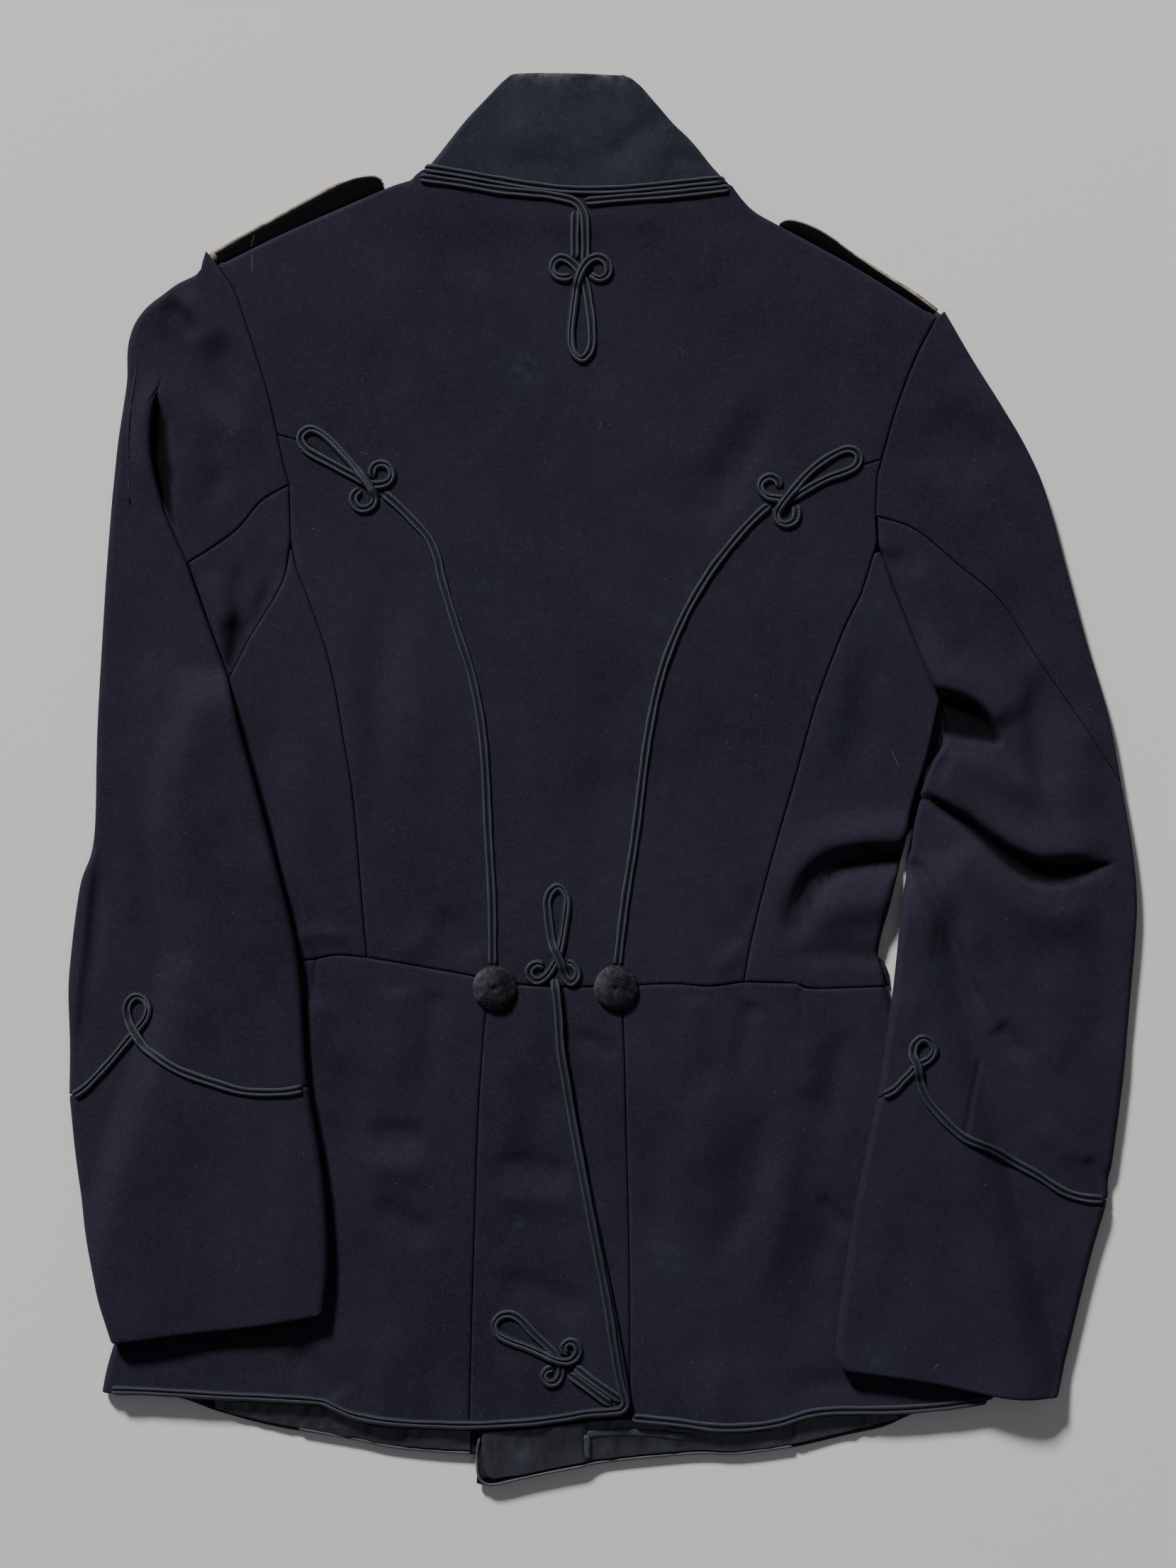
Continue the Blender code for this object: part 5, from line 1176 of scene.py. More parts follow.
def surface_of(grids: list[np.ndarray]) -> Callable[[Plan], np.ndarray]:
    """Function that gives the highest outside of panels over plan positions.

    Args:
        grids: the panels' outer grids, mm.

    Returns:
        A function from (n, 2) positions to n heights, 0 where there is no cloth.
    """
    points, faces, start = [], [], 0
    for grid in grids:
        number = np.arange(grid.shape[0] * grid.shape[1]).reshape(grid.shape[:2])
        points.append(grid.reshape(-1, 3))
        faces.append(quads_of(number) + start)
        start += number.size
    tree = BVHTree.FromPolygons(np.concatenate(points).tolist(), np.concatenate(faces).tolist())
    down = Vector((0.0, 0.0, -1.0))

    def height(plan: Plan) -> np.ndarray:
        """Height of the first cloth met straight down from above."""
        hits = [tree.ray_cast(Vector((x, y, CEILING)), down)[0] for x, y in plan.tolist()]
        return np.array([0.0 if hit is None else hit.z for hit in hits])

    return height


# Routes of braid in the view.
ROUTES: dict[str, Knots] = {
    "neck_braid": [
        (599, 237), (650, 245), (701, 254), (749, 262), (806, 268), (867, 268), (937, 262), (985, 257),
        (1024, 253),
    ],
    "neck_braid_low": [
        (592, 251), (650, 259), (701, 268), (749, 273), (770, 275), (800, 281), (812, 286), (820, 295),
        (825, 310), (826, 340), (826, 355), (825, 372),
    ],
    "neck_braid_low_right": [(825, 285), (850, 283), (870, 281), (937, 276), (985, 271), (1028, 266)],
    "neck_trefoil": [
        (807, 389), (800, 392), (792, 392), (783, 388), (779, 379), (782, 369), (791, 364), (801, 367),
        (810, 374), (818, 384), (824, 396), (828, 410), (831, 430), (834, 450), (835, 470), (835, 485),
        (831, 498), (821, 507), (811, 500), (806, 488), (805, 470), (807, 450), (810, 425), (813, 405),
        (817, 390), (824, 376), (832, 367), (843, 363), (854, 368), (859, 379), (856, 389), (847, 394),
        (838, 391), (833, 386),
    ],
    "neck_trefoil_strand": [(812, 298), (811, 330), (811, 350), (811, 365)],
    "back_trefoil_left": [
        (509, 690), (500, 698), (499, 708), (506, 717), (517, 718), (527, 711), (528, 700), (522, 688),
        (513, 675), (500, 658), (485, 641), (468, 623), (452, 610), (438, 605), (427, 611), (424, 621),
        (431, 633), (446, 643), (465, 653), (485, 664), (500, 672), (512, 679), (524, 684), (537, 684),
        (548, 680), (553, 670), (549, 659), (539, 654), (529, 657), (525, 666), (527, 673),
    ],
    "back_trefoil_right": [
        (1121, 713), (1124, 722), (1121, 734), (1110, 740), (1099, 736), (1096, 725), (1102, 713),
        (1111, 701), (1122, 688), (1137, 671), (1155, 655), (1175, 642), (1194, 634), (1207, 637),
        (1212, 647), (1206, 659), (1190, 667), (1170, 674), (1150, 684), (1133, 694), (1120, 702),
        (1108, 704), (1095, 703), (1082, 700), (1073, 690), (1075, 679), (1086, 673), (1097, 678),
        (1100, 688),
    ],
    "waist_trefoil": [
        (767, 1363), (757, 1360), (748, 1366), (747, 1376), (756, 1384), (767, 1380), (776, 1370),
        (783, 1358), (789, 1344), (793, 1325), (797, 1300), (800, 1275), (798, 1262), (788, 1251),
        (777, 1258), (772, 1272), (773, 1290), (776, 1315), (780, 1335), (787, 1350), (793, 1364),
        (797, 1378), (805, 1386), (813, 1380), (814, 1369), (807, 1360), (800, 1358),
    ],
    "vent_trefoil": [
        (799, 1911), (795, 1901), (801, 1893), (811, 1894), (816, 1904), (811, 1915), (800, 1920),
        (785, 1918), (768, 1911), (745, 1901), (720, 1892), (702, 1882), (697, 1869), (705, 1857),
        (720, 1854), (735, 1862), (752, 1880), (770, 1897), (783, 1910), (790, 1925), (791, 1938),
        (785, 1949), (774, 1951), (767, 1942), (771, 1933), (780, 1931),
    ],
    "vent_trefoil_strand": [(811, 1928), (840, 1949), (866, 1967), (876, 1974)],
    "vent_trefoil_strand_low": [(803, 1938), (830, 1957), (855, 1975), (862, 1979)],
    "back_braid_left": [
        (541, 696), (560, 712), (584, 736), (605, 760), (617, 788), (624, 820), (645, 890), (667, 960),
        (682, 1050), (689, 1180), (694, 1270), (695, 1362),
    ],
    "back_braid_right": [
        (1086, 713), (1074, 722), (1051, 745), (1025, 776), (999, 811), (965, 870), (935, 945),
        (914, 1040), (896, 1180), (882, 1270), (871, 1362),
    ],
    "vent_and_hem_braid": [
        (782, 1380), (784, 1395), (788, 1432), (791, 1480), (799, 1528), (809, 1588), (834, 1720),
        (857, 1840), (866, 1900), (875, 1950), (881, 1971), (882, 1980), (875, 1988), (860, 1990),
        (830, 1993), (800, 1999), (770, 2003), (740, 2006), (680, 2010), (620, 2010), (560, 2006),
        (501, 1997), (473, 1986), (450, 1977), (381, 1972), (317, 1969), (253, 1965), (198, 1962),
        (157, 1961),
    ],
    "hem_braid_right": [
        (892, 1999), (900, 2001), (950, 2006), (1010, 2013), (1058, 2013), (1100, 2007), (1139, 1995),
        (1179, 1990), (1258, 1989), (1317, 1985), (1357, 1980), (1392, 1974),
    ],
    "cuff_braid_left": [
        (103, 1546), (117, 1537), (129, 1526), (156, 1497), (176, 1473), (190, 1456), (205, 1438),
        (209, 1421), (201, 1408), (188, 1407), (179, 1420), (181, 1438), (190, 1456), (205, 1475),
        (221, 1486), (257, 1508), (308, 1526), (349, 1537), (400, 1538), (431, 1533),
    ],
    "cuff_braid_right": [
        (1243, 1543), (1257, 1536), (1264, 1530), (1272, 1521), (1282, 1511), (1291, 1501),
        (1308, 1492), (1315, 1479), (1308, 1466), (1297, 1463), (1287, 1472), (1285, 1487),
        (1291, 1501), (1297, 1530), (1311, 1557), (1353, 1599), (1396, 1619), (1432, 1640),
        (1463, 1657), (1499, 1680), (1527, 1689), (1556, 1692),
    ],
    "edge_piping_right": [
        (676, 2030), (673, 2052), (674, 2080), (682, 2093), (700, 2095), (740, 2086), (800, 2074),
        (860, 2064), (980, 2053), (1040, 2053), (1119, 2043),
    ],
    "edge_piping_left": [(420, 2018), (501, 2033), (547, 2043), (602, 2049), (664, 2053)],
    "lining_tape": [(826, 2026), (828, 2036), (827, 2048), (829, 2060)],
    "lining_tape_along": [(828, 2025), (870, 2022), (905, 2023), (950, 2027), (980, 2031)],
    "strap_hair": [(357, 329), (353, 345), (356, 365), (354, 386)],
}
# Each button's middle in the view.
BUTTONS: dict[str, tuple[float, float]] = {"button_left": (698, 1393), "button_right": (869, 1393)}
# Share of its size that a braid keeps at its very ends.
END_SIZE = 0.35


class Pass(Enum):
    """Which of a braid's two passes through its own crossing lies on top."""

    NONE = 0
    FIRST = 1
    SECOND = 2


@dataclass(frozen=True)
class Trim:
    """One piece of braid: its routes, the solids it stands for, and how it crosses itself."""

    routes: tuple[str, ...]
    nodes: tuple[str, ...]
    over: Pass = Pass.NONE
    half: float = 4.5


TRIMS: list[Trim] = [
    Trim(("neck_braid",), ("neck_braid",)),
    Trim(("neck_braid_low", "neck_braid_low_right"), ("neck_braid_low",)),
    Trim(("back_braid_left",), ("back_braid_left",)),
    Trim(("back_braid_right",), ("back_braid_right",)),
    Trim(("vent_and_hem_braid",), ("vent_braid", "hem_braid_left")),
    Trim(("hem_braid_right",), ("hem_braid_right",)),
    Trim(("cuff_braid_left",), ("cuff_braid_left",), Pass.SECOND, 3.5),
    Trim(("cuff_braid_right",), ("cuff_braid_right",), Pass.SECOND, 3.5),
    Trim(("neck_trefoil", "neck_trefoil_strand"), ("neck_trefoil",), Pass.SECOND),
    Trim(("back_trefoil_left",), ("back_trefoil_left",), Pass.FIRST),
    Trim(("back_trefoil_right",), ("back_trefoil_right",), Pass.FIRST),
    Trim(("waist_trefoil",), ("waist_trefoil",), Pass.SECOND),
    Trim(("vent_trefoil", "vent_trefoil_strand", "vent_trefoil_strand_low"), ("vent_trefoil",),
         Pass.FIRST),
]

# Points in mm, faces, and the (u, v) place of each face corner.
Skin = tuple[np.ndarray, np.ndarray, np.ndarray]


def crossing_of(line: Plan, over: Pass, apart: float = 25.0) -> float:
    """Place along a line where its chosen pass goes over the other one.

    Args:
        line: the route's points.
        over: the pass on top.
        apart: least distance along the line between the two passes, mm.

    Returns:
        The distance along the line to the nearer approach of its two parts.
    """
    along = lengths(line)
    gap = np.linalg.norm(line[:, None] - line[None], axis=2)
    gap[np.abs(along[:, None] - along[None]) < apart] = np.inf
    first, second = sorted(np.unravel_index(np.argmin(gap), gap.shape))
    return float(along[first if over is Pass.FIRST else second])


def together(skins: list[Skin]) -> Skin:
    """Several skins as one, with their faces renumbered."""
    starts = np.cumsum([0] + [len(skin[0]) for skin in skins[:-1]])
    points = np.concatenate([skin[0] for skin in skins])
    faces = np.concatenate([skin[1] + start for skin, start in zip(skins, starts)])
    return points, faces, np.concatenate([skin[2] for skin in skins])


def closed_skin(points: np.ndarray, place: np.ndarray) -> Skin:
    """Skin over closed rings of points, with a cap on the first and the last ring.

    Args:
        points: rings by points round them, each (x, y, z) in mm.
        place: each point's (u, v), with one more column for the point that closes its ring.

    Returns:
        The skin.
    """
    count, around = points.shape[:2]
    number = np.arange(count * around).reshape(count, around)
    closed = np.concatenate([number, number[:, :1]], axis=1)
    half = np.arange(around // 2 - 1)
    cap = np.stack([half, half + 1, around - 2 - half, around - 1 - half], -1)
    faces = np.concatenate([quads_of(closed), cap, cap[:, ::-1] + (count - 1) * around])
    corners = [place[:-1, :-1], place[1:, :-1], place[1:, 1:], place[:-1, 1:]]
    uv = np.stack(corners, axis=2).reshape(-1, 2)
    caps = np.concatenate([place[0, cap], place[-1, cap[:, ::-1]]]).reshape(-1, 2)
    return points.reshape(-1, 3), faces, np.concatenate([uv, caps])


@dataclass(frozen=True)
class Carried:
    """A closed profile carried along a plan route over the cloth.

    At each point of the route the profile's x lies across it and the profile's y stands up from
    the ground, both times the local size.
    """

    profile: np.ndarray
    route: Plan
    ground: np.ndarray
    size: np.ndarray

    def mesh(self) -> Skin:
        """The skin, its corners' places (round, along) in mm."""
        forward = direction(self.route, 0)
        side = np.column_stack([forward[:, 1], -forward[:, 0]])
        across = self.profile[None, :, 0] * self.size[:, None]
        flat = self.route[:, None] + side[:, None] * across[..., None]
        height = self.ground[:, None] + self.profile[None, :, 1] * self.size[:, None]
        points = np.concatenate([flat, height[..., None]], axis=-1)
        closed = np.concatenate([self.profile, self.profile[:1]])
        return closed_skin(points, np.stack(np.meshgrid(lengths(closed), lengths(self.route)), -1))


def rounded_ends(along: np.ndarray, reach: float) -> np.ndarray:
    """Size 1 along a route, falling to END_SIZE at both ends like a quarter circle that reaches in."""
    inside = np.minimum(along, along[-1] - along)
    t = np.clip(inside / reach, 0.0, 1.0)
    return END_SIZE + (1 - END_SIZE) * np.sqrt(np.maximum(1 - (1 - t) ** 2, 0.0))


def widened(values: np.ndarray, count: int) -> np.ndarray:
    """Largest value within count places either way, then the mean over the same stretch."""
    padded = np.pad(values, 2 * count, mode="edge")
    windows = np.lib.stride_tricks.sliding_window_view(padded, 2 * count + 1)
    highest = windows.max(axis=1)
    return np.lib.stride_tricks.sliding_window_view(highest, 2 * count + 1).mean(axis=1)


@dataclass(frozen=True)
class RussiaBraid:
    """Flat braid of two ridges with a groove between.

    Sizes are mm. The groove is the angle in degrees at which each ridge's arc ends in it. Foot is
    the share of the half width at which the braid feels the cloth, bridge the stretch that it
    spans, clear the gap beneath it, and over and ramp say how it lifts where it crosses itself.
    """

    width: float = 5.3
    height: float = 1.75
    step: float = 0.9
    groove: float = 16.0
    foot: float = 0.42
    bridge: float = 3.0
    clear: float = 0.05
    over: float = 0.92
    ramp: float = 6.0
    end_reach: float = 2.4
    arc_points: int = 7
    # Share of the size, length in mm and start of each of the two waves of wear.
    wear: tuple[tuple[float, float, float], ...] = ((0.035, 3.1, 0.0), (0.03, 7.7, 1.0))

    def profile(self) -> np.ndarray:
        """Two arcs side by side, each from the outer foot over the ridge to the groove."""
        turn = np.radians(np.linspace(180.0, self.groove, self.arc_points))
        left = np.column_stack([-0.5 + 0.5 * np.cos(turn), np.sin(turn)])
        both = np.concatenate([left, left[::-1] * [-1.0, 1.0]])
        return both * [self.width / 2, self.height]

    def groove_place(self) -> float:
        """Place of the groove round the profile, mm: half of the arcs' length."""
        return float(lengths(self.profile())[-1] / 2)

    def laid(self, name: str, surface: Callable[[Plan], np.ndarray], over: Pass, half: float) -> Skin:
        """The braid on the cloth along a route.

        Args:
            name: the route's name.
            surface: height of the cloth.
            over: which pass goes over the other at its own crossing.
            half: half the stretch that is lifted there, mm.

        Returns:
            The skin.
        """
        route = smooth(placed(ROUTES[name]), self.step)
        count = max(3, round(lengths(route)[-1] / self.step))
        line = at_shares(route, np.linspace(0.0, 1.0, count))
        side = direction(line, 0)[:, ::-1] * [1.0, -1.0] * self.width * self.foot
        ground = np.max([surface(line - side), surface(line), surface(line + side)], axis=0)
        ground = widened(ground, round(self.bridge / self.step)) + self.clear
        along = lengths(line)
        if over is not Pass.NONE:
            rise = 1 - ease(np.abs(along - crossing_of(line, over)), half, half + self.ramp)
            ground = ground + (self.height * self.over) * rise
        worn = np.ones(len(along))
        for share, length, start in self.wear:
            worn = worn + share * np.sin(along / length + start)
        size = worn * rounded_ends(along, self.end_reach)
        return Carried(self.profile(), line, ground, size).mesh()


@dataclass(frozen=True)
class NettedButton:
    """Dome covered with cords that lie slanting round its rim and whirl into its crown.

    Sizes are mm. Sink is the part of a cord's rise that lies below the dome, strand the rise of
    the threads laid round it, and the dimple is the hollow in the crown, which reaches a share of
    the way out. Everything is drawn in by draw_in and stands lift above the cloth.
    """

    radius: float = 12.4
    height: float = 4.9
    cords: int = 34
    cord_rise: float = 1.5
    whirl: float = 2.3
    twists: float = 15.0
    rings: int = 50
    columns_a_cord: int = 8
    angle: float = 92.0
    crown: float = 0.035
    foot: float = 0.9
    whirl_power: float = 1.4
    flatness: float = 0.8
    crown_growth: float = 2.6
    sink: float = 0.6
    strand: float = 0.09
    dimple: float = 0.9
    dimple_reach: float = 0.10
    draw_in: float = 0.4
    lift: float = 0.35

    def mesh(self, centre: Plan, ground: float) -> Skin:
        """The skin, its corners' places (number of the cord, mm along it).

        Over the angle a and the share s from crown to rim, the dome is radius * sin(q) out and
        height * cos(q)^flatness up with q = s * angle. A cord's back stands cord_rise * |sin(k)|
        proud of it, k = cords / 2 * (a - whirl * (1 - s)^whirl_power), less towards the crown.

        Args:
            centre: the button's middle in plan, mm.
            ground: height of the cloth beneath, mm.
        """
        a = np.linspace(0.0, 2 * np.pi, self.cords * self.columns_a_cord + 1)[:-1][None, :]
        s = np.linspace(self.crown, 1.0, self.rings)[:, None]
        turn = np.radians(self.angle) * s
        lay = self.cords / 2 * (a - self.whirl * (1 - s) ** self.whirl_power)
        back = np.abs(np.sin(lay))
        strand = np.sin(self.twists * 2 * np.pi * s + 2.0 * back * np.sign(np.sin(2 * lay)))
        rise = self.cord_rise * np.minimum(1.0, self.crown_growth * s) * (back - self.sink)
        rise = rise + self.strand * strand * back
        dimple = self.dimple * np.exp(-((s / self.dimple_reach) ** 2))
        out = self.radius * np.sin(turn) + rise * np.sin(turn) - self.draw_in
        up = self.height * np.maximum(np.cos(turn), 0.0) ** self.flatness + rise * np.cos(turn)
        up = up - dimple + self.lift
        x, y = centre[0] + out * np.cos(a), centre[1] + out * np.sin(a)
        dome = np.stack([x, y, ground + up + 0 * a], -1)
        foot = dome[-1:].copy()
        foot[..., :2] = centre + (foot[..., :2] - centre) * self.foot
        foot[..., 2] = ground
        place = np.stack(np.broadcast_arrays(lay / np.pi, s * self.radius * 1.5), -1)
        place = np.concatenate([place, place[-1:]])
        last = place[:, :1] + np.array([float(self.cords), 0.0])
        return closed_skin(np.concatenate([dome, foot]), np.concatenate([place, last], axis=1))


def ring(across: float, tall: float, sides: int = 10) -> np.ndarray:
    """Oval ring of points that stands on 0: half-sizes across * cos, tall * (sin + 1)."""
    turn = np.linspace(0.0, 2 * np.pi, sides + 1)[:-1] - np.pi / 2 + np.pi / sides
    return np.column_stack([across * np.cos(turn), tall * (np.sin(turn) + 1)])[::-1]


Colour = tuple[float, float, float]


class NodeTree:
    """A finish's node tree, with one call for each kind of step that the finishes share."""

    def __init__(self, name: str) -> None:
        """Makes an empty material with its shader and output."""
        self.material = bpy.data.materials.new(name)
        self.material.use_nodes = True
        self.tree = self.material.node_tree
        self.shader = self.tree.nodes["Principled BSDF"]
        self.place = self.position()

    def node(self, kind: str, inputs: dict[str | int, object], **settings: object) -> bpy.types.Node:
        """Adds a node, sets its settings, and links or sets its inputs."""
        made = self.tree.nodes.new(kind)
        for label, value in settings.items():
            setattr(made, label, value)
        for label, value in inputs.items():
            if isinstance(value, bpy.types.NodeSocket):
                self.tree.links.new(value, made.inputs[label])
            else:
                made.inputs[label].default_value = value
        return made

    def position(self) -> bpy.types.NodeSocket:
        """Object coordinates, metres."""
        return self.node("ShaderNodeTexCoord", {}).outputs["Object"]

    def uv(self) -> bpy.types.NodeSocket:
        """The piece's own UV, mm round and along."""
        return self.node("ShaderNodeTexCoord", {}).outputs["UV"]

    def scaled(self, scale: Colour, turn: float = 0.0) -> bpy.types.NodeSocket:
        """Object coordinates turned about z and scaled."""
        inputs = {"Vector": self.place, "Scale": scale, "Rotation": (0.0, 0.0, turn)}
        return self.node("ShaderNodeMapping", inputs).outputs["Vector"]

    def noise(self, vector: bpy.types.NodeSocket, scale: float, detail: float = 2.0,
              roughness: float = 0.5) -> bpy.types.NodeSocket:
        """Noise from 0 to 1."""
        inputs = {"Vector": vector, "Scale": scale, "Detail": detail, "Roughness": roughness}
        return self.node("ShaderNodeTexNoise", inputs).outputs["Fac"]

    def mark(self, name: str) -> bpy.types.NodeSocket:
        """One of the piece's point attributes."""
        return self.node("ShaderNodeAttribute", {}, attribute_name=name).outputs["Fac"]

    def stretch(self, value: bpy.types.NodeSocket, low: float, high: float, start: float = 0.0,
                end: float = 1.0) -> bpy.types.NodeSocket:
        """Value between low and high brought to start and end, and held there outside."""
        inputs = {"Value": value, "From Min": low, "From Max": high, "To Min": start, "To Max": end}
        return self.node("ShaderNodeMapRange", inputs).outputs["Result"]

    def math(self, operation: str, a: object, b: object = 0.0) -> bpy.types.NodeSocket:
        """One sum, product or function of two values."""
        return self.node("ShaderNodeMath", {0: a, 1: b}, operation=operation).outputs["Value"]

    def times(self, a: object, b: object) -> bpy.types.NodeSocket:
        """Product of two values."""
        return self.math("MULTIPLY", a, b)

    def patchy(self, scale: float, detail: float, roughness: float, low: float, high: float,
               start: float = 0.0, end: float = 1.0) -> bpy.types.NodeSocket:
        """Noise over the piece, of which low to high is brought to start and end."""
        return self.stretch(self.noise(self.place, scale, detail, roughness), low, high, start, end)

    def mix(self, share: object, a: object, b: object) -> bpy.types.NodeSocket:
        """Colour a towards colour b by a share."""
        return self.node("ShaderNodeMix", {0: share, 6: a, 7: b}, data_type="RGBA").outputs[2]

    def bump(self, height: bpy.types.NodeSocket, distance: float, strength: float = 1.0,
             under: bpy.types.NodeSocket | None = None) -> bpy.types.NodeSocket:
        """Bump of a height that stands for a distance in metres, on top of another bump."""
        inputs: dict[str | int, object] = {"Height": height, "Distance": distance, "Strength": strength}
        if under is not None:
            inputs["Normal"] = under
        return self.node("ShaderNodeBump", inputs).outputs["Normal"]

    def finish(self, colour: bpy.types.NodeSocket, normal: bpy.types.NodeSocket,
               roughness: bpy.types.NodeSocket | float,
               constants: dict[str, object]) -> bpy.types.Material:
        """Links colour, normal and roughness to the shader and sets its other constants."""
        self.tree.links.new(colour, self.shader.inputs["Base Color"])
        self.tree.links.new(normal, self.shader.inputs["Normal"])
        if isinstance(roughness, bpy.types.NodeSocket):
            self.tree.links.new(roughness, self.shader.inputs["Roughness"])
        else:
            self.shader.inputs["Roughness"].default_value = roughness
        for label, value in constants.items():
            self.shader.inputs[label].default_value = value
        return self.material


def rgba(colour: Colour) -> tuple[float, float, float, float]:
    """Colour with full cover."""
    return (*colour, 1.0)


@dataclass(frozen=True)
class Melton:
    """Milled wool: a short nap over a hidden weave, cloudy with wear, paler where it is rubbed."""

    name: str = "navy_melton_cloth"
    dark: Colour = (0.0102, 0.0089, 0.0180)
    pale: Colour = (0.0256, 0.0228, 0.0376)
    tint: Colour = (0.0178, 0.0220, 0.0405)
    rubbed: Colour = (0.041, 0.039, 0.055)
    worn_colour: Colour = (0.15, 0.15, 0.152)
    worn_share: float = 0.0
    cloudiness: float = 0.42
    sheen: float = 0.035
    sheen_tint: Colour = (0.62, 0.68, 1.0)
    gloss: float = 0.08
    nap: float = 0.00030
    hairs_down: Colour = (1500.0, 260.0, 900.0)
    hairs_across: Colour = (300.0, 1700.0, 900.0)
    stain: Colour = (0.02, 0.045, 0.062)
    # Painted shade: the near-black colour inside a fold's mouth.
    shade: Colour = (0.0011, 0.0010, 0.0017)

    def material(self) -> bpy.types.Material:
        """Builds the finish.

        Returns:
            A material whose colour is clouds at four sizes with rubbed and stained places, painted
            shade in a fold's mouth, and whose bump is the nap's short hairs in two directions.
        """
        t = NodeTree(self.name)
        clouds = t.patchy(7.0, 3.0, 0.55, 0.32, 0.68)
        patches = t.patchy(46.0, 3.0, 0.6, 0.35, 0.7)
        speckle = t.patchy(620.0, 3.0, 0.7, 0.38, 0.66)
        hairs_one = t.noise(t.scaled(self.hairs_down, 0.5), 1.0, 2.0, 0.6)
        hairs_two = t.noise(t.scaled(self.hairs_across, 0.3), 1.0, 2.0, 0.6)
        hairs = t.math("MAXIMUM", hairs_one, hairs_two)
        body = t.mix(t.times(clouds, 0.75), rgba(self.dark), rgba(self.pale))
        body = t.mix(t.times(patches, self.cloudiness), body, rgba(self.tint))
        mottle = t.patchy(150.0, 3.0, 0.65, 0.35, 0.68)
        body = t.mix(t.times(mottle, 0.35), body, rgba(self.dark))
        body = t.mix(t.times(speckle, 0.40), body, rgba(self.pale))
        body = t.mix(t.stretch(hairs, 0.56, 0.78, 0.0, 0.5), body, rgba(self.rubbed))
        rim = t.times(t.mark("rim"), t.patchy(140.0, 2.0, 0.5, 0.35, 0.7, 0.0, 0.14))
        body = t.mix(rim, body, rgba(self.rubbed))
        worn = t.times(t.mark("worn"), t.patchy(90.0, 4.0, 0.7, 0.40, 0.62))
        body = t.mix(t.times(worn, self.worn_share), body, rgba(self.worn_colour))
        stain = t.times(t.mark("stain"), t.patchy(210.0, 3.0, 0.5, 0.42, 0.6))
        body = t.mix(stain, body, rgba(self.stain))
        # Painted shade: the cloth darkens towards near black inside a fold's mouth.
        body = t.mix(t.times(t.mark("hollow"), 0.9), body, rgba(self.shade))
        soft = t.bump(t.noise(t.place, 230.0, 3.0, 0.6), 0.00022, 0.5)
        normal = t.bump(hairs, self.nap, 0.75, soft)
        rough = t.stretch(hairs, 0.3, 0.8, 0.95, 0.78)
        constants = {
            "Specular IOR Level": self.gloss,
            "Sheen Weight": self.sheen,
            "Sheen Roughness": 0.45,
            "Sheen Tint": rgba(self.sheen_tint),
        }
        return t.finish(body, normal, rough, constants)


@dataclass(frozen=True)
class Plait:
    """Braid or cord of fine threads that slant to both sides of a middle line."""

    name: str
    dark: Colour
    pale: Colour
    middle: float
    period: float = 1.15
    slant: float = 0.9
    depth: float = 0.00022
    roughness: float = 0.52
    sheen: float = 0.05
    mirrored: bool = True
    glint_and_wear_share: float = 0.25
    glint_and_wear_colour: Colour = (0.09, 0.095, 0.12)

    def material(self) -> bpy.types.Material:
        """Builds the finish.

        Returns:
            A material striped along v + slant * |u - middle| in the piece's UV, with painted shade
            between the threads, and pale flecks that are painted glints and wear.
        """
        t = NodeTree(self.name)
        parts = t.node("ShaderNodeSeparateXYZ", {"Vector": t.uv()})
        off = t.math("SUBTRACT", parts.outputs["X"], self.middle)
        if self.mirrored:
            off = t.math("ABSOLUTE", off)
        wobble = t.times(t.noise(t.place, 420.0, 2.0), 0.5)
        lay = t.math("ADD", t.times(off, self.slant), parts.outputs["Y"])
        wave = t.math("SINE", t.times(t.math("ADD", lay, wobble), 2 * math.pi / self.period))
        thread = t.stretch(wave, -1.0, 1.0)
        clouds = t.patchy(55.0, 3.0, 0.6, 0.3, 0.7)
        # Painted shade between the threads and painted highlight along their tops.
        body = t.mix(t.times(thread, 0.75), rgba(self.dark), rgba(self.pale))
        body = t.mix(t.times(clouds, 0.45), body, rgba(self.dark))
        # Pale flecks: painted glints, partly wear.
        glint_and_wear_flecks = t.patchy(900.0, 2.0, 0.8, 0.62, 0.74)
        body = t.mix(t.times(glint_and_wear_flecks, self.glint_and_wear_share), body, rgba(self.glint_and_wear_colour))
        soft = t.bump(t.noise(t.place, 1300.0, 2.0), 0.00008, 0.6)
        normal = t.bump(thread, self.depth, 0.9, soft)
        constants = {
            "Specular IOR Level": 0.42,
            "Sheen Weight": self.sheen,
            "Sheen Roughness": 0.4,
            "Sheen Tint": rgba((0.6, 0.7, 1.0)),
        }
        return t.finish(body, normal, self.roughness, constants)


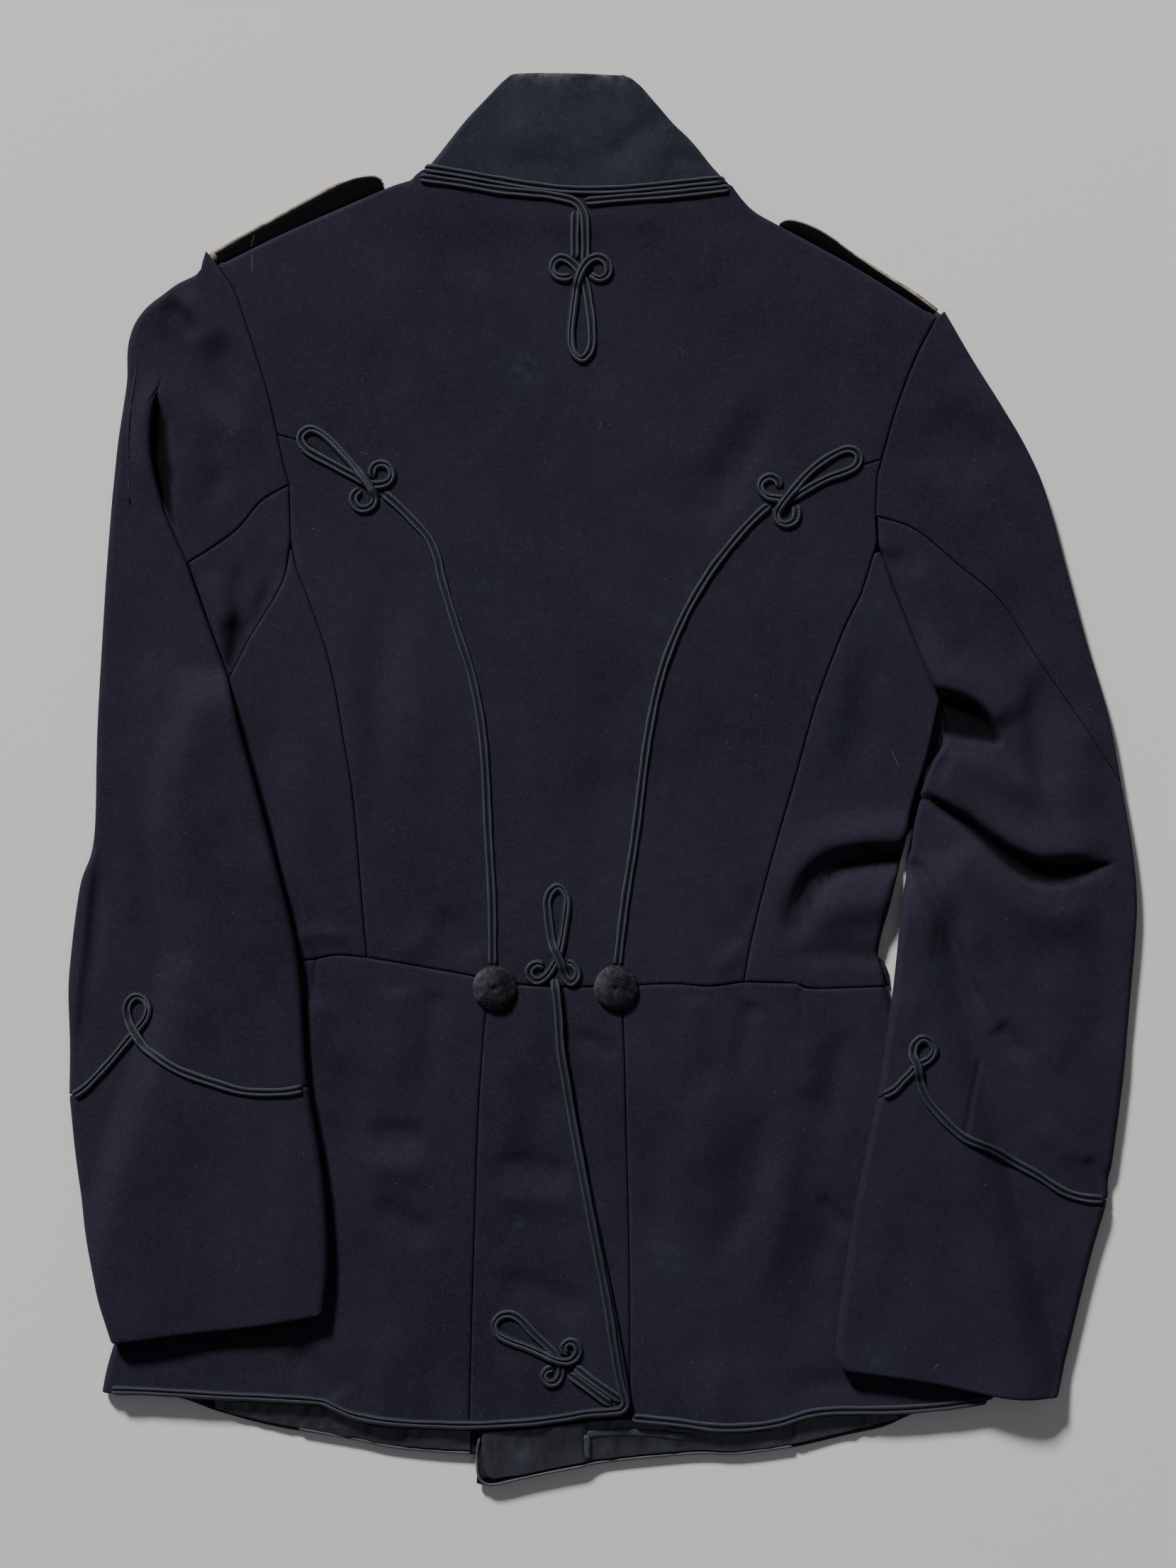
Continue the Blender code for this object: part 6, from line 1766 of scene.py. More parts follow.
@dataclass(frozen=True)
class NettedCord:
    """Dark corded button cover: painted glints, partly wear, on the cords' backs, painted shade between
    them.
    """

    name: str = "netted_button_cord"
    # Painted shade colour between the cords.
    gap: Colour = (0.0012, 0.0012, 0.002)
    dark: Colour = (0.012, 0.0125, 0.017)
    pale: Colour = (0.098, 0.107, 0.142)

    def material(self) -> bpy.types.Material:
        """Builds the finish.

        Returns:
            A material whose u counts the cords: |sin(pi * u)| is 0 between two and 1 on a back.
        """
        t = NodeTree(self.name)
        parts = t.node("ShaderNodeSeparateXYZ", {"Vector": t.uv()})
        back = t.math("ABSOLUTE", t.math("SINE", t.times(parts.outputs["X"], math.pi)))
        lay = t.math("ADD", t.times(parts.outputs["X"], 1.2), parts.outputs["Y"])
        thread = t.stretch(t.math("SINE", t.times(lay, 2 * math.pi / 0.8)), -1.0, 1.0)
        # Patches where the threads get a painted highlight, partly wear.
        worn = t.patchy(260.0, 3.0, 0.7, 0.42, 0.64)
        body = t.mix(t.times(thread, worn), rgba(self.dark), rgba(self.pale))
        # Painted shade: near black between the cords, where |sin(pi * u)| is low.
        body = t.mix(t.stretch(back, 0.40, 0.90), rgba(self.gap), body)
        # Painted glints: pale specks over the cords.
        glints = t.patchy(1100.0, 2.0, 0.8, 0.63, 0.73)
        body = t.mix(t.times(glints, 0.3), body, rgba((0.11, 0.115, 0.13)))
        normal = t.bump(thread, 0.00015, 0.8)
        return t.finish(body, normal, 0.5, {"Specular IOR Level": 0.3})


@dataclass(frozen=True)
class Satin:
    """Satin lining: close parallel threads, glossy along them, with crumpled small creases."""

    name: str = "black_satin_lining"
    dark: Colour = (0.006, 0.0066, 0.0110)
    pale: Colour = (0.020, 0.0215, 0.0340)
    roughness: float = 0.40

    def material(self) -> bpy.types.Material:
        """Builds the finish: colour clouds, thread bump, and small crumples under it."""
        t = NodeTree(self.name)
        clouds = t.patchy(60.0, 3.0, 0.6, 0.3, 0.7)
        threads = t.noise(t.scaled((3200.0, 240.0, 800.0)), 1.0, 1.0)
        crumple = t.noise(t.scaled((230.0, 70.0, 120.0), 0.2), 1.0, 3.0, 0.6)
        body = t.mix(clouds, rgba(self.dark), rgba(self.pale))
        rubbed = t.times(t.mark("rim"), t.patchy(160.0, 3.0, 0.5, 0.35, 0.65, 0.0, 0.7))
        body = t.mix(rubbed, body, rgba((0.035, 0.036, 0.042)))
        normal = t.bump(threads, 0.00004, 0.5, t.bump(crumple, 0.0007, 0.8))
        return t.finish(body, normal, self.roughness, {"Specular IOR Level": 0.5, "Anisotropic": 0.5})


@dataclass(frozen=True)
class Lace:
    """Metal lace edge of the straps, pale gold where it is bright and brown where it is tarnished."""

    name: str = "strap_lace"
    bright: Colour = (0.30, 0.26, 0.205)
    tarnished: Colour = (0.07, 0.055, 0.04)
    glint: Colour = (0.44, 0.40, 0.33)

    def material(self) -> bpy.types.Material:
        """Builds the finish: threads across the edge, bright and tarnished in patches."""
        t = NodeTree(self.name)
        parts = t.node("ShaderNodeSeparateXYZ", {"Vector": t.uv()})
        lay = t.math("ADD", parts.outputs["Y"], t.times(parts.outputs["X"], 0.7))
        thread = t.stretch(t.math("SINE", t.times(lay, 2 * math.pi / 0.9)), -1.0, 1.0)
        tarnish = t.patchy(120.0, 4.0, 0.65, 0.42, 0.60)
        body = t.mix(tarnish, rgba(self.bright), rgba(self.tarnished))
        body = t.mix(t.times(thread, 0.4), body, rgba(self.glint))
        return t.finish(body, t.bump(thread, 0.0002, 0.8), 0.46, {"Metallic": 0.2})


@dataclass(frozen=True)
class Lint:
    """Fluff and short hairs caught on the cloth."""

    name: str = "pale_lint"
    blue: Colour = (0.28, 0.30, 0.36)
    warm: Colour = (0.40, 0.36, 0.30)

    def material(self) -> bpy.types.Material:
        """Builds the finish: pale grey, warmer and bluer by place."""
        t = NodeTree(self.name)
        mixed = t.mix(t.noise(t.place, 30.0), rgba(self.blue), rgba(self.warm))
        normal = t.bump(t.noise(t.place, 2000.0), 0.0001, 0.5)
        return t.finish(mixed, normal, 0.8, {"Specular IOR Level": 0.2})


@dataclass(frozen=True)
class Floor:
    """Plain pale floor."""

    name: str = "pale_floor"
    colour: Colour = (0.72, 0.72, 0.71)
    grain_colour: Colour = (0.66, 0.66, 0.65)

    def material(self) -> bpy.types.Material:
        """Builds the finish: even colour with a very faint grain."""
        t = NodeTree(self.name)
        grain = t.noise(t.place, 40.0)
        body = t.mix(t.times(grain, 0.05), rgba(self.colour), rgba(self.grain_colour))
        return t.finish(body, t.bump(grain, 0.0002, 0.2), 0.85, {})


class Slot(Enum):
    """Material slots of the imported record."""

    MELTON = "navy_melton"
    COLLAR = "collar_melton"
    SATIN = "black_satin"
    STRAP = "strap_cloth"
    BRAID = "navy_braid"
    BUTTON = "button_cord"


# Wall and grid step of what lies on the floor under the rest, and the wall of collar and cuffs.
UNDERSIDE = {"wall": FRONT_WALL, "step": 5.0}
FIRM_WALL = 2.2
# A stretch that lies above every place, and a whole half turn down to the floor.
WHOLE: Stretch = (0.0, 1.0)
TO_FLOOR = Fold(everywhere(1.0), everywhere(0.0))


class Dresser:
    """Gives a piece its finish and tells the frame what it rides on and stands for."""

    def __init__(self) -> None:
        """Starts with no pieces and one material for each finish."""
        self.made: dict[object, bpy.types.Material] = {}
        self.count = 0

    def dress(self, item: bpy.types.Object, finish: object,
              nodes: tuple[str, ...] = ()) -> None:
        """Puts the finish on a piece, lets it ride on the body and reports it.

        Args:
            item: the piece.
            finish: a finish with a material method.
            nodes: the solids that the piece stands for.
        """
        if finish not in self.made:
            self.made[finish] = finish.material()
        item.data.materials.append(self.made[finish])
        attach(item, "root")
        if nodes:
            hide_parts(*nodes)
        faces = len(item.data.polygons)
        self.count += faces * 2
        log.info("%s: %d faces, stands for %s", item.name, faces, ", ".join(nodes) or "nothing")


@dataclass
class ClothPart:
    """A sub-assembly of cloth panels in one finish."""

    layers: Layers
    finish: object = Melton()
    slot: Slot = Slot.MELTON

    def panels(self) -> list[Panel]:
        """The part's panels."""
        raise NotImplementedError

    def build(self, dresser: Dresser) -> list[np.ndarray]:
        """Makes, dresses and declares every panel.

        Returns:
            The panels' outer grids, for what lies on them.
        """
        outers = []
        for panel in self.panels():
            node = panel.name
            panel.name = f"{node}_cloth"
            item = panel.build()
            dresser.dress(item, self.finish, (node,))
            outers.append(panel.outer)
        return outers


class Body(ClothPart):
    """Back, side bodies and the fronts' parts between the side seams and the side folds.

    Stretches named across and down are in the view.
    """

    tip_trim: float = 5.0
    neck_left_across: Stretch = (560.0, 590.0)
    neck_right_across: Stretch = (1030.0, 1060.0)
    armhole_left_across: Stretch = (306.0, 330.0)
    armhole_right_across: Stretch = (1290.0, 1322.0)
    side_fold_down: Stretch = (762.0, 850.0)

    def _over_shoulders(self, plan: Plan) -> np.ndarray:
        """The back turns over the shoulders and lies flat at the neck and the armholes."""
        at = across_view(plan)
        shoulder = np.maximum(1 - ease(at, *self.neck_left_across), ease(at, *self.neck_right_across))
        inside = ease(at, *self.armhole_left_across) * (1 - ease(at, *self.armhole_right_across))
        return LEAST_TURN + (1 - LEAST_TURN) * shoulder * inside

    def panels(self) -> list[Panel]:
        """Five panels of the body."""
        level, pile = self.layers.body, self.layers.pile
        over = everywhere(LOW_EDGE)
        return [
            Panel("back_centre", line_of("armhole_left", "short_seam_left", "back_seam_left"),
                  line_of("armhole_right", "-short_seam_right", "back_seam_right"),
                  line_of("shoulder_left", "neck_left", "neck_middle", "neck_right", "shoulder_right"),
                  line_of("waist_flap", "waist_underlap", "waist_middle"), level, above=pile,
                  hollows=BODY_HOLLOWS, folds={Side.TOP: Fold(self._over_shoulders, over)},
                  lies_on=("front_left", "front_right")),
            Panel("side_body_left",
                  line_of("armhole_left_low", "underarm_left", "side_seam_left_start",
                          "side_seam_left"),
                  line_of("back_seam_left"), line_of("short_seam_left"), line_of("waist_left_side"),
                  level, above=pile, lies_on=("front_left",)),
            Panel("side_body_right", line_of("back_seam_right"),
                  line_of("armhole_right_low", "underarm_right", "side_seam_right_start",
                          "side_seam_right"),
                  line_of("short_seam_right"), line_of("waist_right_side"), level, above=pile,
                  hollows=BODY_HOLLOWS, lies_on=("front_right",)),
            self._front_side(-1), self._front_side(1),
        ]

    def _front_side(self, side: int) -> Panel:
        """Part of a front between its side seam and its side fold, from the armpit to the waist."""
        if side < 0:
            edge = line_of("armpit_edge_left", "armpit_edge_left_low", "sleeve_left_fold_beside",
                           "body_edge_left")
            seam = line_of("side_seam_left_start", "side_seam_left")
        else:
            edge = line_of("armpit_edge_right", "body_edge_right")
            seam = line_of("side_seam_right_start", "side_seam_right")
        edge, seam = (line[lengths(line) >= self.tip_trim] for line in (edge, seam))
        fold = Fold(below(*self.side_fold_down), self.layers.beneath_body)
        lines = (edge, seam) if side < 0 else (seam, edge)
        top = np.array([lines[0][0], lines[1][0]])
        name = "left" if side < 0 else "right"
        return Panel(f"front_side_{name}", *lines, top, line_of(f"waist_{name}"), self.layers.body,
                     above=self.layers.pile, hollows=BODY_HOLLOWS,
                     folds={Side.LEFT if side < 0 else Side.RIGHT: fold}, lies_on=(f"front_{name}",))


class Fronts(ClothPart):
    """The fronts and the front skirts on the floor, the right ones stepping over the left ones."""

    inset: float = 4.6
    skirt_inset_down: Stretch = (1400.0, 1440.0)

    def _open_left(self, plan: Plan) -> np.ndarray:
        """Inset below the left armpit, where the body's fold reaches down to the floor."""
        return self.inset * ease(down_view(plan), *OPEN_LEFT)

    def _open_right(self, plan: Plan) -> np.ndarray:
        """Inset where the floor shows beside the right sleeve."""
        return self.inset * self.layers.gap_right(plan)

    def _skirt_right(self, plan: Plan) -> np.ndarray:
        """Inset of the right front skirt, which starts below the waist."""
        return self.inset * ease(down_view(plan), *self.skirt_inset_down)

    def panels(self) -> list[Panel]:
        """Four panels on the floor."""
        layers = self.layers
        return [
            Panel("front_left",
                  line_of("armhole_left", "armhole_left_low", "underarm_left", "armpit_edge_left",
                          "armpit_edge_left_low", "sleeve_left_fold_beside", "body_edge_left"),
                  line_of("front_edge_left"), line_of("shoulder_left", "neck_left", "neck_middle"),
                  line_of("front_waist_left"), layers.front, insets={Side.LEFT: self._open_left},
                  **UNDERSIDE),
            Panel("front_right", line_of("front_edge_right"),
                  line_of("armhole_right", "armhole_right_low", "underarm_right", "armpit_edge_right",
                          "front_floor_edge_right"),
                  line_of("neck_middle", "neck_right", "shoulder_right"), line_of("front_waist_right"),
                  layers.over_left_front, insets={Side.RIGHT: self._open_right},
                  lies_on=("front_left",), **UNDERSIDE),
            Panel("skirt_front_left", line_of("skirt_edge_left"), line_of("skirt_front_edge_left"),
                  line_of("front_waist_left"), line_of("front_hem_left"), layers.front,
                  insets={Side.LEFT: everywhere(self.inset)}, **UNDERSIDE),
            Panel("skirt_front_right", line_of("skirt_front_edge_right"), line_of("skirt_edge_right"),
                  line_of("front_waist_right"), line_of("front_hem_right"), layers.over_left_front,
                  insets={Side.RIGHT: self._skirt_right}, lies_on=("skirt_front_left",), **UNDERSIDE),
        ]


class Skirts(ClothPart):
    """Skirts below the waist seam, the vent's flap and its underlap."""

    def panels(self) -> list[Panel]:
        """Four panels."""
        layers = self.layers
        return [
            Panel("back_skirt_right", line_of("underlap_edge"), line_of("pleat_right"),
                  line_of("waist_underlap", "waist_middle"), line_of("hem_underlap"), layers.underlap,
                  above=layers.pile, lies_on=("skirt_front_right",)),
            Panel("skirt_left", line_of("skirt_edge_left"), line_of("pleat_left"),
                  line_of("waist_left", "waist_left_side"), line_of("hem_left"), layers.skirt,
                  folds={Side.LEFT: TO_FLOOR}, above=layers.pile, lies_on=("skirt_front_left",)),
            Panel("skirt_right", line_of("pleat_right"), line_of("skirt_edge_right"),
                  line_of("waist_right_side", "waist_right"), line_of("hem_right"), layers.skirt,
                  folds={Side.RIGHT: TO_FLOOR}, above=layers.pile, lies_on=("skirt_front_right",)),
            Panel("back_skirt_left", line_of("pleat_left"), line_of("vent_edge"),
                  line_of("waist_flap", "waist_underlap"), line_of("hem_flap"), layers.flap,
                  lies_on=("back_skirt_right",)),
        ]


class Linings(ClothPart):
    """Satin inside the fronts, only the strip that shows below the back hem."""

    pucker: float = 1.1
    smooth_share: float = 0.55
    stretched: Stretch = (1.0, 0.35)

    def _puckered(self, under: Level) -> Level:
        """Level of satin on a front: short puckers that run down to the hem, unevenly."""

        def level(plan: Plan) -> np.ndarray:
            """Height of the front, the satin, and puckers from noise drawn out down the view."""
            drawn = plan * np.array(self.stretched)
            fine = undulation(drawn, 41, 5.0, 0.6)
            broad = undulation(drawn, 42, 13.0, 0.5)
            puckers = self.pucker * np.maximum(self.smooth_share + fine + broad, 0.0)
            return under(plan) + LAYER_GAP + SATIN_WALL + puckers

        return level

    def panels(self) -> list[Panel]:
        """Left and right strips."""
        shared = {"wall": SATIN_WALL, "step": 0.8, "rounding": 0.7, "fall": 0.5}
        strips = []
        for side, level in (("left", self.layers.front), ("right", self.layers.over_left_front)):
            top, bottom = line_of(f"lining_{side}_top"), line_of(f"lining_{side}_bottom")
            start = line_of("lining_right_edge") if side == "right" else np.array([top[0], bottom[0]])
            end = np.array([top[-1], bottom[-1]])
            strips.append(Panel(f"lining_{side}", start, end, top, bottom, self._puckered(level),
                                lies_on=(f"skirt_front_{side}",), **shared))
        return strips


class Collar(ClothPart):
    """Stand collar folded flat: its back shows and its front ends meet beneath."""

    inset: float = 4.3
    meeting_across: float = 819.0

    def panels(self) -> list[Panel]:
        """The back of the collar and its two ends beneath."""
        neck = line_of("neck_left", "neck_middle", "neck_right")
        top = line_of("collar_top")
        meeting = placed([(self.meeting_across, VIEW_CENTRE[1])])[0, 0]
        heights = [np.interp(meeting, line[:, 0], line[:, 1]) for line in (top, neck)]
        middle = np.array([[meeting, height] for height in heights])
        tops = [np.vstack([top[top[:, 0] < meeting], middle[:1]]),
                np.vstack([middle[:1], top[top[:, 0] > meeting]])]
        necks = [np.vstack([neck[neck[:, 0] < meeting], middle[1:]]),
                 np.vstack([middle[1:], neck[neck[:, 0] > meeting]])]
        inset, floor = everywhere(self.inset), everywhere(FLOOR_TOP)
        return [
            Panel("collar_front_left", line_of("collar_left"), middle, tops[0], necks[0], floor,
                  insets={Side.LEFT: inset}, **UNDERSIDE),
            Panel("collar_front_right", middle, line_of("collar_right"), tops[1], necks[1], floor,
                  insets={Side.RIGHT: inset}, **UNDERSIDE),
            Panel("collar", line_of("collar_left"), line_of("collar_right"), top, neck,
                  self.layers.collar, wall=FIRM_WALL, step=1.6, rounding=2.2, fall=1.6,
                  folds={Side.LEFT: TO_FLOOR, Side.RIGHT: TO_FLOOR},
                  lies_on=("collar_front_left", "collar_front_right")),
        ]


class Sleeve(ClothPart):
    """What both sleeves share: how far the underside is drawn in, and a pointed cuff at the end."""

    inset: float = 4.5
    side: str = "left"
    hand: int = -1

    def _under_fold(self) -> Fold:
        """A whole half turn that goes under the sleeve's own underside."""
        return Fold(everywhere(1.0), self.layers.beneath_sleeve(self.hand, *WHOLE))

    def _cuff(self, level: Level) -> list[Panel]:
        """The cuff's underside and its top."""
        side, beneath = self.side, self.layers.under_sleeve(self.hand)
        first, last = ("outer", "inner") if self.hand < 0 else ("inner", "outer")
        edges = line_of(f"cuff_{first}_{side}"), line_of(f"cuff_{last}_{side}")
        end = line_of(f"cuff_end_{side}")
        inset, fold = everywhere(self.inset), self._under_fold()
        return [
            Panel(f"cuff_{side}_floor", *edges, line_of(f"cuff_under_{side}"), end, beneath,
                  insets={Side.LEFT: inset, Side.RIGHT: inset}, **UNDERSIDE),
            Panel(f"cuff_{side}", *edges, line_of(f"cuff_line_{side}"), end, level, above=beneath,
                  wall=FIRM_WALL, folds={Side.LEFT: fold, Side.RIGHT: fold},
                  lies_on=(f"cuff_{side}_floor",)),
        ]


class LeftSleeve(Sleeve):
    """Left sleeve: its outer part lies over the sunk hind part of the head and the under sleeve."""

    tip_trim: float = 3.0
    armpit_inset: float = 0.7
    one_cloth_down: Stretch = (520.0, 562.0)
    outer_inset_down: Stretch = (380.0, 480.0)
    outer_fold_down: Stretch = (353.0, 480.0)
    outer_low_down: Stretch = (360.0, 470.0)
    inner_fold_down: Stretch = (540.0, 620.0)

    def _one_cloth(self, plan: Plan) -> np.ndarray:
        """1 near the shoulder, where the outer part and the head run on as one cloth."""
        return 1 - ease(down_view(plan), *self.one_cloth_down)

    def _outer_inset(self, plan: Plan) -> np.ndarray:
        """Inset of the underside along the outer fold, none at the shoulder."""
        return self.inset * ease(down_view(plan), *self.outer_inset_down)

    def _inner_inset(self, plan: Plan) -> np.ndarray:
        """Inset of the underside along the inner fold, none beside the armpit."""
        return self.inset * ease(down_view(plan), *OPEN_LEFT)

    def _up_to_tip(self, line: Plan) -> Plan:
        """A line without its last few millimetres at the armpit's tip."""
        along = lengths(line)
        return line[along <= along[-1] - self.tip_trim]

    def panels(self) -> list[Panel]:
        """Six panels with the cuff's."""
        layers = self.layers
        outer, head = line_of("sleeve_left_outer"), line_of("sleeve_left_opening")
        fold = line_of("sleeve_left_fold_start", "sleeve_left_fold_next", "sleeve_left_fold_beside",
                       "sleeve_left_fold")
        inner = line_of("armhole_left", "armhole_left_low", "underarm_left", "armpit_edge_left",
                        "armpit_edge_left_low", "sleeve_left_fold_beside", "sleeve_left_fold")
        beneath = layers.under_sleeve(self.hand)
        under_left = self._up_to_tip(line_of("sleeve_left_fold_start", "sleeve_left_fold_next"))
        under_right = self._up_to_tip(
            line_of("underarm_left", "armpit_edge_left", "armpit_edge_left_low"))
        tip = np.array([under_left[-1], under_right[-1]])
        outer_fold = Fold(below(*self.outer_fold_down),
                          layers.beneath_sleeve(self.hand, *self.outer_low_down))
        inner_fold = Fold(below(*self.inner_fold_down), layers.beneath_sleeve(self.hand, *OPEN_LEFT))
        on_floor = ("sleeve_left_floor",)
        return [
            Panel("sleeve_left_floor", outer, inner, line_of("sleeve_left_cap"),
                  line_of("cuff_under_left"), beneath,
                  insets={Side.LEFT: self._outer_inset, Side.RIGHT: self._inner_inset}, **UNDERSIDE),
            Panel("sleeve_left_head", head, line_of("armhole_left", "armhole_left_low"),
                  line_of("sleeve_left_cap_inner"), line_of("hind_seam_left"), layers.armpit,
                  above=beneath, hollows=HEAD_HOLLOWS, joined={Side.LEFT: self._one_cloth},
                  lies_on=on_floor),
            Panel("sleeve_left_under", under_left, under_right, line_of("hind_seam_left"), tip,
                  layers.armpit, above=beneath, hollows=ARMPIT_HOLLOWS,
                  insets={Side.LEFT: everywhere(self.armpit_inset)}, lies_on=on_floor),
            Panel("sleeve_left_top", outer, np.vstack([head, fold[1:]]),
                  line_of("sleeve_left_cap_outer"), line_of("cuff_line_left"), layers.left_sleeve,
                  above=beneath, joined={Side.RIGHT: self._one_cloth},
                  folds={Side.LEFT: outer_fold, Side.RIGHT: inner_fold}, lies_on=on_floor),
            *self._cuff(layers.left_cuff),
        ]


class RightSleeve(Sleeve):
    """Right sleeve: head above the hind seam, under sleeve with the elbow's folds below it."""

    side: str = "right"
    hand: int = 1
    body_gap: float = 0.8
    outer_inset_down: Stretch = (460.0, 560.0)
    beside_body_down: Stretch = (975.0, 1010.0)
    head_fold_down: Stretch = (440.0, 560.0)
    head_low_down: Stretch = (450.0, 550.0)
    inner_fold_down: Stretch = (728.0, 800.0)

    def _outer_inset(self, plan: Plan) -> np.ndarray:
        """Inset of the underside along the outer fold, none at the shoulder."""
        return self.inset * ease(down_view(plan), *self.outer_inset_down)

    def _inner_inset(self, plan: Plan) -> np.ndarray:
        """Inset of the underside along the inner fold, none beside the armpit."""
        return self.inset * ease(down_view(plan), *OPEN_RIGHT)

    def _beside_body(self, plan: Plan) -> np.ndarray:
        """Inset that keeps the under sleeve clear of the body's side fold."""
        return self.body_gap * (1 - ease(down_view(plan), *self.beside_body_down))

    def panels(self) -> list[Panel]:
        """Five panels with the cuff's."""
        layers = self.layers
        armhole = line_of("armhole_right", "armhole_right_low")
        inner = line_of("underarm_right", "armpit_edge_right", "sleeve_right_inner")
        head, lower = line_of("sleeve_right_outer_head"), line_of("sleeve_right_outer")
        cap, seam = line_of("sleeve_right_cap"), line_of("hind_seam_right")
        beneath = layers.under_sleeve(self.hand)
        head_fold = Fold(below(*self.head_fold_down),
                         layers.beneath_sleeve(self.hand, *self.head_low_down))
        inner_fold = Fold(below(*self.inner_fold_down), layers.beneath_sleeve(self.hand, *OPEN_RIGHT))
        on_floor = ("sleeve_right_floor",)
        return [
            Panel("sleeve_right_floor", np.vstack([armhole, inner[1:]]), np.vstack([head, lower[1:]]),
                  cap, line_of("cuff_under_right"), beneath,
                  insets={Side.LEFT: self._inner_inset, Side.RIGHT: self._outer_inset}, **UNDERSIDE),
            Panel("sleeve_right_top", armhole, head, cap, seam, layers.right_sleeve, above=beneath,
                  hollows=RIGHT_SLEEVE_HOLLOWS, folds={Side.RIGHT: head_fold}, lies_on=on_floor),
            Panel("sleeve_right_under", inner, lower, seam, line_of("cuff_line_right"),
                  layers.right_sleeve, above=beneath, hollows=RIGHT_SLEEVE_HOLLOWS, step=1.9,
                  level_run=5.0, folds={Side.LEFT: inner_fold, Side.RIGHT: self._under_fold()},
                  insets={Side.LEFT: self._beside_body}, lies_on=on_floor),
            *self._cuff(layers.right_cuff),
        ]


class Straps(ClothPart):
    """Shoulder straps turned out flat beyond the shoulders."""

    def panels(self) -> list[Panel]:
        """Two straps, each from its outer edge to the shoulder line."""
        shared = {"wall": STRAP_WALL, "step": 1.2, "rounding": 1.5, "fall": 1.3}
        straps = []
        for side in ("left", "right"):
            outer, sewn = line_of(f"strap_{side}_outer"), line_of(f"strap_{side}_sewn")
            ends = [np.array([outer[end], sewn[end]]) for end in (0, -1)]
            level = everywhere(STRAP_WALL)
            straps.append(Panel(f"shoulder_strap_{side}", *ends, outer, sewn, level, **shared))
        return straps


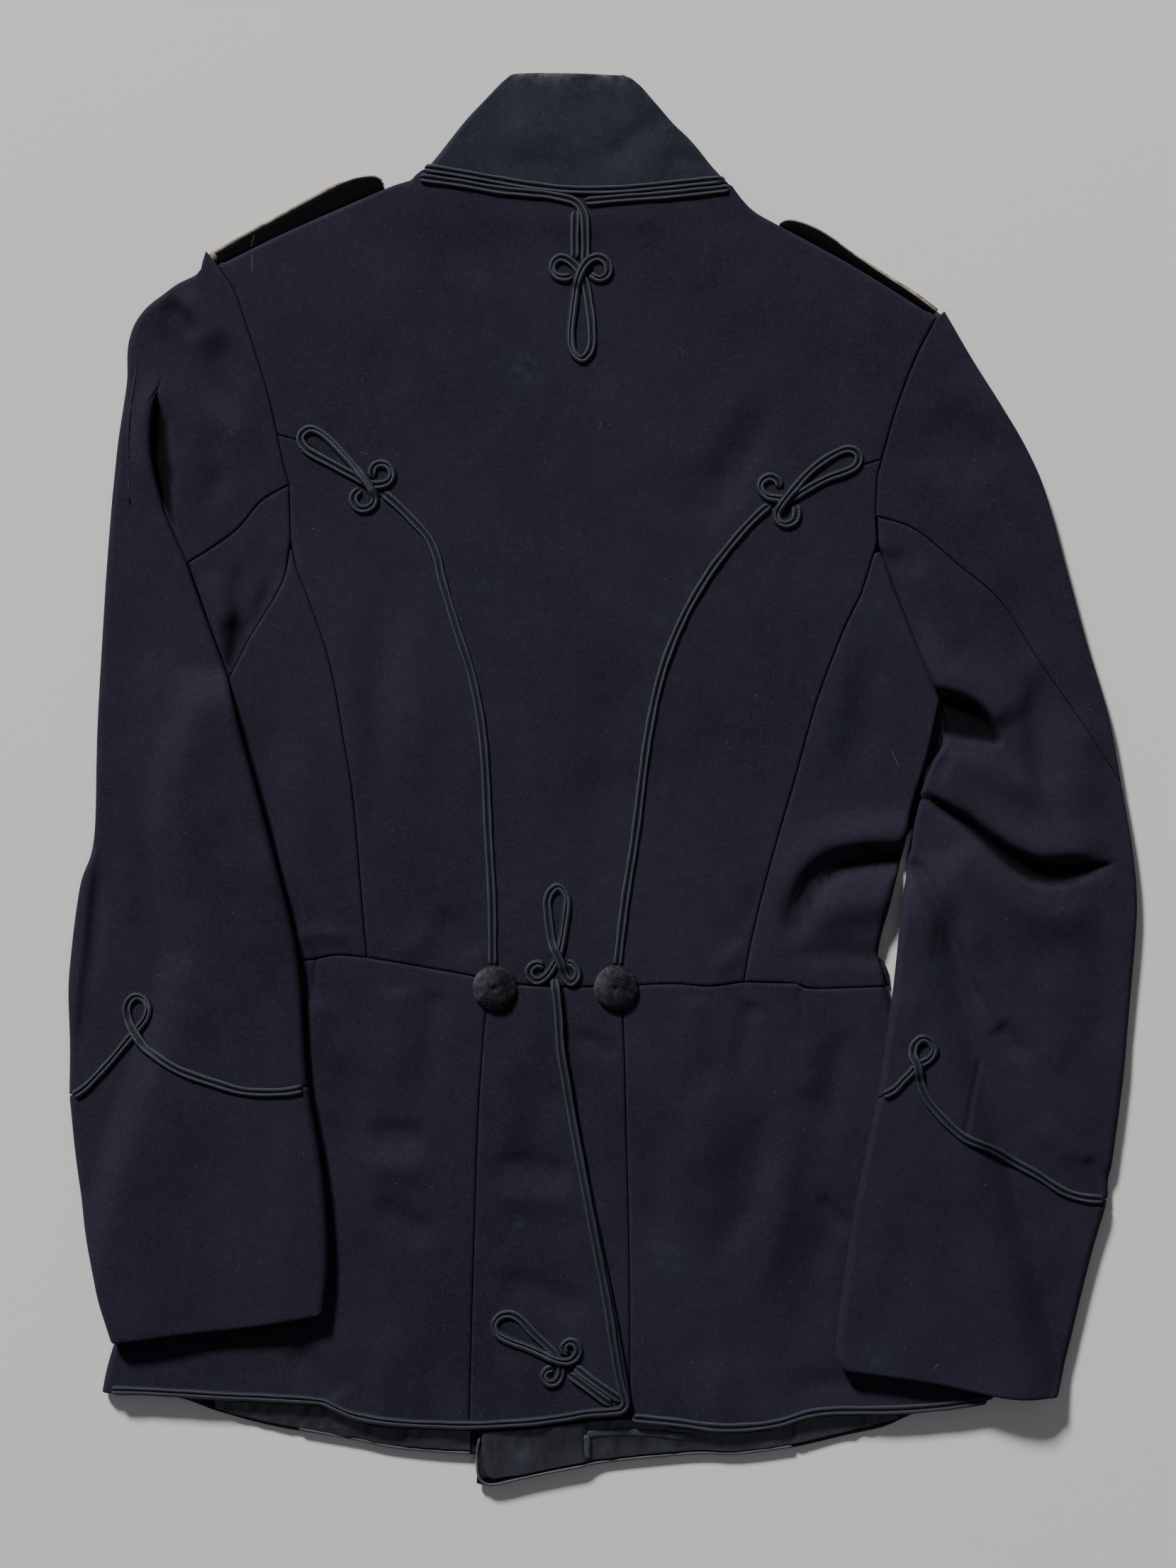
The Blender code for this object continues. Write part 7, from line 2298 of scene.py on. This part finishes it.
@dataclass
class Trimmings:
    """Braids, trefoils, buttons, piping and lace, each laid on the cloth beneath.

    Sizes are mm, and the stretches named share are shares of a strap's outer edge.
    """

    surface: Callable[[Plan], np.ndarray]
    braid: RussiaBraid = RussiaBraid()
    button: NettedButton = NettedButton()
    piping_radius: float = 0.8
    tape_half: float = 1.9
    tape_height: float = 0.3
    lace_half: float = 1.15
    lace_flatness: float = 0.75
    lace_out: float = 0.75
    lace_ground: float = 0.7
    thin_left: float = 0.6
    thin_left_share: Stretch = (0.70, 0.86)
    least_right: float = 0.38
    full_right_share: Stretch = (0.38, 0.95)
    knot_ends: Knots = field(default_factory=lambda: [(296, 354), (303, 370)])
    knot_points: int = 11
    knot_end: float = 0.97
    knot_ground: float = 2.6

    def build(self, dresser: Dresser) -> None:
        """Makes and dresses every trimming."""
        # The braid's pale flecks are painted glints, partly wear.
        plait = Plait("navy_russia_braid", dark=(0.0045, 0.0055, 0.0100), pale=(0.034, 0.043, 0.072),
                      middle=self.braid.groove_place(), glint_and_wear_share=0.4, glint_and_wear_colour=(0.085, 0.10, 0.14))
        for trim in TRIMS:
            skins = [self.braid.laid(trim.routes[0], self.surface, trim.over, trim.half)]
            skins += [self.braid.laid(more, self.surface, Pass.NONE, 0.0) for more in trim.routes[1:]]
            name = f"{trim.routes[0]}_laid"
            self._finish(dresser, name, together(skins), plait, trim.nodes)
        for name, at in BUTTONS.items():
            centre = placed([at])[0]
            turn = np.linspace(0.0, 2 * np.pi, 24)[:, None]
            reach = self.button.radius * self.button.foot
            around = centre + reach * np.concatenate([np.cos(turn), np.sin(turn)], axis=1)
            skin = self.button.mesh(centre, float(self.surface(around).max()))
            self._finish(dresser, f"{name}_netted", skin, NettedCord(), (name,))
        self._edges(dresser)
        self._laces(dresser)

    def _finish(self, dresser: Dresser, name: str, skin: Skin, finish: object,
                nodes: tuple[str, ...] = ()) -> None:
        """Makes one trimming's object and dresses it."""
        dresser.dress(mesh_object(name, *skin), finish, nodes)

    def _edges(self, dresser: Dresser) -> None:
        """Piping on the fronts' edges and the flat tape on the lining."""
        piping = Plait("front_edge_piping", (0.034, 0.035, 0.044), (0.10, 0.102, 0.118), middle=0.0,
                       period=1.3, slant=0.8, depth=0.0001, roughness=0.55, sheen=0.1, mirrored=False)
        tape = Plait("lining_tape_cloth", (0.024, 0.028, 0.044), (0.050, 0.056, 0.084), middle=0.0,
                     period=0.8, slant=0.1, depth=0.00008, roughness=0.55, sheen=0.1, mirrored=False)
        cord = ring(self.piping_radius, self.piping_radius)
        flat = ring(self.tape_half, self.tape_height)
        for name, profile, finish, slot in (
            ("edge_piping_left", cord, piping, Slot.BRAID),
            ("edge_piping_right", cord, piping, Slot.BRAID),
            ("lining_tape", flat, tape, Slot.SATIN),
            ("lining_tape_along", flat, tape, Slot.SATIN),
        ):
            route = smooth(placed(ROUTES[name]))
            ground = widened(self.surface(route), 2) + 0.02
            size = rounded_ends(lengths(route), 1.0)
            self._finish(dresser, name, Carried(profile, route, ground, size).mesh(), finish)

    def _laces(self, dresser: Dresser) -> None:
        """Lace along each strap's outer edge, thin over part of it, and the knot at the left tip."""
        profile = ring(self.lace_half, self.lace_half * self.lace_flatness, 12)
        for side in ("left", "right"):
            edge = line_of(f"strap_{side}_outer")
            forward = direction(edge, 0)
            share = lengths(edge) / lengths(edge)[-1]
            if side == "left":
                size = 1 - self.thin_left * ease(share, *self.thin_left_share)
            else:
                full = ease(share, *self.full_right_share)
                size = self.least_right + (1 - self.least_right) * full
            aside = np.column_stack([-forward[:, 1], forward[:, 0]])
            route = edge + aside * (self.lace_out * size)[:, None]
            skins = [Carried(profile, route, np.full(len(route), self.lace_ground), size).mesh()]
            if side == "left":
                skins.append(self._knot())
            self._finish(dresser, f"strap_{side}_lace", together(skins), Lace())

    def _knot(self) -> Skin:
        """The round knot of lace: its size along it is sqrt(1 - t^2), t from -knot_end to knot_end."""
        count = self.knot_points
        route = at_shares(placed(self.knot_ends), np.linspace(0.0, 1.0, count))
        size = np.sqrt(np.maximum(1 - np.linspace(-self.knot_end, self.knot_end, count) ** 2, 0.0))
        return Carried(ring(2.3, 1.9, 14), route, np.full(count, self.knot_ground), size).mesh()


@dataclass
class Fluff:
    """Short hairs and specks of lint scattered on the cloth.

    Low and high are the corners of the area, mm. A hair is dropped where the cloth is lower than
    lowest or rises more than steepest along it.
    """

    surface: Callable[[Plan], np.ndarray]
    hairs: int = 48
    specks: int = 120
    seed: int = 77
    low: Stretch = (-295.0, -395.0)
    high: Stretch = (295.0, 330.0)
    lowest: float = 2.0
    steepest: float = 1.5
    traced_radius: float = 0.07

    def build(self, dresser: Dresser) -> None:
        """Makes all hairs and specks as one piece.

        A hair is a four-sided tube along an arc whose bend, length and direction are drawn at
        random; a speck is a very short one.
        """
        draw = np.random.default_rng(self.seed)
        low, high = np.array(self.low), np.array(self.high)
        t = np.linspace(-0.5, 0.5, 7)
        skins = [self._hair(smooth(placed(ROUTES["strap_hair"]), 2.0), self.traced_radius)]
        for number in range(self.hairs + self.specks):
            is_hair = number < self.hairs
            middle = draw.uniform(low, high)
            length = draw.gamma(2.0, 1.5) + 1.0 if is_hair else draw.uniform(0.25, 0.6)
            angle = draw.uniform(0.0, 2 * np.pi) + draw.normal(0.0, 1.1) * t
            radius = draw.uniform(0.03, 0.05) if is_hair else draw.uniform(0.07, 0.16)
            steps = np.column_stack([np.cumsum(np.cos(angle)), np.cumsum(np.sin(angle))])
            line = middle + length * steps / len(t)
            ground = self.surface(line)
            if ground.min() >= self.lowest and np.ptp(ground) <= self.steepest:
                skins.append(self._hair(line, radius))
        dresser.dress(mesh_object("lint_and_hairs", *together(skins)), Lint())

    def _hair(self, line: Plan, radius: float) -> Skin:
        """One hair on the cloth, thinner towards its ends."""
        t = np.linspace(-0.5, 0.5, len(line))
        ground = self.surface(line) - radius * 0.3
        return Carried(ring(radius, radius, 4), line, ground, 1 - 1.2 * t**2).mesh()


@dataclass(frozen=True)
class Lamp:
    """Square area light that faces the tunic's middle: its place and size in metres, power in watts."""

    name: str
    place: Colour
    size: float
    power: float
    colour: Colour

    def build(self) -> None:
        """Adds the light to the scene."""
        light = bpy.data.lights.new(self.name, "AREA")
        light.size, light.energy, light.color = self.size, self.power, self.colour
        item = bpy.data.objects.new(self.name, light)
        item.location = self.place
        item.rotation_euler = (-Vector(self.place)).to_track_quat("-Z", "Y").to_euler()
        bpy.context.scene.collection.objects.link(item)


LAMPS: list[Lamp] = [
    Lamp("key_light", (-4.65, 9.3, 6.0), 1.65, 2349.0, (1.0, 0.98, 0.96)),
    Lamp("fill_light", (0.4, -0.7, 2.2), 2.0, 2.5, (0.92, 0.96, 1.0)),
]


@dataclass(frozen=True)
class Studio:
    """Pale floor, soft light from the upper left, and the camera straight above.

    The floor's sizes are mm, and the camera's are metres but for its sensor in mm.
    """

    camera_height: float = 1.6
    view_width: float = 0.8848
    sensor: float = 36.0
    floor_half: float = 2500.0
    floor_level: float = -0.2
    sky: Colour = (0.95, 0.97, 1.0)
    sky_strength: float = 0.11

    def build(self) -> None:
        """Makes the floor, the lights, the sky and the camera."""
        self._floor()
        for lamp in LAMPS:
            lamp.build()
        world = bpy.data.worlds.new("studio")
        world.use_nodes = True
        background = world.node_tree.nodes["Background"]
        background.inputs["Color"].default_value = rgba(self.sky)
        background.inputs["Strength"].default_value = self.sky_strength
        bpy.context.scene.world = world
        self._camera()

    def _floor(self) -> None:
        """Adds the floor, a little lower than the cloth that lies on it."""
        half, level = self.floor_half, self.floor_level
        points = np.array([[-half, -half, level], [half, -half, level], [half, half, level],
                           [-half, half, level]])
        mesh = bpy.data.meshes.new("floor")
        mesh.from_pydata((points * MM).tolist(), [], [(0, 1, 2, 3)])
        floor = bpy.data.objects.new("floor", mesh)
        bpy.context.scene.collection.objects.link(floor)
        mesh.materials.append(Floor().material())

    def _camera(self) -> None:
        """Adds the camera over the middle of the view, which it fills at the cloth's height."""
        centre = placed([(IMAGE_WIDTH / 2, IMAGE_HEIGHT / 2)])[0] * MM
        camera = bpy.data.cameras.new("camera")
        camera.sensor_width = self.sensor
        camera.lens = self.sensor * self.camera_height / self.view_width
        item = bpy.data.objects.new("camera", camera)
        item.location = (centre[0], centre[1], self.camera_height + TOP_LEVEL * MM)
        bpy.context.scene.collection.objects.link(item)
        bpy.context.scene.camera = item


COLLAR_MELTON = Melton(
    "collar_melton_cloth", dark=(0.0081, 0.0112, 0.0166), pale=(0.0248, 0.0283, 0.0410),
    tint=(0.0290, 0.0285, 0.0490), rubbed=(0.046, 0.050, 0.062), worn_share=1.0, cloudiness=0.85,
)
STRAP_CLOTH = Melton(
    "strap_black_cloth", dark=(0.0010, 0.0009, 0.0014), pale=(0.0020, 0.0019, 0.0028),
    tint=(0.0016, 0.0016, 0.0024), rubbed=(0.0045, 0.0045, 0.006), sheen=0.02, gloss=0.06,
)


def main() -> None:
    """Builds the tunic's sub-assemblies in order, cloth first, then what lies on it."""
    logging.basicConfig(level=logging.INFO, format="%(message)s")
    dresser = Dresser()
    layers = Layers()
    outers: list[np.ndarray] = []
    for part in (Fronts(layers), Body(layers), Skirts(layers), Linings(layers, Satin(), Slot.SATIN),
                 Collar(layers, COLLAR_MELTON, Slot.COLLAR), LeftSleeve(layers), RightSleeve(layers),
                 Straps(layers, STRAP_CLOTH, Slot.STRAP)):
        outers += part.build(dresser)
        log.info("%s is done", type(part).__name__)
    surface = surface_of(outers)
    Trimmings(surface).build(dresser)
    Fluff(surface).build(dresser)
    Studio().build()
    log.info("%d triangles added", dresser.count)


if __name__ == "__main__":
    main()
